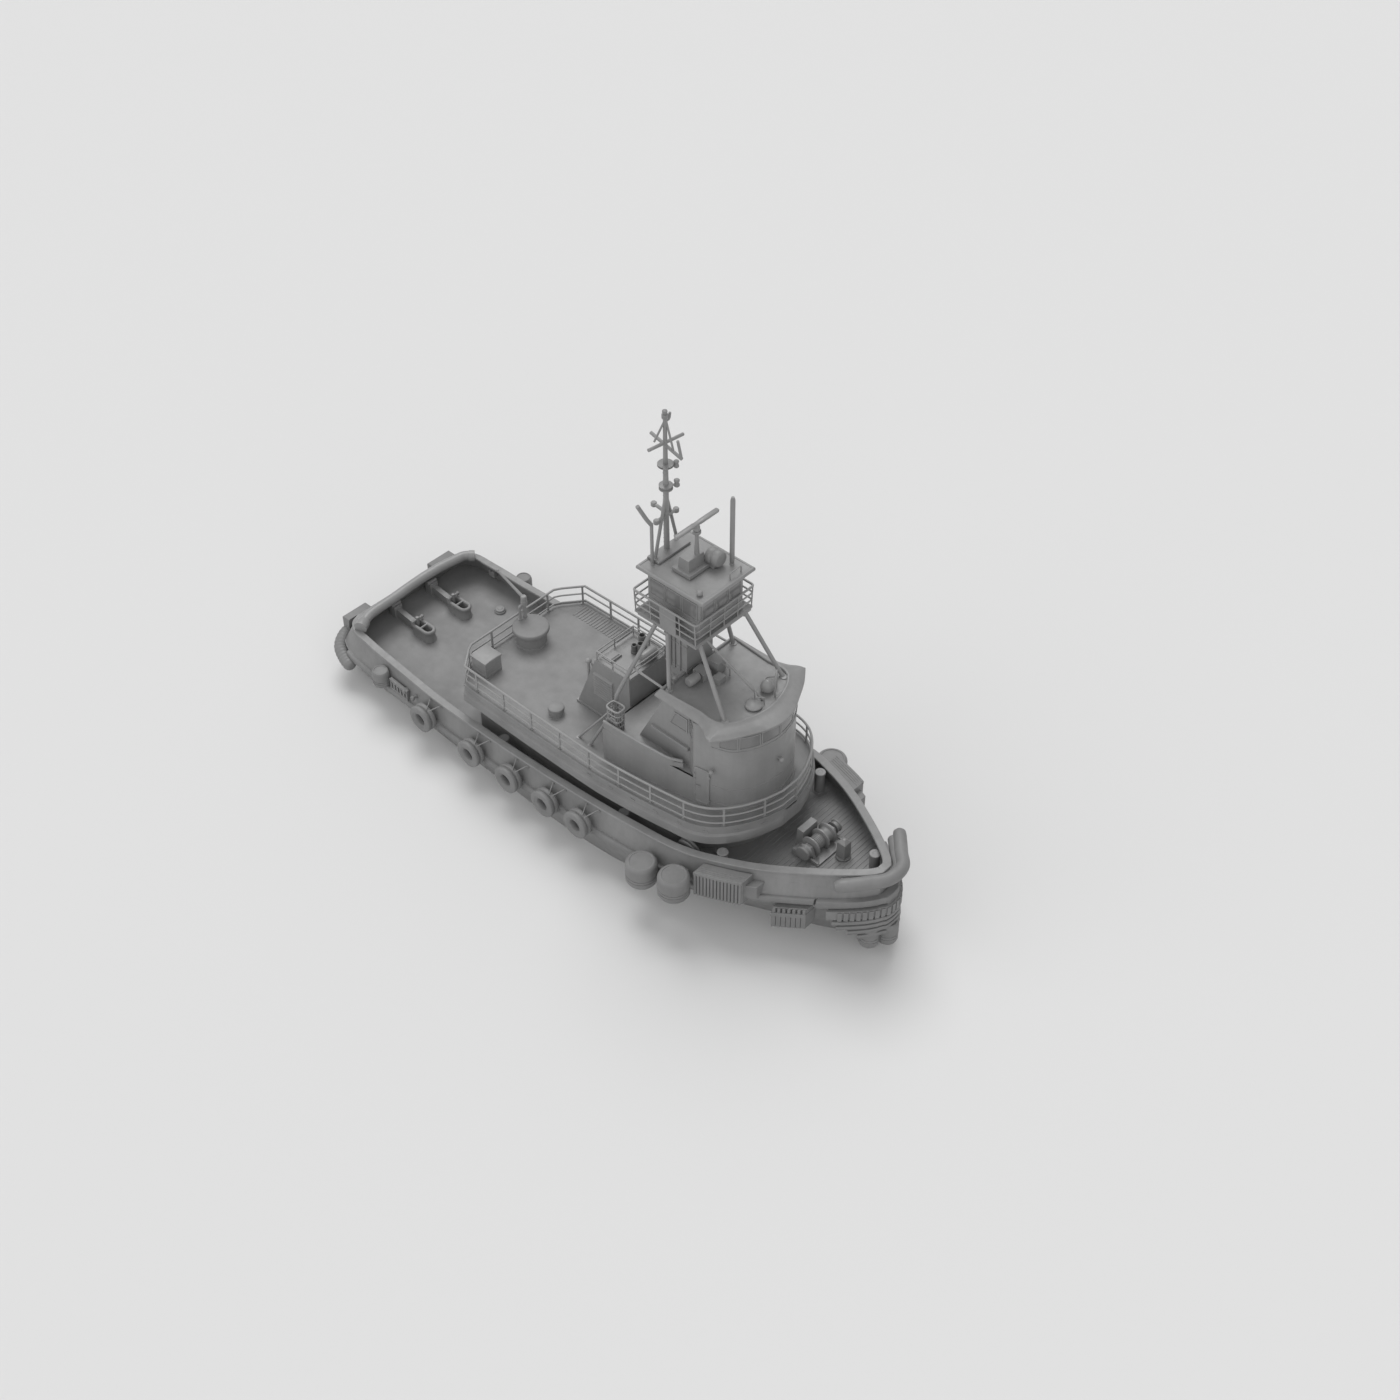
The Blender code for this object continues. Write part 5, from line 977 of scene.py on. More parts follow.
def smoothHalf(points, straight, steps=5):
    # the first points stay as straight stretches and the rest become one curve
    return [tuple(p) for p in points[:straight]] + curveThrough(points[straight:], steps=steps)


def boatDeckHalf():
    return smoothHalf(boatDeck["half"], 3, 4)


def ventilatorShapes(x, y, radius, height, trunk, rise):
    foot, neck = boatDeckLevel, boatDeckLevel + rise
    profile = [(trunk + 0.05, foot - 0.02), (trunk + 0.05, foot + 0.03), (trunk, foot + 0.04),
               (trunk, neck - 0.10), (trunk + 0.02, neck - 0.09), (trunk + 0.02, neck - 0.04),
               (radius - 0.03, neck - 0.03), (radius - 0.01, neck), (radius, neck + 0.02),
               (radius, neck + height * 0.40)]
    for k in range(1, 8):
        t = k / 8
        profile.append((radius * (1 - 0.10 * t * t), neck + height * (0.40 + 0.52 * sin(t * pi / 2))))
    profile += [(radius * 0.60, neck + height * 0.98), (radius * 0.2, neck + height)]
    shapes = [lathe(profile, (x, y, 0), sides=44)]
    for k in range(12):
        angle = 2 * pi * k / 12 + 0.2
        px, py = x + (trunk + 0.03) * cos(angle), y + (trunk + 0.03) * sin(angle)
        shapes.append(lathe([(0.018, foot), (0.018, foot + 0.05)], (px, py, 0), sides=6))
    return shapes


def makeBoatDeck():
    half = boatDeckHalf()
    rings = []
    for x, y in half:
        h = boatDeckHeight(x)
        port = [(y - 0.14, h - boatDeck["plate"]), (y - 0.14, h - boatDeck["apron"]),
                (y + 0.08, h - boatDeck["apron"]), (y + 0.10, h - boatDeck["apron"] + 0.02),
                (y + 0.10, h - 0.44), (y + 0.08, h - 0.42), (y, h - 0.36), (y, h - 0.06),
                (y + 0.035, h - 0.05), (y + 0.035, h + 0.03), (y - 0.02, h + 0.035), (y - 0.03, h)]
        rings.append([(x, -py, pz) for py, pz in port[::-1]] + [(x, py, pz) for py, pz in port])
    shapes = [loft(rings)]
    for (x, y), reach, depth in ((half[0], 0.14, boatDeck["aftApron"]), (half[-1], -0.14, boatDeck["apron"])):
        low, high = sorted((x, x + reach))
        h = boatDeckHeight(x)
        shapes.append(box((low, 0.145 - y, h - depth), (high, y - 0.145, h - 0.05)))
    # the drain scuppers and lashing pads in the apron's upper band
    line = [(x, -y) for x, y in half][6:-2]
    for here, along in alongLine(line, 1.15, 0.5):
        h = boatDeckHeight(here.x) - 0.22
        out = outOf(along)
        a, b = here - along * 0.10, here + along * 0.10
        for side in (-1, 1):
            shapes.append(loft([[(p.x + out.x * o, side * -(p.y + out.y * o), z) for p, o in (
                (a, -0.02), (b, -0.02), (b, 0.03), (a, 0.03))] for z in (h - 0.03, h + 0.03)]))
    # planks of the grating along the port aft edge
    count, first, spacing = boatDeck["grating"]
    for i in range(count):
        x = first + i * spacing
        shapes.append(box((x, 2.55, boatDeckLevel), (x + 0.07, 3.30, boatDeckLevel + 0.022)))
    for vent in ventilators:
        shapes += ventilatorShapes(*vent)
    makePiece("boatDeckAndVentilators", shapes, "deckPaint", replaces=["boat_deck"], angle=32)


def makeBoatDeckRail():
    plan = inset(mirrored(boatDeckHalf()), 0.10)
    shapes = []
    for height in rails["heights"]:
        thick = rails["radius"] * (1.2 if height == rails["heights"][-1] else 0.9)
        shapes.append(tube([(x, y, boatDeckHeight(x) + height) for x, y in plan], thick, 10, closed=True))
    for here, along in alongLine(plan + plan[:1], rails["spacing"], 0.4):
        foot, w = boatDeckHeight(here.x), rails["post"]
        for size, high in ((w, rails["heights"][-1] + 0.02), (w * 2.1, 0.025)):
            corners = [here + along * a * size + outOf(along) * b * size for a, b in (
                (-1, -0.6), (1, -0.6), (1, 0.6), (-1, 0.6))]
            shapes.append(prism([(c.x, c.y) for c in corners], foot, foot + high))
    makePiece("boatDeckRail", shapes, "pipePaint", replaces=["boat_deck_rail"], angle=50)


# ---- the houses

deckhouse = {"half": [(-5.60, 3.02), (2.00, 3.04), (4.40, 2.95), (5.60, 2.80), (6.70, 2.30), (7.55, 1.45),
                      (7.95, 0.0)],
             "ports": (-4.3, -2.7, -0.6, 1.4, 3.4), "doorY": 1.35, "doorWidth": 0.76, "doorHeight": 1.92,
             "sill": 0.16}
houseFront = [(5.86, 2.28), (6.62, 2.14), (7.35, 1.86), (7.86, 1.22), (8.08, 0.60), (8.16, 0.0)]
lowerHouse = {"aft": [(1.40, 2.68), (3.60, 2.52), (5.00, 2.38)], "top": 5.60, "cap": 5.95,
              "sideCap": [(1.43, 2.63), (4.07, 2.47), (4.70, 2.38), (5.20, 2.16)],
              "stiffeners": (1.9, 2.6, 3.3, 4.0)}
wheelhouse = {"aft": [(2.72, 1.95), (5.36, 1.95)], "aftTop": 4.12, "top": 8.50, "doorHalf": 0.45,
              "doorHeight": 2.0, "mouldings": ((7.62, 0.05), (5.62, 0.03))}
sideDoor = {"sill": 4.52, "height": 1.75, "width": 0.60}
wall = 0.09


def frontCurve():
    # the door's flat stretch, then one round front; both ends of the half plan
    half = [houseFront[0]] + curveThrough(houseFront[1:] + [(x, -y) for x, y in houseFront[-2:0:-1]], steps=6)
    return [p for p in half if p[1] >= -1e-6]


def wholeFront():
    half = frontCurve()
    return [(x, -y) for x, y in half] + [(x, y) for x, y in half[::-1][1:]]


def onDoorFacet(side, share):
    # a point of the flat stretch that holds the side door
    (x0, y0), (x1, y1) = houseFront[:2]
    a, b = Vector((x0, side * y0)), Vector((x1, side * y1))
    return tuple(a + (b - a) * share)


def frontWall(bottom, top, doorLow, doorHigh):
    # the round front from flat to flat, open at both side doors between two heights
    shapes = []
    length = (Vector(houseFront[1]) - Vector(houseFront[0])).length
    half = sideDoor["width"] / 2 / length
    line = wholeFront()
    cut = 0.5 + half
    first = [onDoorFacet(-1, cut)] + line[1:-1] + [onDoorFacet(1, cut)]
    shapes.append(wallStrip(first, wall, bottom, top))
    for side in (-1, 1):
        aft = [onDoorFacet(side, 0.0), onDoorFacet(side, 0.5 - half)][::-side]
        shapes.append(wallStrip(aft, wall, bottom, top))
        span = [onDoorFacet(side, 0.5 - half), onDoorFacet(side, cut)][::-side]
        if levelAt(bottom, houseFront[0][0]) < doorLow - 0.01:
            shapes.append(wallStrip(span, wall, bottom, doorLow))
        if doorHigh < top - 0.01:
            shapes.append(wallStrip(span, wall, doorHigh, top))
    return shapes


def makeDeckhouse():
    d = deckhouse
    x, (besideX, besideY) = d["half"][0][0], d["half"][-2]
    half = [d["half"][0]] + curveThrough(d["half"][1:] + [(besideX, -besideY)], steps=4)
    half = [p for p in half if p[1] > -1e-6]
    plan = mirrored(half)
    low, high = d["doorY"] - d["doorWidth"] / 2, d["doorY"] + d["doorWidth"] / 2

    def floor(at):
        return deckHeight(at) - 0.02

    def ceiling(at):
        return boatDeckHeight(at) - boatDeck["plate"] - 0.001
    line = [(x, low)] + [p for p in plan if p[1] < 0] + [p for p in plan if p[1] >= 0] + [(x, high)]
    shapes = [wallStrip(line, wall, floor, ceiling)]
    sill = deckHeight(x) + d["sill"]
    doorway = [(x, high), (x, low)]
    shapes.append(wallStrip(doorway, wall, floor, sill))
    shapes.append(wallStrip(doorway, wall, sill + d["doorHeight"], ceiling))
    # round ports with raised rims
    ports, panes = [], []
    rim = [(0.15, -0.02), (0.21, -0.02), (0.21, 0.025), (0.19, 0.04), (0.17, 0.04), (0.15, 0.02)]
    for side in (-1, 1):
        for px in d["ports"]:
            centre = (px, side * readLine(d["half"][:-1], px), deckHeight(px) + 1.35)
            ports.append(lathe([(r, side * h) for r, h in rim], centre, "y", 28, ring=True))
            panes.append(lathe([(0.155, side * -0.01), (0.155, side * 0.012)], centre, "y", 28))
    makePiece("deckhouseWalls", shapes, "housePaint", replaces=["deckhouse"], angle=30)
    makePiece("deckhousePortRims", ports, "pipePaint", angle=40)
    makePiece("deckhousePortPanes", panes, "paneGlass")


def makeLowerHouse():
    top, cap, aft = lowerHouse["top"], lowerHouse["cap"], lowerHouse["aft"]
    shapes = frontWall(boatDeckHeight, top, sideDoor["sill"], sideDoor["sill"] + sideDoor["height"])
    flank = curveThrough([(x, -y) for x, y in aft + houseFront[:1]], steps=4)
    x, y = aft[0]
    for line in (flank, [(px, -py) for px, py in flank][::-1], [(x, y), (x, -y)]):
        shapes.append(wallStrip(line, wall, boatDeckHeight, top))
    # the flat top outside the wheelhouse
    shapes.append(prism(inset(mirrored(aft + frontCurve()), 0.02), top - 0.08, top))
    # the low bulwark along each side of that top, with its round cap
    capLine = curveThrough(lowerHouse["sideCap"], steps=5)
    section = ((0.028, top - 0.05), (-0.028, top - 0.05), (-0.028, cap), (0.028, cap))
    for sign in (-1, 1):
        shapes.append(tube([(px, sign * py, cap) for px, py in capLine], 0.065, 16))
        shapes.append(loft([[(px, sign * (py + o), z) for o, z in section] for px, py in capLine]))
        # bracket at the forward end of the low bulwark
        ex, ey = lowerHouse["sideCap"][-1]
        shapes.append(loft([[(ex - 0.30, sign * (ey + 0.16), z), (ex + 0.02, sign * (ey - 0.02), z),
                             (ex + 0.05, sign * (ey + 0.04), z), (ex - 0.25, sign * (ey + 0.22), z)]
                            for z in (cap - 0.28, cap - 0.06)]))
        for px in lowerHouse["stiffeners"]:
            py = readLine(lowerHouse["sideCap"], px)
            shapes.append(sideBox(sign, (px - 0.02, px + 0.02), (py - 0.12, py), (top, cap - 0.04)))
    # the kick band and the belt at the foot of the front
    for low, high, out in ((0.00, 0.10, 0.045), (0.34, 0.38, 0.022)):
        band = sideStep(wholeFront(), -out)[1:-1]
        shapes.append(wallStrip(band, out + 0.02, lambda px: boatDeckHeight(px) + low,
                                lambda px: boatDeckHeight(px) + high))
    makePiece("lowerHouse", shapes, "housePaint", replaces=["lower_house"], angle=30)


basket = {"x": (1.42, 2.12), "y": (-2.54, -2.02), "low": 5.60, "top": 6.72, "wheel": 6.02}


def makeBasket():
    (x0, x1), (y0, y1) = basket["x"], basket["y"]
    x, y = (x0 + x1) / 2, (y0 + y1) / 2
    reachX, reachY = (x1 - x0) / 2, (y1 - y0) / 2
    shapes = []

    def ringAt(z, scale):
        ring = []
        for k in range(32):
            c, s = cos(2 * pi * k / 32), sin(2 * pi * k / 32)
            ring.append((x + reachX * scale * abs(c) ** 0.55 * (1 if c > 0 else -1),
                         y + reachY * scale * abs(s) ** 0.55 * (1 if s > 0 else -1), z))
        return ring
    shapes.append(tube(ringAt(basket["top"] - 0.04, 0.94), 0.042, 10, closed=True))
    for z, scale in ((6.42, 0.93), (6.12, 0.90), (5.84, 0.86)):
        shapes.append(tube(ringAt(z, scale), 0.026, 10, closed=True))
    low, high = ringAt(basket["low"], 0.84), ringAt(basket["top"] - 0.04, 0.93)
    for k in range(0, 32, 2):
        shapes.append(rod(low[k], high[k], 0.020, 8))
    # the solid foot of the cage
    wallRings = [ringAt(basket["low"], 0.80), ringAt(basket["low"] + 0.20, 0.83)]
    inner = [[(x + (px - x) * 0.92, y + (py - y) * 0.92, z) for px, py, z in ring]
             for ring in wallRings[::-1]]
    shapes.append(loft(wallRings + inner, loop=True))
    # a spoked wheel on its outer side
    hubX, hubY, hubZ = x + 0.02, y0 + 0.06, basket["wheel"]
    for radius, thick in ((0.20, 0.03), (0.11, 0.022)):
        ring = [(radius + thick * cos(2 * pi * k / 8), thick * sin(2 * pi * k / 8)) for k in range(8)]
        shapes.append(lathe(ring, (hubX, hubY, hubZ), "y", 28, ring=True))
    for k in range(6):
        dx, dz = 0.2 * cos(pi * k / 6), 0.2 * sin(pi * k / 6)
        shapes.append(rod((hubX - dx, hubY, hubZ - dz), (hubX + dx, hubY, hubZ + dz), 0.012, 6))
    makePiece("ropeBasket", shapes, "pipePaint", angle=50)


sidePane = {"x0": 4.40, "x1": 5.22, "bottom": 7.38, "top": 8.00, "slant": 0.26, "flareBottom": 7.55}
sideLedge = {"x0": 3.45, "x1": 5.36, "bottom": 6.48, "top": 6.66, "out": 0.12}
# from and to along the front's plan in metres from its middle, bottom, top
frontPanes = ((-2.52, -1.86, 7.80, 8.34), (-1.74, -0.98, 7.82, 8.36), (-0.86, -0.06, 7.84, 8.38),
              (0.06, 0.86, 7.84, 8.38), (0.98, 1.74, 7.82, 8.36), (1.86, 2.52, 7.80, 8.34))
frontLamps = ((-2.80, 6.47), (-0.04, 6.58))  # along the front from its middle, height


def framedPane(corner, across, out, width, height, border=0.05, proud=0.03, slantAft=0.0):
    # a pane in a raised frame on a flat upright wall; slantAft leans its first edge
    corner, across, out = (Vector(v) for v in (corner, across, out))
    up = Vector((0, 0, 1))

    def outline(grow):
        return [corner - across * grow - up * grow, corner + across * (width + grow) - up * grow,
                corner + across * (width + grow) + up * (height + grow),
                corner + across * (slantAft - grow) + up * (height + grow)]
    outer, inner = outline(border), outline(0.0)
    rings = [[tuple(p + out * -0.01) for p in outer], [tuple(p + out * proud) for p in outer],
             [tuple(p + out * proud) for p in inner], [tuple(p + out * -0.01) for p in inner]]
    frameShape = loft(rings, loop=True)
    pane = loft([[tuple(p + out * o) for p in outline(0.01)] for o in (-0.005, proud * 0.35)])
    return frameShape, pane


def curvedPane(line, start, end, bottom, top):
    # a framed pane bent to the round front, by arc length from its middle
    border, proud = 0.045, 0.028
    points = [Vector(p) for p in line]
    lengths = [0.0]
    for a, b in zip(points, points[1:]):
        lengths.append(lengths[-1] + (b - a).length)
    middle = lengths[-1] / 2

    def at(s, out):
        s = s + middle
        i = max(1, min(len(points) - 1, int(np.searchsorted(lengths, s))))
        t = (s - lengths[i - 1]) / max(1e-9, lengths[i] - lengths[i - 1])
        along = (points[i] - points[i - 1]).normalized()
        return points[i - 1].lerp(points[i], t) + outOf(along) * out

    def band(s0, s1, z0, z1, outFace):
        rings = []
        for k in range(9):
            s = s0 + (s1 - s0) * k / 8
            (ix, iy), (ox, oy) = at(s, -0.02), at(s, outFace)
            rings.append([(ix, iy, z0), (ox, oy, z0), (ox, oy, z1), (ix, iy, z1)])
        return loft(rings)
    bars = ((start - border, end + border, bottom - border, bottom),
            (start - border, end + border, top, top + border), (start - border, start, bottom, top),
            (end, end + border, bottom, top))
    return [band(*bar, proud) for bar in bars], band(start, end, bottom, top, proud * 0.3)


def makeWheelhouse():
    top, low = wheelhouse["top"], lowerHouse["top"]
    doorHigh = sideDoor["sill"] + sideDoor["height"]
    shapes = frontWall(low, top, low - 1.0, doorHigh)
    (ax, ay), (bx, by) = wheelhouse["aft"]
    lean = wheelhouse["aftTop"] - ax
    for side in (-1, 1):
        # the straight side with its leaning aft edge, and the flare out to the front
        aftEdge, foreEdge = ((ax, low), (ax + lean, top)), ((bx, low), (bx, top))
        shapes.append(loft([[(x0, side * y, z0), (x1, side * y, z1), (x1, side * (y - wall), z1),
                             (x0, side * (y - wall), z0)]
                            for ((x0, z0), (x1, z1)), y in ((aftEdge, ay), (foreEdge, by))]))
        flare = curveThrough([(bx - 0.15, by), (bx, by), (bx + 0.25, by + 0.165), houseFront[0]], steps=4)
        shapes.append(wallStrip([(x, side * y) for x, y in flare][::-side], wall, low, top))
        bottom, ledgeTop, out = sideLedge["bottom"], sideLedge["top"], sideLedge["out"]
        section = ((-0.02, bottom), (out * 0.6, bottom), (out, bottom + 0.07), (out, ledgeTop),
                   (-0.02, ledgeTop))
        ends = sideLedge["x0"], sideLedge["x1"]
        shapes.append(loft([[(x, side * (by + o), z) for o, z in section] for x in ends]))
    # the aft wall either side of its doorway, and over it
    half, lintel = wheelhouse["doorHalf"], low + wheelhouse["doorHeight"]
    for y0, y1 in ((wall - ay, -half), (half, ay - wall)):
        shapes.append(loft([[(ax + o, y0, low), (ax + o, y1, low), (ax + lean + o, y1, top),
                             (ax + lean + o, y0, top)] for o in (0.0, wall)]))
    cut = wheelhouse["doorHeight"] / (top - low)
    shapes.append(loft([[(ax + o + lean * cut, -half, lintel), (ax + o + lean * cut, half, lintel),
                         (ax + o + lean, half, top), (ax + o + lean, -half, top)] for o in (0.0, wall)]))
    front = sideStep(wholeFront(), -0.018)[1:-1]
    for z, tall in wheelhouse["mouldings"]:
        shapes.append(wallStrip(front, 0.04, z, z + tall))
    makePiece("wheelhouseWalls", shapes, "housePaint", replaces=["wheelhouse"], angle=30)
    frames, panes = [], []
    def addPane(frameShapes, pane):
        frames.extend(frameShapes)
        panes.append(pane)

    for side in (-1, 1):
        p = sidePane
        frameShape, pane = framedPane((p["x0"], side * by, p["bottom"]), (1, 0, 0), (0, side, 0),
                                      p["x1"] - p["x0"], p["top"] - p["bottom"], slantAft=p["slant"])
        addPane([frameShape], pane)
        # the pane on the flare, between the side and the door
        z = p["flareBottom"]
        a, b = Vector((bx + 0.06, side * (by + 0.045), z)), Vector((5.82, side * 2.255, z))
        across = (b - a).normalized()
        out = Vector((across.y, -across.x, 0)) * (-side)
        frameShape, pane = framedPane(a + across * 0.03, across, out, (b - a).length - 0.06, 0.60)
        addPane([frameShape], pane)
    line = wholeFront()
    for span in frontPanes:
        addPane(*curvedPane(line, *span))
    makePiece("wheelhouseWindowFrames", frames, "housePaint", angle=40)
    makePiece("wheelhousePanes", panes, "paneGlass", angle=40)
    lampsOn = []
    points = [Vector(p) for p in line]
    total = sum((b - a).length for a, b in zip(points, points[1:]))
    for s, z in frontLamps:
        walked = 0.0
        for a, b in zip(points, points[1:]):
            if walked + (b - a).length >= total / 2 + s:
                break
            walked += (b - a).length
        along = (b - a).normalized()
        out = outOf(along)
        here = a + along * (total / 2 + s - walked)
        lampsOn.append(rod((here.x, here.y, z), (here.x + out.x * 0.10, here.y + out.y * 0.10, z), 0.05, 16))
        ball = [(0.10 * sin(pi * k / 10) + 0.002, -0.11 * cos(pi * k / 10)) for k in range(11)]
        lampsOn.append(lathe(ball, (here.x + out.x * 0.14, here.y + out.y * 0.14, z), sides=20))
    makePiece("frontLamps", lampsOn, "pipePaint", angle=50)


roof = {"eave": [(3.84, 2.24), (6.05, 2.28), (6.45, 2.42), (6.80, 2.64), (7.06, 2.72), (7.48, 2.17),
                 (7.95, 1.31), (8.26, 0.66), (8.38, 0.0)],
        "top": [(3.96, 2.06), (5.90, 1.93), (6.50, 1.98), (6.78, 1.93), (7.00, 1.83), (7.28, 1.44),
                (7.48, 0.95), (7.60, 0.50), (7.66, 0.0)],
        "soffit": 8.501, "lip": 8.61, "rim": 8.87, "floor": 8.77}
# x, y, radius, height
radomes = ((6.91, 0.66, 0.27, 0.54), (7.10, -0.32, 0.34, 0.22))
# path, bend, radius, sides
roofPipes = (
    ([(6.86, 0.02, 8.77), (6.86, 0.02, 9.22), (7.24, -0.34, 9.30)], 0.08, 0.028, 10),
    ([(7.30, 0.05, 8.77), (7.30, 0.05, 9.10), (7.12, -0.30, 9.22)], 0.08, 0.024, 10),
    ([(7.02, 1.06, 8.77), (7.02, 1.06, 9.62), (7.16, 0.86, 9.78), (7.34, 0.62, 9.62), (7.34, 0.62, 8.77)],
     0.14, 0.035, 12),
    ([(6.60, 0.95, 8.77), (6.60, 0.95, 9.05), (7.02, 1.06, 9.30)], 0.1, 0.026, 10),
    ([(4.9, 0.3, 9.2), (5.35, 0.3, 9.2), (5.35, 0.3, 8.80)], 0.1, 0.035, 10),
)
# x and y of the low corner, high corner
roofBoxes = ((4.30, -0.62, (4.86, -0.18, 9.12)), (4.42, 0.05, (4.98, 0.50, 9.30)),
             (5.05, -0.35, (5.40, 0.05, 9.02)))


def roofLine(half):
    # two curves that meet in a corner, the second one carried over the middle to its mirror point
    (x, y), corner = half[-2], 4
    return [half[0]] + curveThrough(half[1:corner + 1]) + curveThrough(half[corner:] + [(x, -y)])[1:]


def matchedHalves():
    # the eave and the top as curves with as many points each
    eaveLine, topLine = roofLine(roof["eave"]), roofLine(roof["top"])
    keep = [i for i, p in enumerate(eaveLine) if i < len(topLine) and p[1] > -1e-6]
    return [eaveLine[i] for i in keep], [topLine[i] for i in keep]


def makeWheelhouseRoof():
    eaveHalf, topHalf = matchedHalves()
    eave, top = mirrored(eaveHalf), mirrored([(x, max(0.0, y)) for x, y in topHalf])
    lip, rim = roof["lip"], roof["rim"]
    rings = [(inset(eave, 0.10), roof["soffit"]), (inset(eave, 0.005), lip - 0.05), (eave, lip - 0.03),
             (eave, lip + 0.02), (inset(eave, 0.02), lip + 0.045)]
    for t in (0.35, 0.7, 0.94):
        between = [(a[0] + (b[0] - a[0]) * t, a[1] + (b[1] - a[1]) * t) for a, b in zip(eave, top)]
        rings.append((between, lip + 0.045 + (rim - 0.02 - lip - 0.045) * t ** 0.85))
    rings += [(top, rim), (inset(top, 0.05), rim), (inset(top, 0.08), rim - 0.02),
              (inset(top, 0.09), roof["floor"])]
    shapes = [loft([onPlan(plan, z) for plan, z in rings])]
    makePiece("wheelhouseRoof", shapes, "housePaint", replaces=["wheelhouse_roof"], angle=30)
    shapes, floor = [], roof["floor"]
    for x, y, radius, height in radomes:
        profile = [(radius * 0.55, floor - 0.02), (radius * 0.60, floor + height * 0.12),
                   (radius * 0.94, floor + height * 0.20)]
        for k in range(10):
            t = k / 9
            profile.append((radius * cos(t * pi / 2.04), floor + height * (0.30 + 0.70 * sin(t * pi / 2))))
        shapes.append(lathe(profile, (x, y, 0), sides=36))
    # the searchlight's yoke and arms by the flat dome, and the hoop of the forward rail
    shapes += [bentPipe(*row) for row in roofPipes[:4]]
    # the boxes and pipes behind the trunk, under the gallery
    shapes += [box((x0, y0, floor), high) for x0, y0, high in roofBoxes]
    x, y = 4.62, -0.95
    shapes.append(lathe([(0.16, -0.28), (0.20, -0.22), (0.20, 0.22), (0.16, 0.28)], (x, y, floor + 0.25), "y",
                        24))
    shapes.append(rod((x, y, floor), (x, y, floor + 0.19), 0.08, 12))
    shapes.append(bentPipe(*roofPipes[4]))
    x, y = 4.08, -1.46
    shapes.append(rod((x, y, floor - 0.05), (x, y, floor + 0.29), 0.05, 12))
    cap = [(0.05, 0.0), (0.13, 0.03), (0.15, 0.12), (0.10, 0.20), (0.03, 0.23)]
    shapes.append(lathe(cap, (x, y, floor + 0.28), sides=20))
    makePiece("roofGear", shapes, "pipePaint", bevel=0.01, angle=40)


makeBoatDeck()
makeBoatDeckRail()
makeDeckhouse()
makeLowerHouse()
makeBasket()
makeWheelhouse()
makeWheelhouseRoof()
print("boat deck and houses made")


# ---- engine casing, stair trunk, legs and the upper house

casing = {"foot": (-1.65, 1.399, -1.10, 1.12), "top": (-0.55, 1.30, -1.05, 1.12), "low": boatDeckLevel,
          "high": 6.93, "louvres": (9, 5.15, 0.13), "steps": (3, 4.32, 0.34), "vent": (-1.06, -0.95)}
# x, y, height, radius
exhausts = ((0.30, 0.75, 0.62, 0.15), (0.52, 0.45, 0.50, 0.15), (0.30, 0.30, 0.40, 0.12))


def railRing(x0, x1, y0, y1, z, bend, radius, sides):
    # a pipe round a rectangle, with rounded corners
    corners = [(x0, 0, z), (x0, y0, z), (x1, y0, z), (x1, y1, z), (x0, y1, z), (x0, 0.001, z)]
    return tube(filleted(corners, bend)[:-1], radius, sides, closed=True)


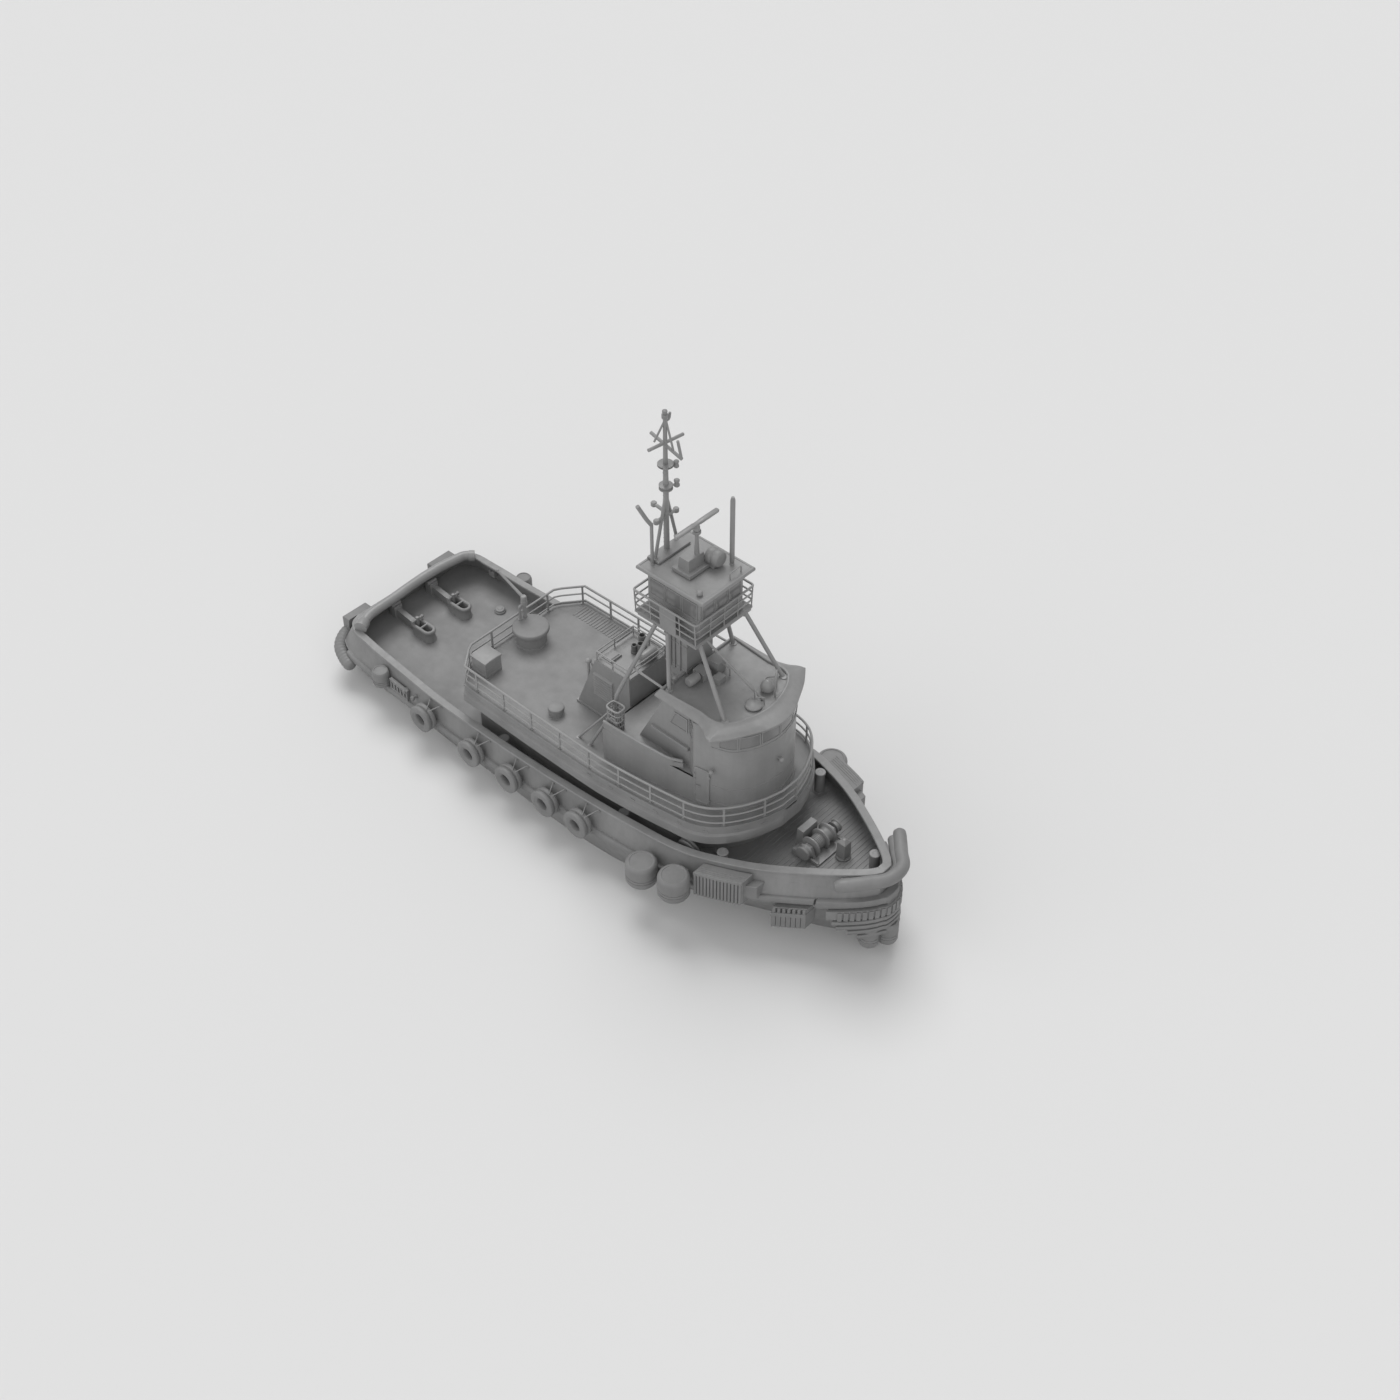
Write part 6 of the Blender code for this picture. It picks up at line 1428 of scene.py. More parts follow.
def makeCasing():
    foot, head, low, high = casing["foot"], casing["top"], casing["low"], casing["high"]
    shapes = [tapered(foot, head, low, high)]
    x0, x1, y0, y1 = head
    for z, out, tall in ((high - 0.10, 0.02, 0.05), (low, 0.03, 0.12)):
        t = (z - low) / (high - low)
        at = [f + (h - f) * t for f, h in zip(foot, head)]
        grown = (at[0] - out, at[1] + out, at[2] - out, at[3] + out)
        shapes.append(tapered(grown, grown, z, z + tall))
    # louvres on the starboard side, hatches and a tank on top, steps in front of the side
    count, first, spacing = casing["louvres"]
    for row in range(count):
        z = first + row * spacing
        shapes.append(loft([[(x, -1.06, z + 0.06), (x, -1.16, z), (x, -1.16, z - 0.02), (x, -1.06, z)]
                            for x in (-0.62, 0.42)]))
    shapes.append(tapered((-0.40, 0.12, -0.85, -0.20), (-0.38, 0.10, -0.83, -0.22), high, high + 0.10))
    shapes.append(tapered((-0.34, 0.06, -0.79, -0.26), (-0.30, 0.02, -0.75, -0.30), high + 0.10, high + 0.14))
    shapes.append(lathe([(0.10, -0.42), (0.20, -0.36), (0.22, -0.30), (0.22, 0.30), (0.20, 0.36), (0.10, 0.42)],
                        (0.98, 0.40, high + 0.26), "y", 28))
    for y in (0.16, 0.64):
        shapes.append(box((0.84, y - 0.03, high), (1.12, y + 0.03, high + 0.16)))
    count, first, spacing = casing["steps"]
    for step in range(count):
        z = first + step * spacing
        shapes.append(box((0.70 + step * 0.16, -1.32, z), (1.20, -1.04, z + 0.05)))
    makePiece("engineCasing", shapes, "housePaint", replaces=["engine_casing"], bevel=0.014)
    stacks = []
    for x, y, rise, radius in exhausts:
        head = high + rise
        profile = [(radius - 0.03, high - 0.02), (radius, high), (radius + 0.03, high + 0.02),
                   (radius + 0.03, high + 0.07), (radius, high + 0.09), (radius, head - 0.03),
                   (radius - 0.008, head), (radius - 0.035, head), (radius - 0.035, high + 0.10)]
        stacks.append(lathe(profile, (x, y, 0), sides=28, ring=True))
    makePiece("exhaustStacks", stacks, "sootySteel")
    pipes = []
    x0, x1, y0, y1 = x0 + 0.05, x1 - 0.05, y0 + 0.05, y1 - 0.05
    middle = (x0 + x1) / 2
    for z in (0.20, 0.42):
        pipes.append(railRing(x0, x1, y0, y1, high + z, 0.10, 0.030, 10))
    for x, y in ((x0, y0), (middle, y0), (x1, y0), (x1, y1), (middle, y1), (x0, y1), (x0, 0.0)):
        pipes.append(rod((x, y, high - 0.01), (x, y, high + 0.43), 0.026, 10))
    # upright vent pipe with a mushroom head behind the casing
    x, y = casing["vent"]
    pipes.append(rod((x, y, 5.30), (x, y, 6.45), 0.06, 14))
    pipes.append(lathe([(0.06, 6.40), (0.13, 6.43), (0.14, 6.50), (0.10, 6.56), (0.03, 6.59)], (x, y, 0),
                       sides=20))
    makePiece("casingPipes", pipes, "pipePaint", angle=50)


tower = {"trunk": (3.02, 4.10, 0.72), "under": 11.3797, "leg": 0.085, "roof": 8.70, "ledge": 5.60,
         "belts": (8.90, 10.05, 11.20), "rungs": (9, 6.1, 0.30), "cablePipes": (3.30, 3.50, 3.78)}
# x and half-breadth at the head and at the foot, which stands on the wheelhouse roof
roofLegs = ((5.22, 1.24, 6.88, 1.66), (3.80, 1.44, 4.20, 1.80))
# the leg that comes down beside the trunk to the lower house: x and half-breadth at its head and at its foot
sideLeg = (3.25, 1.46, 1.48, 1.95)
gallery = {"x0": 2.25, "x1": 5.32, "half": 1.56, "top": 11.48, "plate": 0.10, "rails": (0.30, 0.64, 0.98)}


def makeTower():
    x0, x1, half = tower["trunk"]
    under = tower["under"]
    head = under - 0.06
    shapes = [tapered((x0, x1, -half, half), (x0, x1, -half, half), lowerHouse["top"] + 0.001, under)]
    # belts round the trunk, a door and rungs on its aft side, cable pipes up its starboard side
    for z in tower["belts"]:
        shapes.append(box((x0 - 0.02, -half - 0.02, z), (x1 + 0.02, half + 0.02, z + 0.06)))
    shapes.append(box((x0 - 0.03, -0.34, 8.98), (x0 + 0.01, 0.34, 9.98)))
    count, first, spacing = tower["rungs"]
    for row in range(count):
        z = first + row * spacing
        rung = [(x0, 0.30, z), (x0 - 0.10, 0.30, z), (x0 - 0.10, 0.62, z), (x0, 0.62, z)]
        shapes.append(bentPipe(rung, 0.04, 0.014, 8, steps=3))
    for x in tower["cablePipes"]:
        shapes.append(rod((x, -half - 0.03, 8.80), (x, -half - 0.03, under), 0.028, 10))
    # the beams under the gallery
    half, inside = gallery["half"] - 0.05, gallery["half"] - 0.28
    a, b, low = gallery["x0"] + 0.1, gallery["x1"] - 0.02, under - 0.12
    for side in (-1, 1):
        shapes.append(sideBox(side, (a, b), (inside, half), (low, under)))
    for p, q in ((a, a + 0.2), (x0 - 0.1, x1 + 0.1), (b - 0.18, b)):
        shapes.append(box((p, -inside, low), (q, inside, under)))
    makePiece("stairTrunk", shapes, "housePaint", replaces=["tower"], bevel=0.012)
    legs, thick, foot = [], tower["leg"], tower["roof"]
    sx, sy, ex, ey = sideLeg
    ledge = tower["ledge"]
    for side in (-1, 1):
        for hx, hy, fx, fy in roofLegs:
            legs.append(rod((hx, side * hy, head), (fx, side * fy, foot), thick, 18))
            flange = [(0.15, foot + 0.065), (0.15, foot + 0.10), (0.11, foot + 0.115)]
            legs.append(lathe(flange, (fx, side * fy, 0), sides=20))
            legs.append(lathe([(0.12, under - 0.20), (0.13, under - 0.12)], (hx, side * hy, 0), sides=18))
        knee = [(sx, side * sy, head), (ex, side * ey, ledge + 1.25), (ex, side * ey, ledge)]
        legs.append(bentPipe(knee, 0.25, thick, 18))
        legs.append(lathe([(0.16, ledge), (0.16, ledge + 0.03), (0.11, ledge + 0.045)], (ex, side * ey, 0),
                          sides=20))
        legs.append(rod((2.18, side * 1.74, foot - 0.03), (3.93, side * 1.80, foot - 0.03), 0.05, 14))
    legs.append(rod((5.24, -0.90, head), (7.20, 0.20, foot), 0.052, 14))
    # two struts from the starboard leg down to the boat deck
    for x, radius in ((0.52, 0.06), (-0.12, 0.045)):
        legs.append(rod((ex, -ey, 6.32), (x, -2.56, boatDeckLevel), radius, 14))
        legs.append(lathe([(0.11, boatDeckLevel + 0.001), (0.11, boatDeckLevel + 0.02)], (x, -2.56, 0),
                          sides=16))
    makePiece("towerLegs", legs, "pipePaint", angle=50)


def makeGallery():
    g = gallery
    half, floor = g["half"], g["top"]
    shapes = [box((g["x0"], -half, floor - g["plate"]), (g["x1"], half, floor))]
    for k in range(12):
        x = g["x0"] + 0.14 + k * (g["x1"] - g["x0"] - 0.28) / 11
        for y0, y1 in ((-half + 0.04, -1.19), (1.19, half - 0.04)):
            shapes.append(box((x - 0.012, y0, floor), (x + 0.012, y1, floor + 0.012)))
    # an upright board on the starboard rail
    board = ((0.02, -0.05), (-0.02, -0.05), (-0.05, 1.0), (-0.01, 1.0))
    shapes.append(loft([[(x, y - half, floor + z) for y, z in board] for x in (3.55, 4.35)]))
    makePiece("galleryFloor", shapes, "deckPaint", replaces=["gallery"], bevel=0.01)
    pipes = []
    for height in g["rails"]:
        spread = 0.05 * height - 0.02
        wide, thick = half + spread, 0.047 if height == g["rails"][-1] else 0.035
        pipes.append(railRing(g["x0"] - spread, g["x1"] + spread, -wide, wide, floor + height, 0.14, thick, 12))
    middle = (g["x0"] + g["x1"]) / 2
    for x in (g["x0"] + 0.03, g["x0"] + 0.80, middle, g["x1"] - 0.80, g["x1"] - 0.03):
        for side in (-1, 1):
            low, high = side * (half - 0.03), side * (half + 0.03)
            pipes.append(rod((x, low, floor - 0.06), (x, high, floor + 0.98), 0.027, 10))
    for x, lean in ((g["x0"] + 0.03, -0.04), (g["x1"] - 0.03, 0.04)):
        for y in (-0.75, 0.0, 0.75):
            pipes.append(rod((x, y, floor - 0.06), (x + lean, y, floor + 0.98), 0.027, 10))
    makePiece("galleryRail", pipes, "pipePaint", angle=50)


upperHouse = {"x0": 2.60, "x1": 5.16, "half": 1.17, "low": 11.48, "top": 13.28, "paneLow": 12.32,
              "paneHigh": 13.02, "belt": 12.08}
upperRoof = {"x0": 2.24, "x1": 5.54, "half": 1.43, "low": 13.2803, "top": 13.52}


def makeUpperHouse():
    h = upperHouse
    x0, x1, half = h["x0"], h["x1"], h["half"]
    shapes, frames, panes = [], [], []
    plan = [(x0, -half), (x1, -half), (x1, half), (x0, half)]
    shapes.append(wallStrip(plan, wall, h["low"] + 0.001, h["paneLow"], closed=True))
    shapes.append(wallStrip(plan, wall, h["paneHigh"], h["top"], closed=True))
    # pillars between the panes; a face has a corner, its direction, outward, how many panes, the first one's
    # place, their spacing and their width
    low, high = h["paneLow"], h["paneHigh"]
    faces = [((x0, -half), (1, 0), (0, -1), 3, 0.14, 0.80, 0.68),
             ((x0, half), (1, 0), (0, 1), 3, 0.14, 0.80, 0.68),
             ((x1, -half), (0, 1), (1, 0), 3, 0.14, 0.72, 0.61),
             ((x0, -half), (0, 1), (-1, 0), 2, 0.22, 1.10, 0.80)]
    for corner, across, out, count, first, step, width in faces:
        corner, across, out = Vector(corner), Vector(across), Vector(out)
        length = x1 - x0 if across.x else 2 * half
        edges = [0.0 if across.x else wall]
        for i in range(count):
            edges += [first + i * step, first + i * step + width]
        edges.append(length if across.x else length - wall)
        for start, end in zip(edges[::2], edges[1::2]):
            a, b = corner + across * start, corner + across * end
            c, d = b - out * wall, a - out * wall
            shapes.append(prism([(p.x, p.y) for p in (a, b, c, d)], low - 0.001, high + 0.001))
        for start, end in zip(edges[1::2], edges[2::2]):
            at = corner + across * start
            frameShape, pane = framedPane((at.x, at.y, low), (across.x, across.y, 0), (out.x, out.y, 0),
                                          end - start, high - low, border=0.035, proud=0.02)
            frames.append(frameShape)
            panes.append(pane)
    for side in (-1, 1):
        shapes.append(sideBox(side, (x0 + 0.2, x1 - 0.2), (half, half + 0.02), (h["belt"], h["belt"] + 0.03)))
    makePiece("upperHouseWalls", shapes, "housePaint", replaces=["upper_house"])
    makePiece("upperHouseWindowFrames", frames, "housePaint", angle=40)
    makePiece("upperHousePanes", panes, "paneGlass")


def makeUpperRoof():
    r = upperRoof
    x0, x1, half, low, top = r["x0"], r["x1"], r["half"], r["low"], r["top"]
    section = ((0.10, low), (0.0, low + 0.10), (0.0, top - 0.04), (0.03, top - 0.005), (0.10, top - 0.005),
               (0.12, top - 0.03), (0.16, top - 0.03))
    shapes = [loft([[(x0 + o, -half + o, z), (x1 - o, -half + o, z), (x1 - o, half - o, z),
                     (x0 + o, half - o, z)] for o, z in section])]
    makePiece("upperRoof", shapes, "housePaint", replaces=["upper_roof"], bevel=0.012, angle=30)
    foot = top - 0.04
    tall = [(0.09, 0), (0.09, 0.03), (0.06, 0.05), (0.085, 0.08), (0.095, 0.45), (0.095, 2.9), (0.06, 3.04)]
    short = [(0.08, 0), (0.08, 0.03), (0.05, 0.05), (0.07, 0.10), (0.065, 0.40), (0.065, 1.86)]
    aerials = [lathe([(radius, foot + z) for radius, z in profile], (x, y, 0), sides=14)
               for profile, x, y in ((tall, 4.75, 1.02), (short, 2.62, -0.95))]
    whip = [(2.62, -0.95, foot + 1.8), (2.55, -1.12, foot + 2.1), (2.40, -1.42, foot + 2.79)]
    aerials.append(bentPipe(whip, 0.1, 0.08, 12))
    # handrail stub and round lamp
    stub = [(5.30, 0.30, foot), (5.30, 0.30, 13.78), (5.30, 0.90, 13.78), (5.30, 0.90, foot)]
    aerials.append(bentPipe(stub, 0.08, 0.025, 10))
    aerials.append(lathe([(0.05, foot), (0.11, foot + 0.05), (0.12, foot + 0.16), (0.07, foot + 0.22)],
                         (5.10, -1.10, 0), sides=20))
    makePiece("roofAerials", aerials, "pipePaint", angle=50)


mast = {"x": 2.45, "foot": 13.5203, "top": 19.70, "rungs": (12, 13.95, 0.19)}
# both ends as x from the mast, y and z, and the radius: crosstrees, spars, stays and arms
mastRods = ((0.0, -0.52, 15.10, 0.0, 0.52, 15.06, 0.07), (-0.62, 0.0, 15.30, 0.0, 0.0, 15.22, 0.07),
            (0.0, -0.85, 18.42, 0.0, 0.92, 18.18, 0.065), (-0.70, 0.0, 18.40, 0.80, 0.0, 17.98, 0.065),
            (0.78, 0.0, 17.98, 0.66, -0.06, 18.72, 0.055), (0.0, 0.06, 19.20, 0.42, 0.0, 18.05, 0.04),
            (0.0, -0.05, 19.20, -0.20, -0.35, 18.42, 0.04), (0.0, 0.0, 16.40, 0.2, 0.36, 16.40, 0.04),
            (0.0, 0.0, 17.35, 0.26, -0.28, 17.35, 0.04), (0.0, 0.0, 17.35, 0.26, 0.28, 17.35, 0.04))
# x from the mast, y, radius, bottom, top
mastLamps = ((0.0, 0.0, 0.26, 16.28, 16.50), (0.0, 0.0, 0.30, 17.32, 17.42), (0.26, -0.28, 0.10, 17.22, 17.52),
             (0.26, 0.28, 0.10, 17.22, 17.52), (0.20, 0.36, 0.11, 16.30, 16.62))
# share of the radius, share of the height
lampProfile = ((0.75, 0), (1, 0.10), (1, 0.30), (0.80, 0.38), (0.80, 0.66), (1, 0.74), (1, 0.88), (0.6, 1))


def makeMast():
    x, foot, top = mast["x"], mast["foot"], mast["top"]
    profile = [(0.15, foot), (0.15, foot + 0.04), (0.11, foot + 0.06), (0.105, 16.6), (0.09, 17.4),
               (0.07, top - 0.25)]
    shapes = [lathe(profile, (x, 0, 0), sides=20)]
    for dx, y in ((0.11, -0.75), (-0.20, 0.75)):
        shapes.append(rod((x + dx, y, foot), (x, y * 0.05, 15.90), 0.065, 14))
        shapes.append(lathe([(0.12, foot + 0.07), (0.12, foot + 0.10)], (x + dx, y, 0), sides=14))
    for *ends, radius in mastRods:
        start, end = (Vector((x + ends[i], ends[i + 1], ends[i + 2])) for i in (0, 3))
        shapes.append(rod(start, end, radius, 12))
        knob = [(radius + 0.03, -0.10), (radius + 0.045, -0.07), (radius + 0.045, 0.05), (radius + 0.02, 0.08)]
        if radius > 0.066:
            shapes += [lathe(knob, tuple(p), sides=14) for p in (start, end)]
    shapes.append(bentPipe([(x, 0, 19.2), (x, 0.22, 19.2), (x, 0.26, 19.45)], 0.08, 0.05, 12))
    count, first, spacing = mast["rungs"]
    for k in range(count):
        z = first + k * spacing
        shapes.append(rod((x - 0.02, -0.14, z), (x - 0.02, 0.14, z), 0.012, 8))
    makePiece("mastAndSpars", shapes, "pipePaint", replaces=["mast"], angle=50)
    step = tapered((x - 0.20, x + 0.42, -0.86, 0.86), (x - 0.18, x + 0.40, -0.84, 0.84), foot, foot + 0.08)
    makePiece("mastStep", [step], "housePaint", bevel=0.012)
    lampShapes = []
    for dx, dy, radius, low, high in mastLamps:
        profile = [(radius * wide, low + (high - low) * up) for wide, up in lampProfile]
        lampShapes.append(lathe(profile, (x + dx, dy, 0), sides=24))
    lampShapes.append(lathe([(0.05, -0.4), (0.11, -0.36), (0.12, -0.34), (0.12, -0.2), (0.07, -0.18),
                             (0.10, -0.10), (0.09, -0.04), (0.03, 0.0)], (x, 0, top), sides=24))
    makePiece("mastLamps", lampShapes, "housePaint", angle=40)


radar = {"x": 3.95, "top": 15.20, "bar": 15.50, "half": 1.12}


def makeRadar():
    x, foot = radar["x"], mast["foot"]
    top = radar["top"]
    post = [(0.13, foot + 0.10), (0.10, foot + 0.64), (0.07, 14.8), (0.07, top - 0.17), (0.15, top - 0.12),
            (0.16, top - 0.10), (0.16, top)]
    drum = [(0.22, -0.32), (0.30, -0.30), (0.34, -0.2), (0.34, -0.02), (0.325, 0.0), (0.34, 0.02), (0.34, 0.2),
            (0.28, 0.28), (0.20, 0.30)]
    shapes = [lathe(post, (x, 0, 0), sides=24), box((x - 0.55, -0.75, foot), (x + 0.35, 0.45, foot + 0.16)),
              tapered((x - 0.40, x + 0.15, -0.60, 0.30), (x - 0.36, x + 0.11, -0.56, 0.26), foot + 0.1,
                      foot + 0.62), lathe(drum, (x + 0.42, 0.55, foot + 0.36), "x", 28),
              box((x - 0.1, 0.3, foot), (x + 0.55, 0.6, foot + 0.2))]
    makePiece("radarPost", shapes, "housePaint", replaces=["radar_post"], bevel=0.012)
    bar = [(-0.09, -0.03), (-0.07, -0.07), (0.07, -0.07), (0.09, -0.03), (0.09, 0.05), (0.06, 0.07),
           (-0.06, 0.07), (-0.09, 0.05)]
    z, half = radar["bar"], radar["half"]
    rings = []
    for y, scale in ((-half, 0.7), (-half + 0.04, 1), (-0.16, 1), (-0.12, 0.9), (0.12, 0.9), (0.16, 1),
                     (half - 0.04, 1), (half, 0.7)):
        rings.append([(x + dx * scale, y, z + dz * scale) for dx, dz in bar])
    hub = [(0.10, top + 0.0006), (0.12, top + 0.02), (0.12, top + 0.18), (0.09, top + 0.22), (0.09, z)]
    scanner = [lathe(hub, (x, 0, 0), sides=24), loft(rings)]
    makePiece("radarScanner", scanner, "pipePaint", body="radar_scanner", replaces=["radar_scanner"])


makeCasing()
makeTower()
makeGallery()
makeUpperHouse()
makeUpperRoof()
makeMast()
makeRadar()
print("casing, tower and mast made")


# ---- gear on the decks

windlass = {"x": 10.12, "y": 0.25, "z": 3.26, "radius": 0.33, "rim": 0.44, "half": 0.44, "axle": 0.09}


def makeWindlass():
    x, y, z = windlass["x"], windlass["y"], windlass["z"]
    base = deckHeight(x - 0.66) + 0.001
    bed = deckHeight(x + 0.66) + 0.09
    shapes = [box((x - 0.66, y - 0.86, base), (x + 0.66, y + 0.86, bed))]
    for middle in (y - 0.80, y + 0.80):
        shapes.append(box((x - 0.62, middle - 0.05, bed), (x + 0.62, middle + 0.05, bed + 0.06)))
    for y0, y1 in ((y - 0.74, y - 0.58), (y + 0.58, y + 0.74)):
        for sign in (-1, 1):
            legs = [[(x + sign * 0.36, p, bed - 0.03), (x + sign * 0.20, p, bed - 0.03),
                     (x + sign * 0.105, p, z - 0.02), (x + sign * 0.105, p, z + 0.13),
                     (x + sign * 0.17, p, z + 0.13)] for p in (y0, y1)]
            shapes.append(loft(legs))
        shapes.append(box((x - 0.15, y0, z + 0.105), (x + 0.15, y1, z + 0.17)))
    # gearbox aft of the drum with its round cover and a brake wheel
    shapes.append(tapered((x - 0.86, x - 0.50, y - 0.40, y + 0.50), (x - 0.83, x - 0.52, y - 0.37, y + 0.47),
                          base, z + 0.30))
    shapes.append(lathe([(0.20, -0.03), (0.24, -0.01), (0.24, 0.02), (0.17, 0.04)],
                        (x - 0.86, y + 0.05, z - 0.06), "x", 28))
    makePiece("windlassBed", shapes, "housePaint", replaces=["windlass"], bevel=0.010)
    radius, rim, axle, half = windlass["radius"], windlass["rim"], windlass["axle"], windlass["half"]
    thin = radius * 0.8
    # warping head, axle, rope drum with its coils, chain wheel, axle and the other warping head
    profile = [(0.04, -1.05), (0.29, -1.05), (0.32, -1.02), (0.31, -0.98), (0.26, -0.94), (0.25, -0.88),
               (0.31, -0.83), (0.32, -0.80), (axle, -0.79), (axle, -half - 0.12), (rim - 0.02, -half - 0.11),
               (rim, -half - 0.10), (rim, -half - 0.04), (rim - 0.02, -half - 0.03),
               (thin + 0.04, -half - 0.02), (thin, -half + 0.02)]
    coil = 0.035
    for k in range(6):
        middle = -half + 0.02 + coil + k * half / 6
        profile += [(thin, middle - coil), (thin + 0.028, middle - coil * 0.4),
                    (thin + 0.028, middle + coil * 0.4), (thin, middle + coil * 0.98)]
    profile += [(thin, 0.02), (rim - 0.02, 0.035), (rim, 0.045), (rim, 0.11), (rim - 0.02, 0.12),
                (radius, 0.14), (radius - 0.02, 0.20), (radius - 0.02, half - 0.08), (radius, half - 0.04),
                (rim - 0.02, half), (rim, half + 0.01), (rim, half + 0.07), (rim - 0.02, half + 0.08),
                (axle + 0.05, half + 0.09), (axle + 0.05, 0.5785), (axle, 0.5785), (axle, 0.79), (0.27, 0.80),
                (0.26, 0.84), (0.20, 0.89), (0.21, 0.96), (0.27, 1.00), (0.27, 1.03), (0.24, 1.05),
                (0.04, 1.05)]
    makePiece("windlassDrum", [lathe(profile, (x, y, z), "y", 44)], "housePaint", body="windlass_drum",
              replaces=["windlass_drum"], angle=32)


deckTyre = {"x": 6.45, "y": -3.30, "radius": 0.52, "depth": 0.30, "lean": 9}


def makeDeckTyre():
    x, radius = deckTyre["x"], deckTyre["radius"]
    place = Matrix.Translation((x, deckTyre["y"], deckHeight(x) + radius - 0.03))
    place = place @ Matrix.Rotation(radians(deckTyre["lean"]), 4, "X")
    shapes = [fatTyre(radius - 0.002, deckTyre["depth"], radius * 0.5, (0, 0, 0))]
    makePiece("deckTyre", shapes, "fenderRubber", replaces=["deck_tyre"], matrix=place, angle=50)


locker = {"x0": -6.22, "x1": -5.35, "y0": -2.72, "y1": -1.85, "low": 4.0003, "top": 4.74}


def makeLocker():
    x0, x1, y0, y1 = (locker[key] for key in ("x0", "x1", "y0", "y1"))
    low, top = locker["low"], locker["top"]
    plan = [(x0, y0), (x1, y0), (x1, y1), (x0, y1)]
    shapes = [wallStrip(plan, 0.05, low, top, closed=True),
              box((x0 + 0.02, y0 + 0.02, low), (x1 - 0.02, y1 - 0.02, low + 0.06))]
    for z in (low + 0.10, low + 0.40):
        shapes.append(box((x0 + 0.06, y0 - 0.012, z), (x1 - 0.06, y0 + 0.01, z + 0.03)))
        shapes.append(box((x1 - 0.01, y0 + 0.06, z), (x1 + 0.012, y1 - 0.06, z + 0.03)))
    makePiece("lockerBox", shapes, "housePaint", replaces=["locker"], bevel=0.008)
    # the lid's top rises to a low rounded ridge
    a, b, c, d = x0 - 0.03, x1 + 0.03, y0 - 0.03, y1 + 0.03
    rings = []
    for k in range(11):
        t = k / 10
        y = c + (d - c) * t
        rise = top + 0.075 + 0.044 * sin(pi * t) ** 0.7
        rings.append([(a, y, top + 0.001), (a, y, rise - 0.012), (a + 0.02, y, rise), (b - 0.02, y, rise),
                      (b, y, rise - 0.012), (b, y, top + 0.001)])
    grip = [(b, c + 0.30, top + 0.06), (b, c + 0.32, top + 0.085), (b, d - 0.32, top + 0.085),
            (b, d - 0.30, top + 0.06)]
    lid = [loft(rings), bentPipe(grip, 0.02, 0.012, 8)]
    makePiece("lockerLid", lid, "housePaint", body="locker_lid", replaces=["locker_lid"], angle=30)


crane = {"x": -6.32, "y": 0.46, "foot": 4.8405, "top": 5.75, "reach": 1.48, "rise": 0.76}


def makeCrane():
    x, y, top, foot = crane["x"], crane["y"], crane["top"], crane["foot"]
    post = [(0.10, foot), (0.10, foot + 0.03), (0.085, foot + 0.05), (0.085, top - 0.32),
            (0.14, top - 0.29), (0.14, top - 0.06), (0.11, top - 0.04), (0.10, top)]
    shapes = [lathe(post, (x, y, 0), sides=24)]
    goose = [(x, y - 0.27, foot), (x, y - 0.27, top - 0.22), (x, y - 0.10, top - 0.22)]
    shapes.append(bentPipe(goose, 0.14, 0.06, 16))
    shapes.append(lathe([(0.09, foot), (0.09, foot + 0.03)], (x, y - 0.27, 0), sides=20))
    makePiece("cranePost", shapes, "pipePaint", replaces=["crane_post"], angle=40)
    z = top + 0.0006
    end = Vector((x - crane["reach"], y - 0.02, z + crane["rise"]))
    start = Vector((x, y, z + 0.11))
    boom = [lathe([(0.13, z), (0.13, z + 0.15), (0.10, z + 0.20)], (x, y, 0), sides=24),
            tube([start, start.lerp(end, 0.5), end], [0.07, 0.06, 0.05], 16)]
    boom.append(lathe([(0.06, -0.04), (0.07, -0.02), (0.07, 0.02), (0.06, 0.04)], tuple(end), "y", 20))
    lug = start.lerp(end, 0.25)
    boom.append(rod(lug + Vector((0, -0.05, 0.04)), lug + Vector((0, 0.05, 0.04)), 0.02, 8))
    makePiece("craneBoom", boom, "pipePaint", body="crane_boom", replaces=["crane_boom"], angle=40)


door = {"lap": 0.04, "thick": 0.06, "inside": 4.0}  # inside is an x within the houses


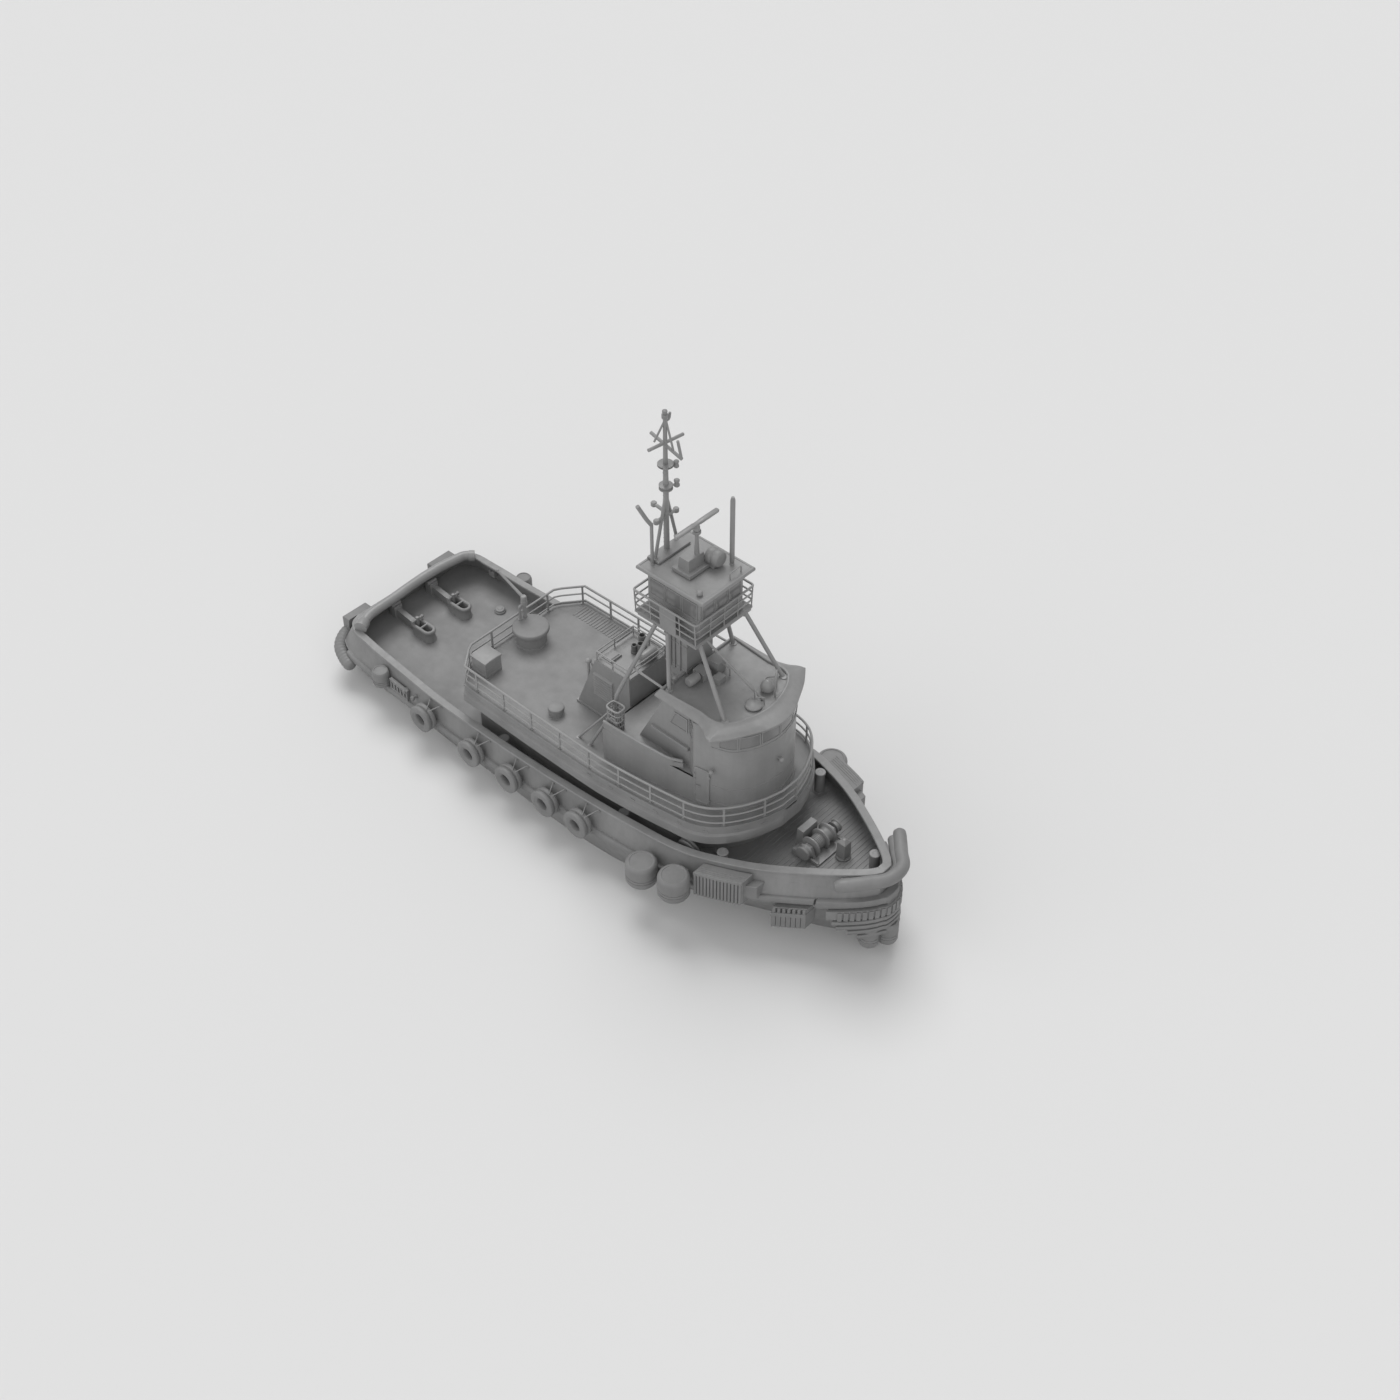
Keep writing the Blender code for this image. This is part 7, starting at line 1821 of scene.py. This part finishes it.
def makeDoor(name, a, b, sill, height, width):
    # a leaf with rounded corners, a pressed panel, clips and a grip, hinged at its end near b
    start, end = Vector((*a, 0)), Vector((*b, 0))
    along = (end - start).normalized()
    middle = (start + end) / 2
    outward = Vector((along.y, -along.x, 0))
    if outward.dot(middle - Vector((door["inside"], 0, 0))) < 0:
        outward = -outward
    thick, reach = door["thick"], width / 2 + door["lap"]
    low, high = sill - door["lap"], sill + height + door["lap"]

    def outline(shrink, out):
        r, ring = 0.12 - shrink * 0.5, []
        wide, head, foot = reach - shrink - r, high - shrink - r, low + shrink + r
        for u, v, begin in ((wide, head, 0), (-wide, head, 90), (-wide, foot, 180), (wide, foot, 270)):
            for k in range(6):
                angle = radians(begin + 18 * k)
                p = middle + along * (u + r * cos(angle)) + outward * out
                ring.append((p.x, p.y, v + r * sin(angle)))
        return ring
    shapes = [loft([outline(*row) for row in (
        (0.0, 0.0004), (0.0, thick - 0.012), (0.012, thick), (0.075, thick), (0.085, thick - 0.012),
        (0.10, thick - 0.012))])]
    axis = middle + along * (reach + 0.02) + outward * thick
    for z in (sill + 0.25, sill + height - 0.25):
        shapes.append(lathe([(0.018, -0.06), (0.024, -0.055), (0.024, 0.055), (0.018, 0.06)],
                            (axis.x, axis.y, z), sides=14))
        near, far = axis - outward * 0.006, axis - along * 0.14 - outward * 0.006
        shapes.append(tube([(near.x, near.y, z), (far.x, far.y, z)], 0.016, 10))
    grip = middle - along * (width / 2 - 0.08) + outward * (thick - 0.01)
    grip += Vector((0, 0, sill + height * 0.5))
    bend = grip + outward * 0.05
    shapes.append(bentPipe([grip, bend, bend + along * 0.2], 0.03, 0.016, 12))
    for z in (sill + 0.30, sill + height / 2 + 0.3, sill + height - 0.30):
        p = middle - along * (reach - 0.05) + outward * thick
        shapes.append(lathe([(0.028, z - 0.05), (0.028, z + 0.05)], (p.x, p.y, 0), sides=10))
    makePiece(name + "Leaf", shapes, "housePaint", body=name, replaces=[name], angle=40)


def makeDoors():
    x = deckhouse["half"][0][0]
    sill = deckHeight(x) + deckhouse["sill"]
    y, height, width = deckhouse["doorY"], deckhouse["doorHeight"], deckhouse["doorWidth"]
    makeDoor("aft_door", (x, y + 0.5), (x, y - 0.5), sill, height, width)
    (x0, y0), (x1, y1) = houseFront[:2]
    for side, word in sides:
        makeDoor(word + "_door", (x0, side * y0), (x1, side * y1), sideDoor["sill"], sideDoor["height"],
                 sideDoor["width"])


# radius, chord, pitch in degrees, thickness
bladeRows = ((0.10, 0.30, 55, 0.07), (0.40, 0.52, 42, 0.05), (0.70, 0.62, 32, 0.03), (0.90, 0.40, 27, 0.02),
             (0.95, 0.12, 26, 0.012))


def makePropellers():
    rows = curveThrough(bladeRows, steps=5)
    outline = [(-0.5, 0.0), (-0.42, 0.30), (-0.2, 0.47), (0.1, 0.5), (0.34, 0.34), (0.5, 0.0), (0.34, -0.34),
               (0.1, -0.5), (-0.2, -0.47), (-0.42, -0.30)]
    for side, word in sides:
        centre = Vector((propeller["x"], side * propeller["y"], propeller["z"]))
        hub = propeller["hub"]
        profile = [(0.03, -0.36), (0.07, -0.35), (0.12, -0.28), (hub - 0.01, -0.16), (hub, -0.12), (hub, 0.20),
                   (hub - 0.02, 0.23), (0.15, 0.339)]
        shapes = [lathe(profile, tuple(centre), "x", 32)]
        for k in range(propeller["blades"]):
            turn = Matrix.Rotation(2 * pi * k / propeller["blades"] + pi / 4, 3, "X")
            rings = []
            for radius, chord, pitch, thick in rows:
                flat, steep = cos(radians(pitch)), sin(radians(pitch))
                ring = []
                for u, v in outline:
                    aft, across = u * chord * steep - v * thick * flat, u * chord * flat + v * thick * steep
                    ring.append(tuple(centre + turn @ Vector((aft, across * side, radius))))
                rings.append(ring)
            shapes.append(loft(rings))
        makePiece("propellerCasting_" + word, shapes, "castBronze", body="propeller_" + word,
                  replaces=["propeller_" + word], angle=40)


def makeRudders():
    for side, word in sides:
        x, y, top, bottom = rudder["x"], side * rudder["y"], rudder["top"], rudder["bottom"]
        section = curveThrough([(rudder["fore"], 0.0), (0.36, 0.045), (0.15, 0.088), (-0.2, 0.078),
                                (-0.6, 0.045), (-rudder["aft"], 0.012)], steps=3)
        plan = section + [(dx, -dy) for dx, dy in section[:0:-1]]
        shapes = [loft([[(x + dx * s, y + dy * s, z) for dx, dy in plan] for z, s in (
            (bottom, 0.97), (bottom + 0.04, 1.0), (top - 0.04, 1.0), (top, 0.97))])]
        shapes.append(lathe([(rudder["stock"], top - 0.2), (rudder["stock"], top + 0.1594)], (x, y, 0),
                            sides=24))
        for z in (bottom + 0.5, top - 0.5):
            shapes.append(loft([[(x + dx, y + dy * 1.03, zz) for dx, dy in plan[2:-2]]
                                for zz in (z - 0.03, z + 0.03)]))
        makePiece("rudderBlade_" + word, shapes, "hullPaint", body="rudder_" + word,
                  replaces=["rudder_" + word], angle=35)


makeWindlass()
makeDeckTyre()
makeLocker()
makeCrane()
makeDoors()
makePropellers()
makeRudders()
print("deck gear, doors, propellers and rudders made")


# ---- what stays as the frame has it gets its finish here

slotFinish = {"hull_paint": "hullPaint", "house_paint": "housePaint", "deck_paint": "deckPaint",
              "pipework": "pipePaint", "rubber": "fenderRubber", "bronze": "castBronze"}
nodeSlots = {row["node"]: row["material_slot"] for row in frame["record"]["subparts"]}
kept = 0
for name, node in frame["nodes"].items():
    if node.hide_render:
        continue
    kept += 1
    for place in node.material_slots:
        place.material = finish[slotFinish[nodeSlots[name]]]
print("frame nodes shown as they are:", kept)


# ---- floor, light and camera

stageFloor = {"radius": 400.0, "thick": 0.02, "grey": 0.62, "rough": 0.9}
sky = {"grey": 0.80, "strength": 0.62}
photoView = {"place": (41.0, -40.2, 58.5), "tilt": 46.6324, "turn": 42.5458, "lens": 50.0, "film": 36.0}


def makeStage():
    # a wide pale disc at the waterline
    points, faces = lathe([(stageFloor["radius"], -stageFloor["thick"]), (stageFloor["radius"], 0.0)],
                          (0, 0, 0), sides=64)
    data = bpy.data.meshes.new("floor")
    data.from_pydata(points, [], faces)
    floor = bpy.data.objects.new("floor", data)
    bpy.context.scene.collection.objects.link(floor)
    pale = bpy.data.materials.new("paleFloor")
    pale.use_nodes = True
    shader = pale.node_tree.nodes["Principled BSDF"]
    shader.inputs["Base Color"].default_value = grey(stageFloor["grey"])
    shader.inputs["Roughness"].default_value = stageFloor["rough"]
    data.materials.append(pale)


# soft lamps: direction towards the lamp, strength, angle in degrees
lamps = {
    "keyLamp": ((-0.36, 0.30, 0.88), 1.75, 40.0),
    "sideLamp": ((0.72, -0.48, 0.50), 0.70, 60.0),
    "sternLamp": ((-0.45, -0.74, 0.50), 0.65, 60.0),
}


def makeLight():
    for name, (direction, strength, angle) in lamps.items():
        light = bpy.data.lights.new(name, "SUN")
        light.energy = strength
        light.angle = radians(angle)
        lamp = bpy.data.objects.new(name, light)
        lamp.rotation_euler = (-Vector(direction)).to_track_quat("-Z", "Y").to_euler()
        lamp.location = Vector(direction) * 60
        bpy.context.scene.collection.objects.link(lamp)
    world = bpy.data.worlds.new("studioWorld")
    world.use_nodes = True
    background = world.node_tree.nodes["Background"]
    background.inputs["Color"].default_value = grey(sky["grey"])
    background.inputs["Strength"].default_value = sky["strength"]
    bpy.context.scene.world = world
    bpy.context.scene.view_settings.view_transform = "Standard"


def makeCamera():
    view = bpy.data.cameras.new("photoCamera")
    view.lens, view.sensor_width = photoView["lens"], photoView["film"]
    view.clip_end = 1000.0
    camera = bpy.data.objects.new("photoCamera", view)
    camera.location = photoView["place"]
    camera.rotation_euler = (radians(photoView["tilt"]), 0, radians(photoView["turn"]))
    bpy.context.scene.collection.objects.link(camera)
    bpy.context.scene.camera = camera


makeStage()
makeLight()
makeCamera()
print("floor, light and camera made")
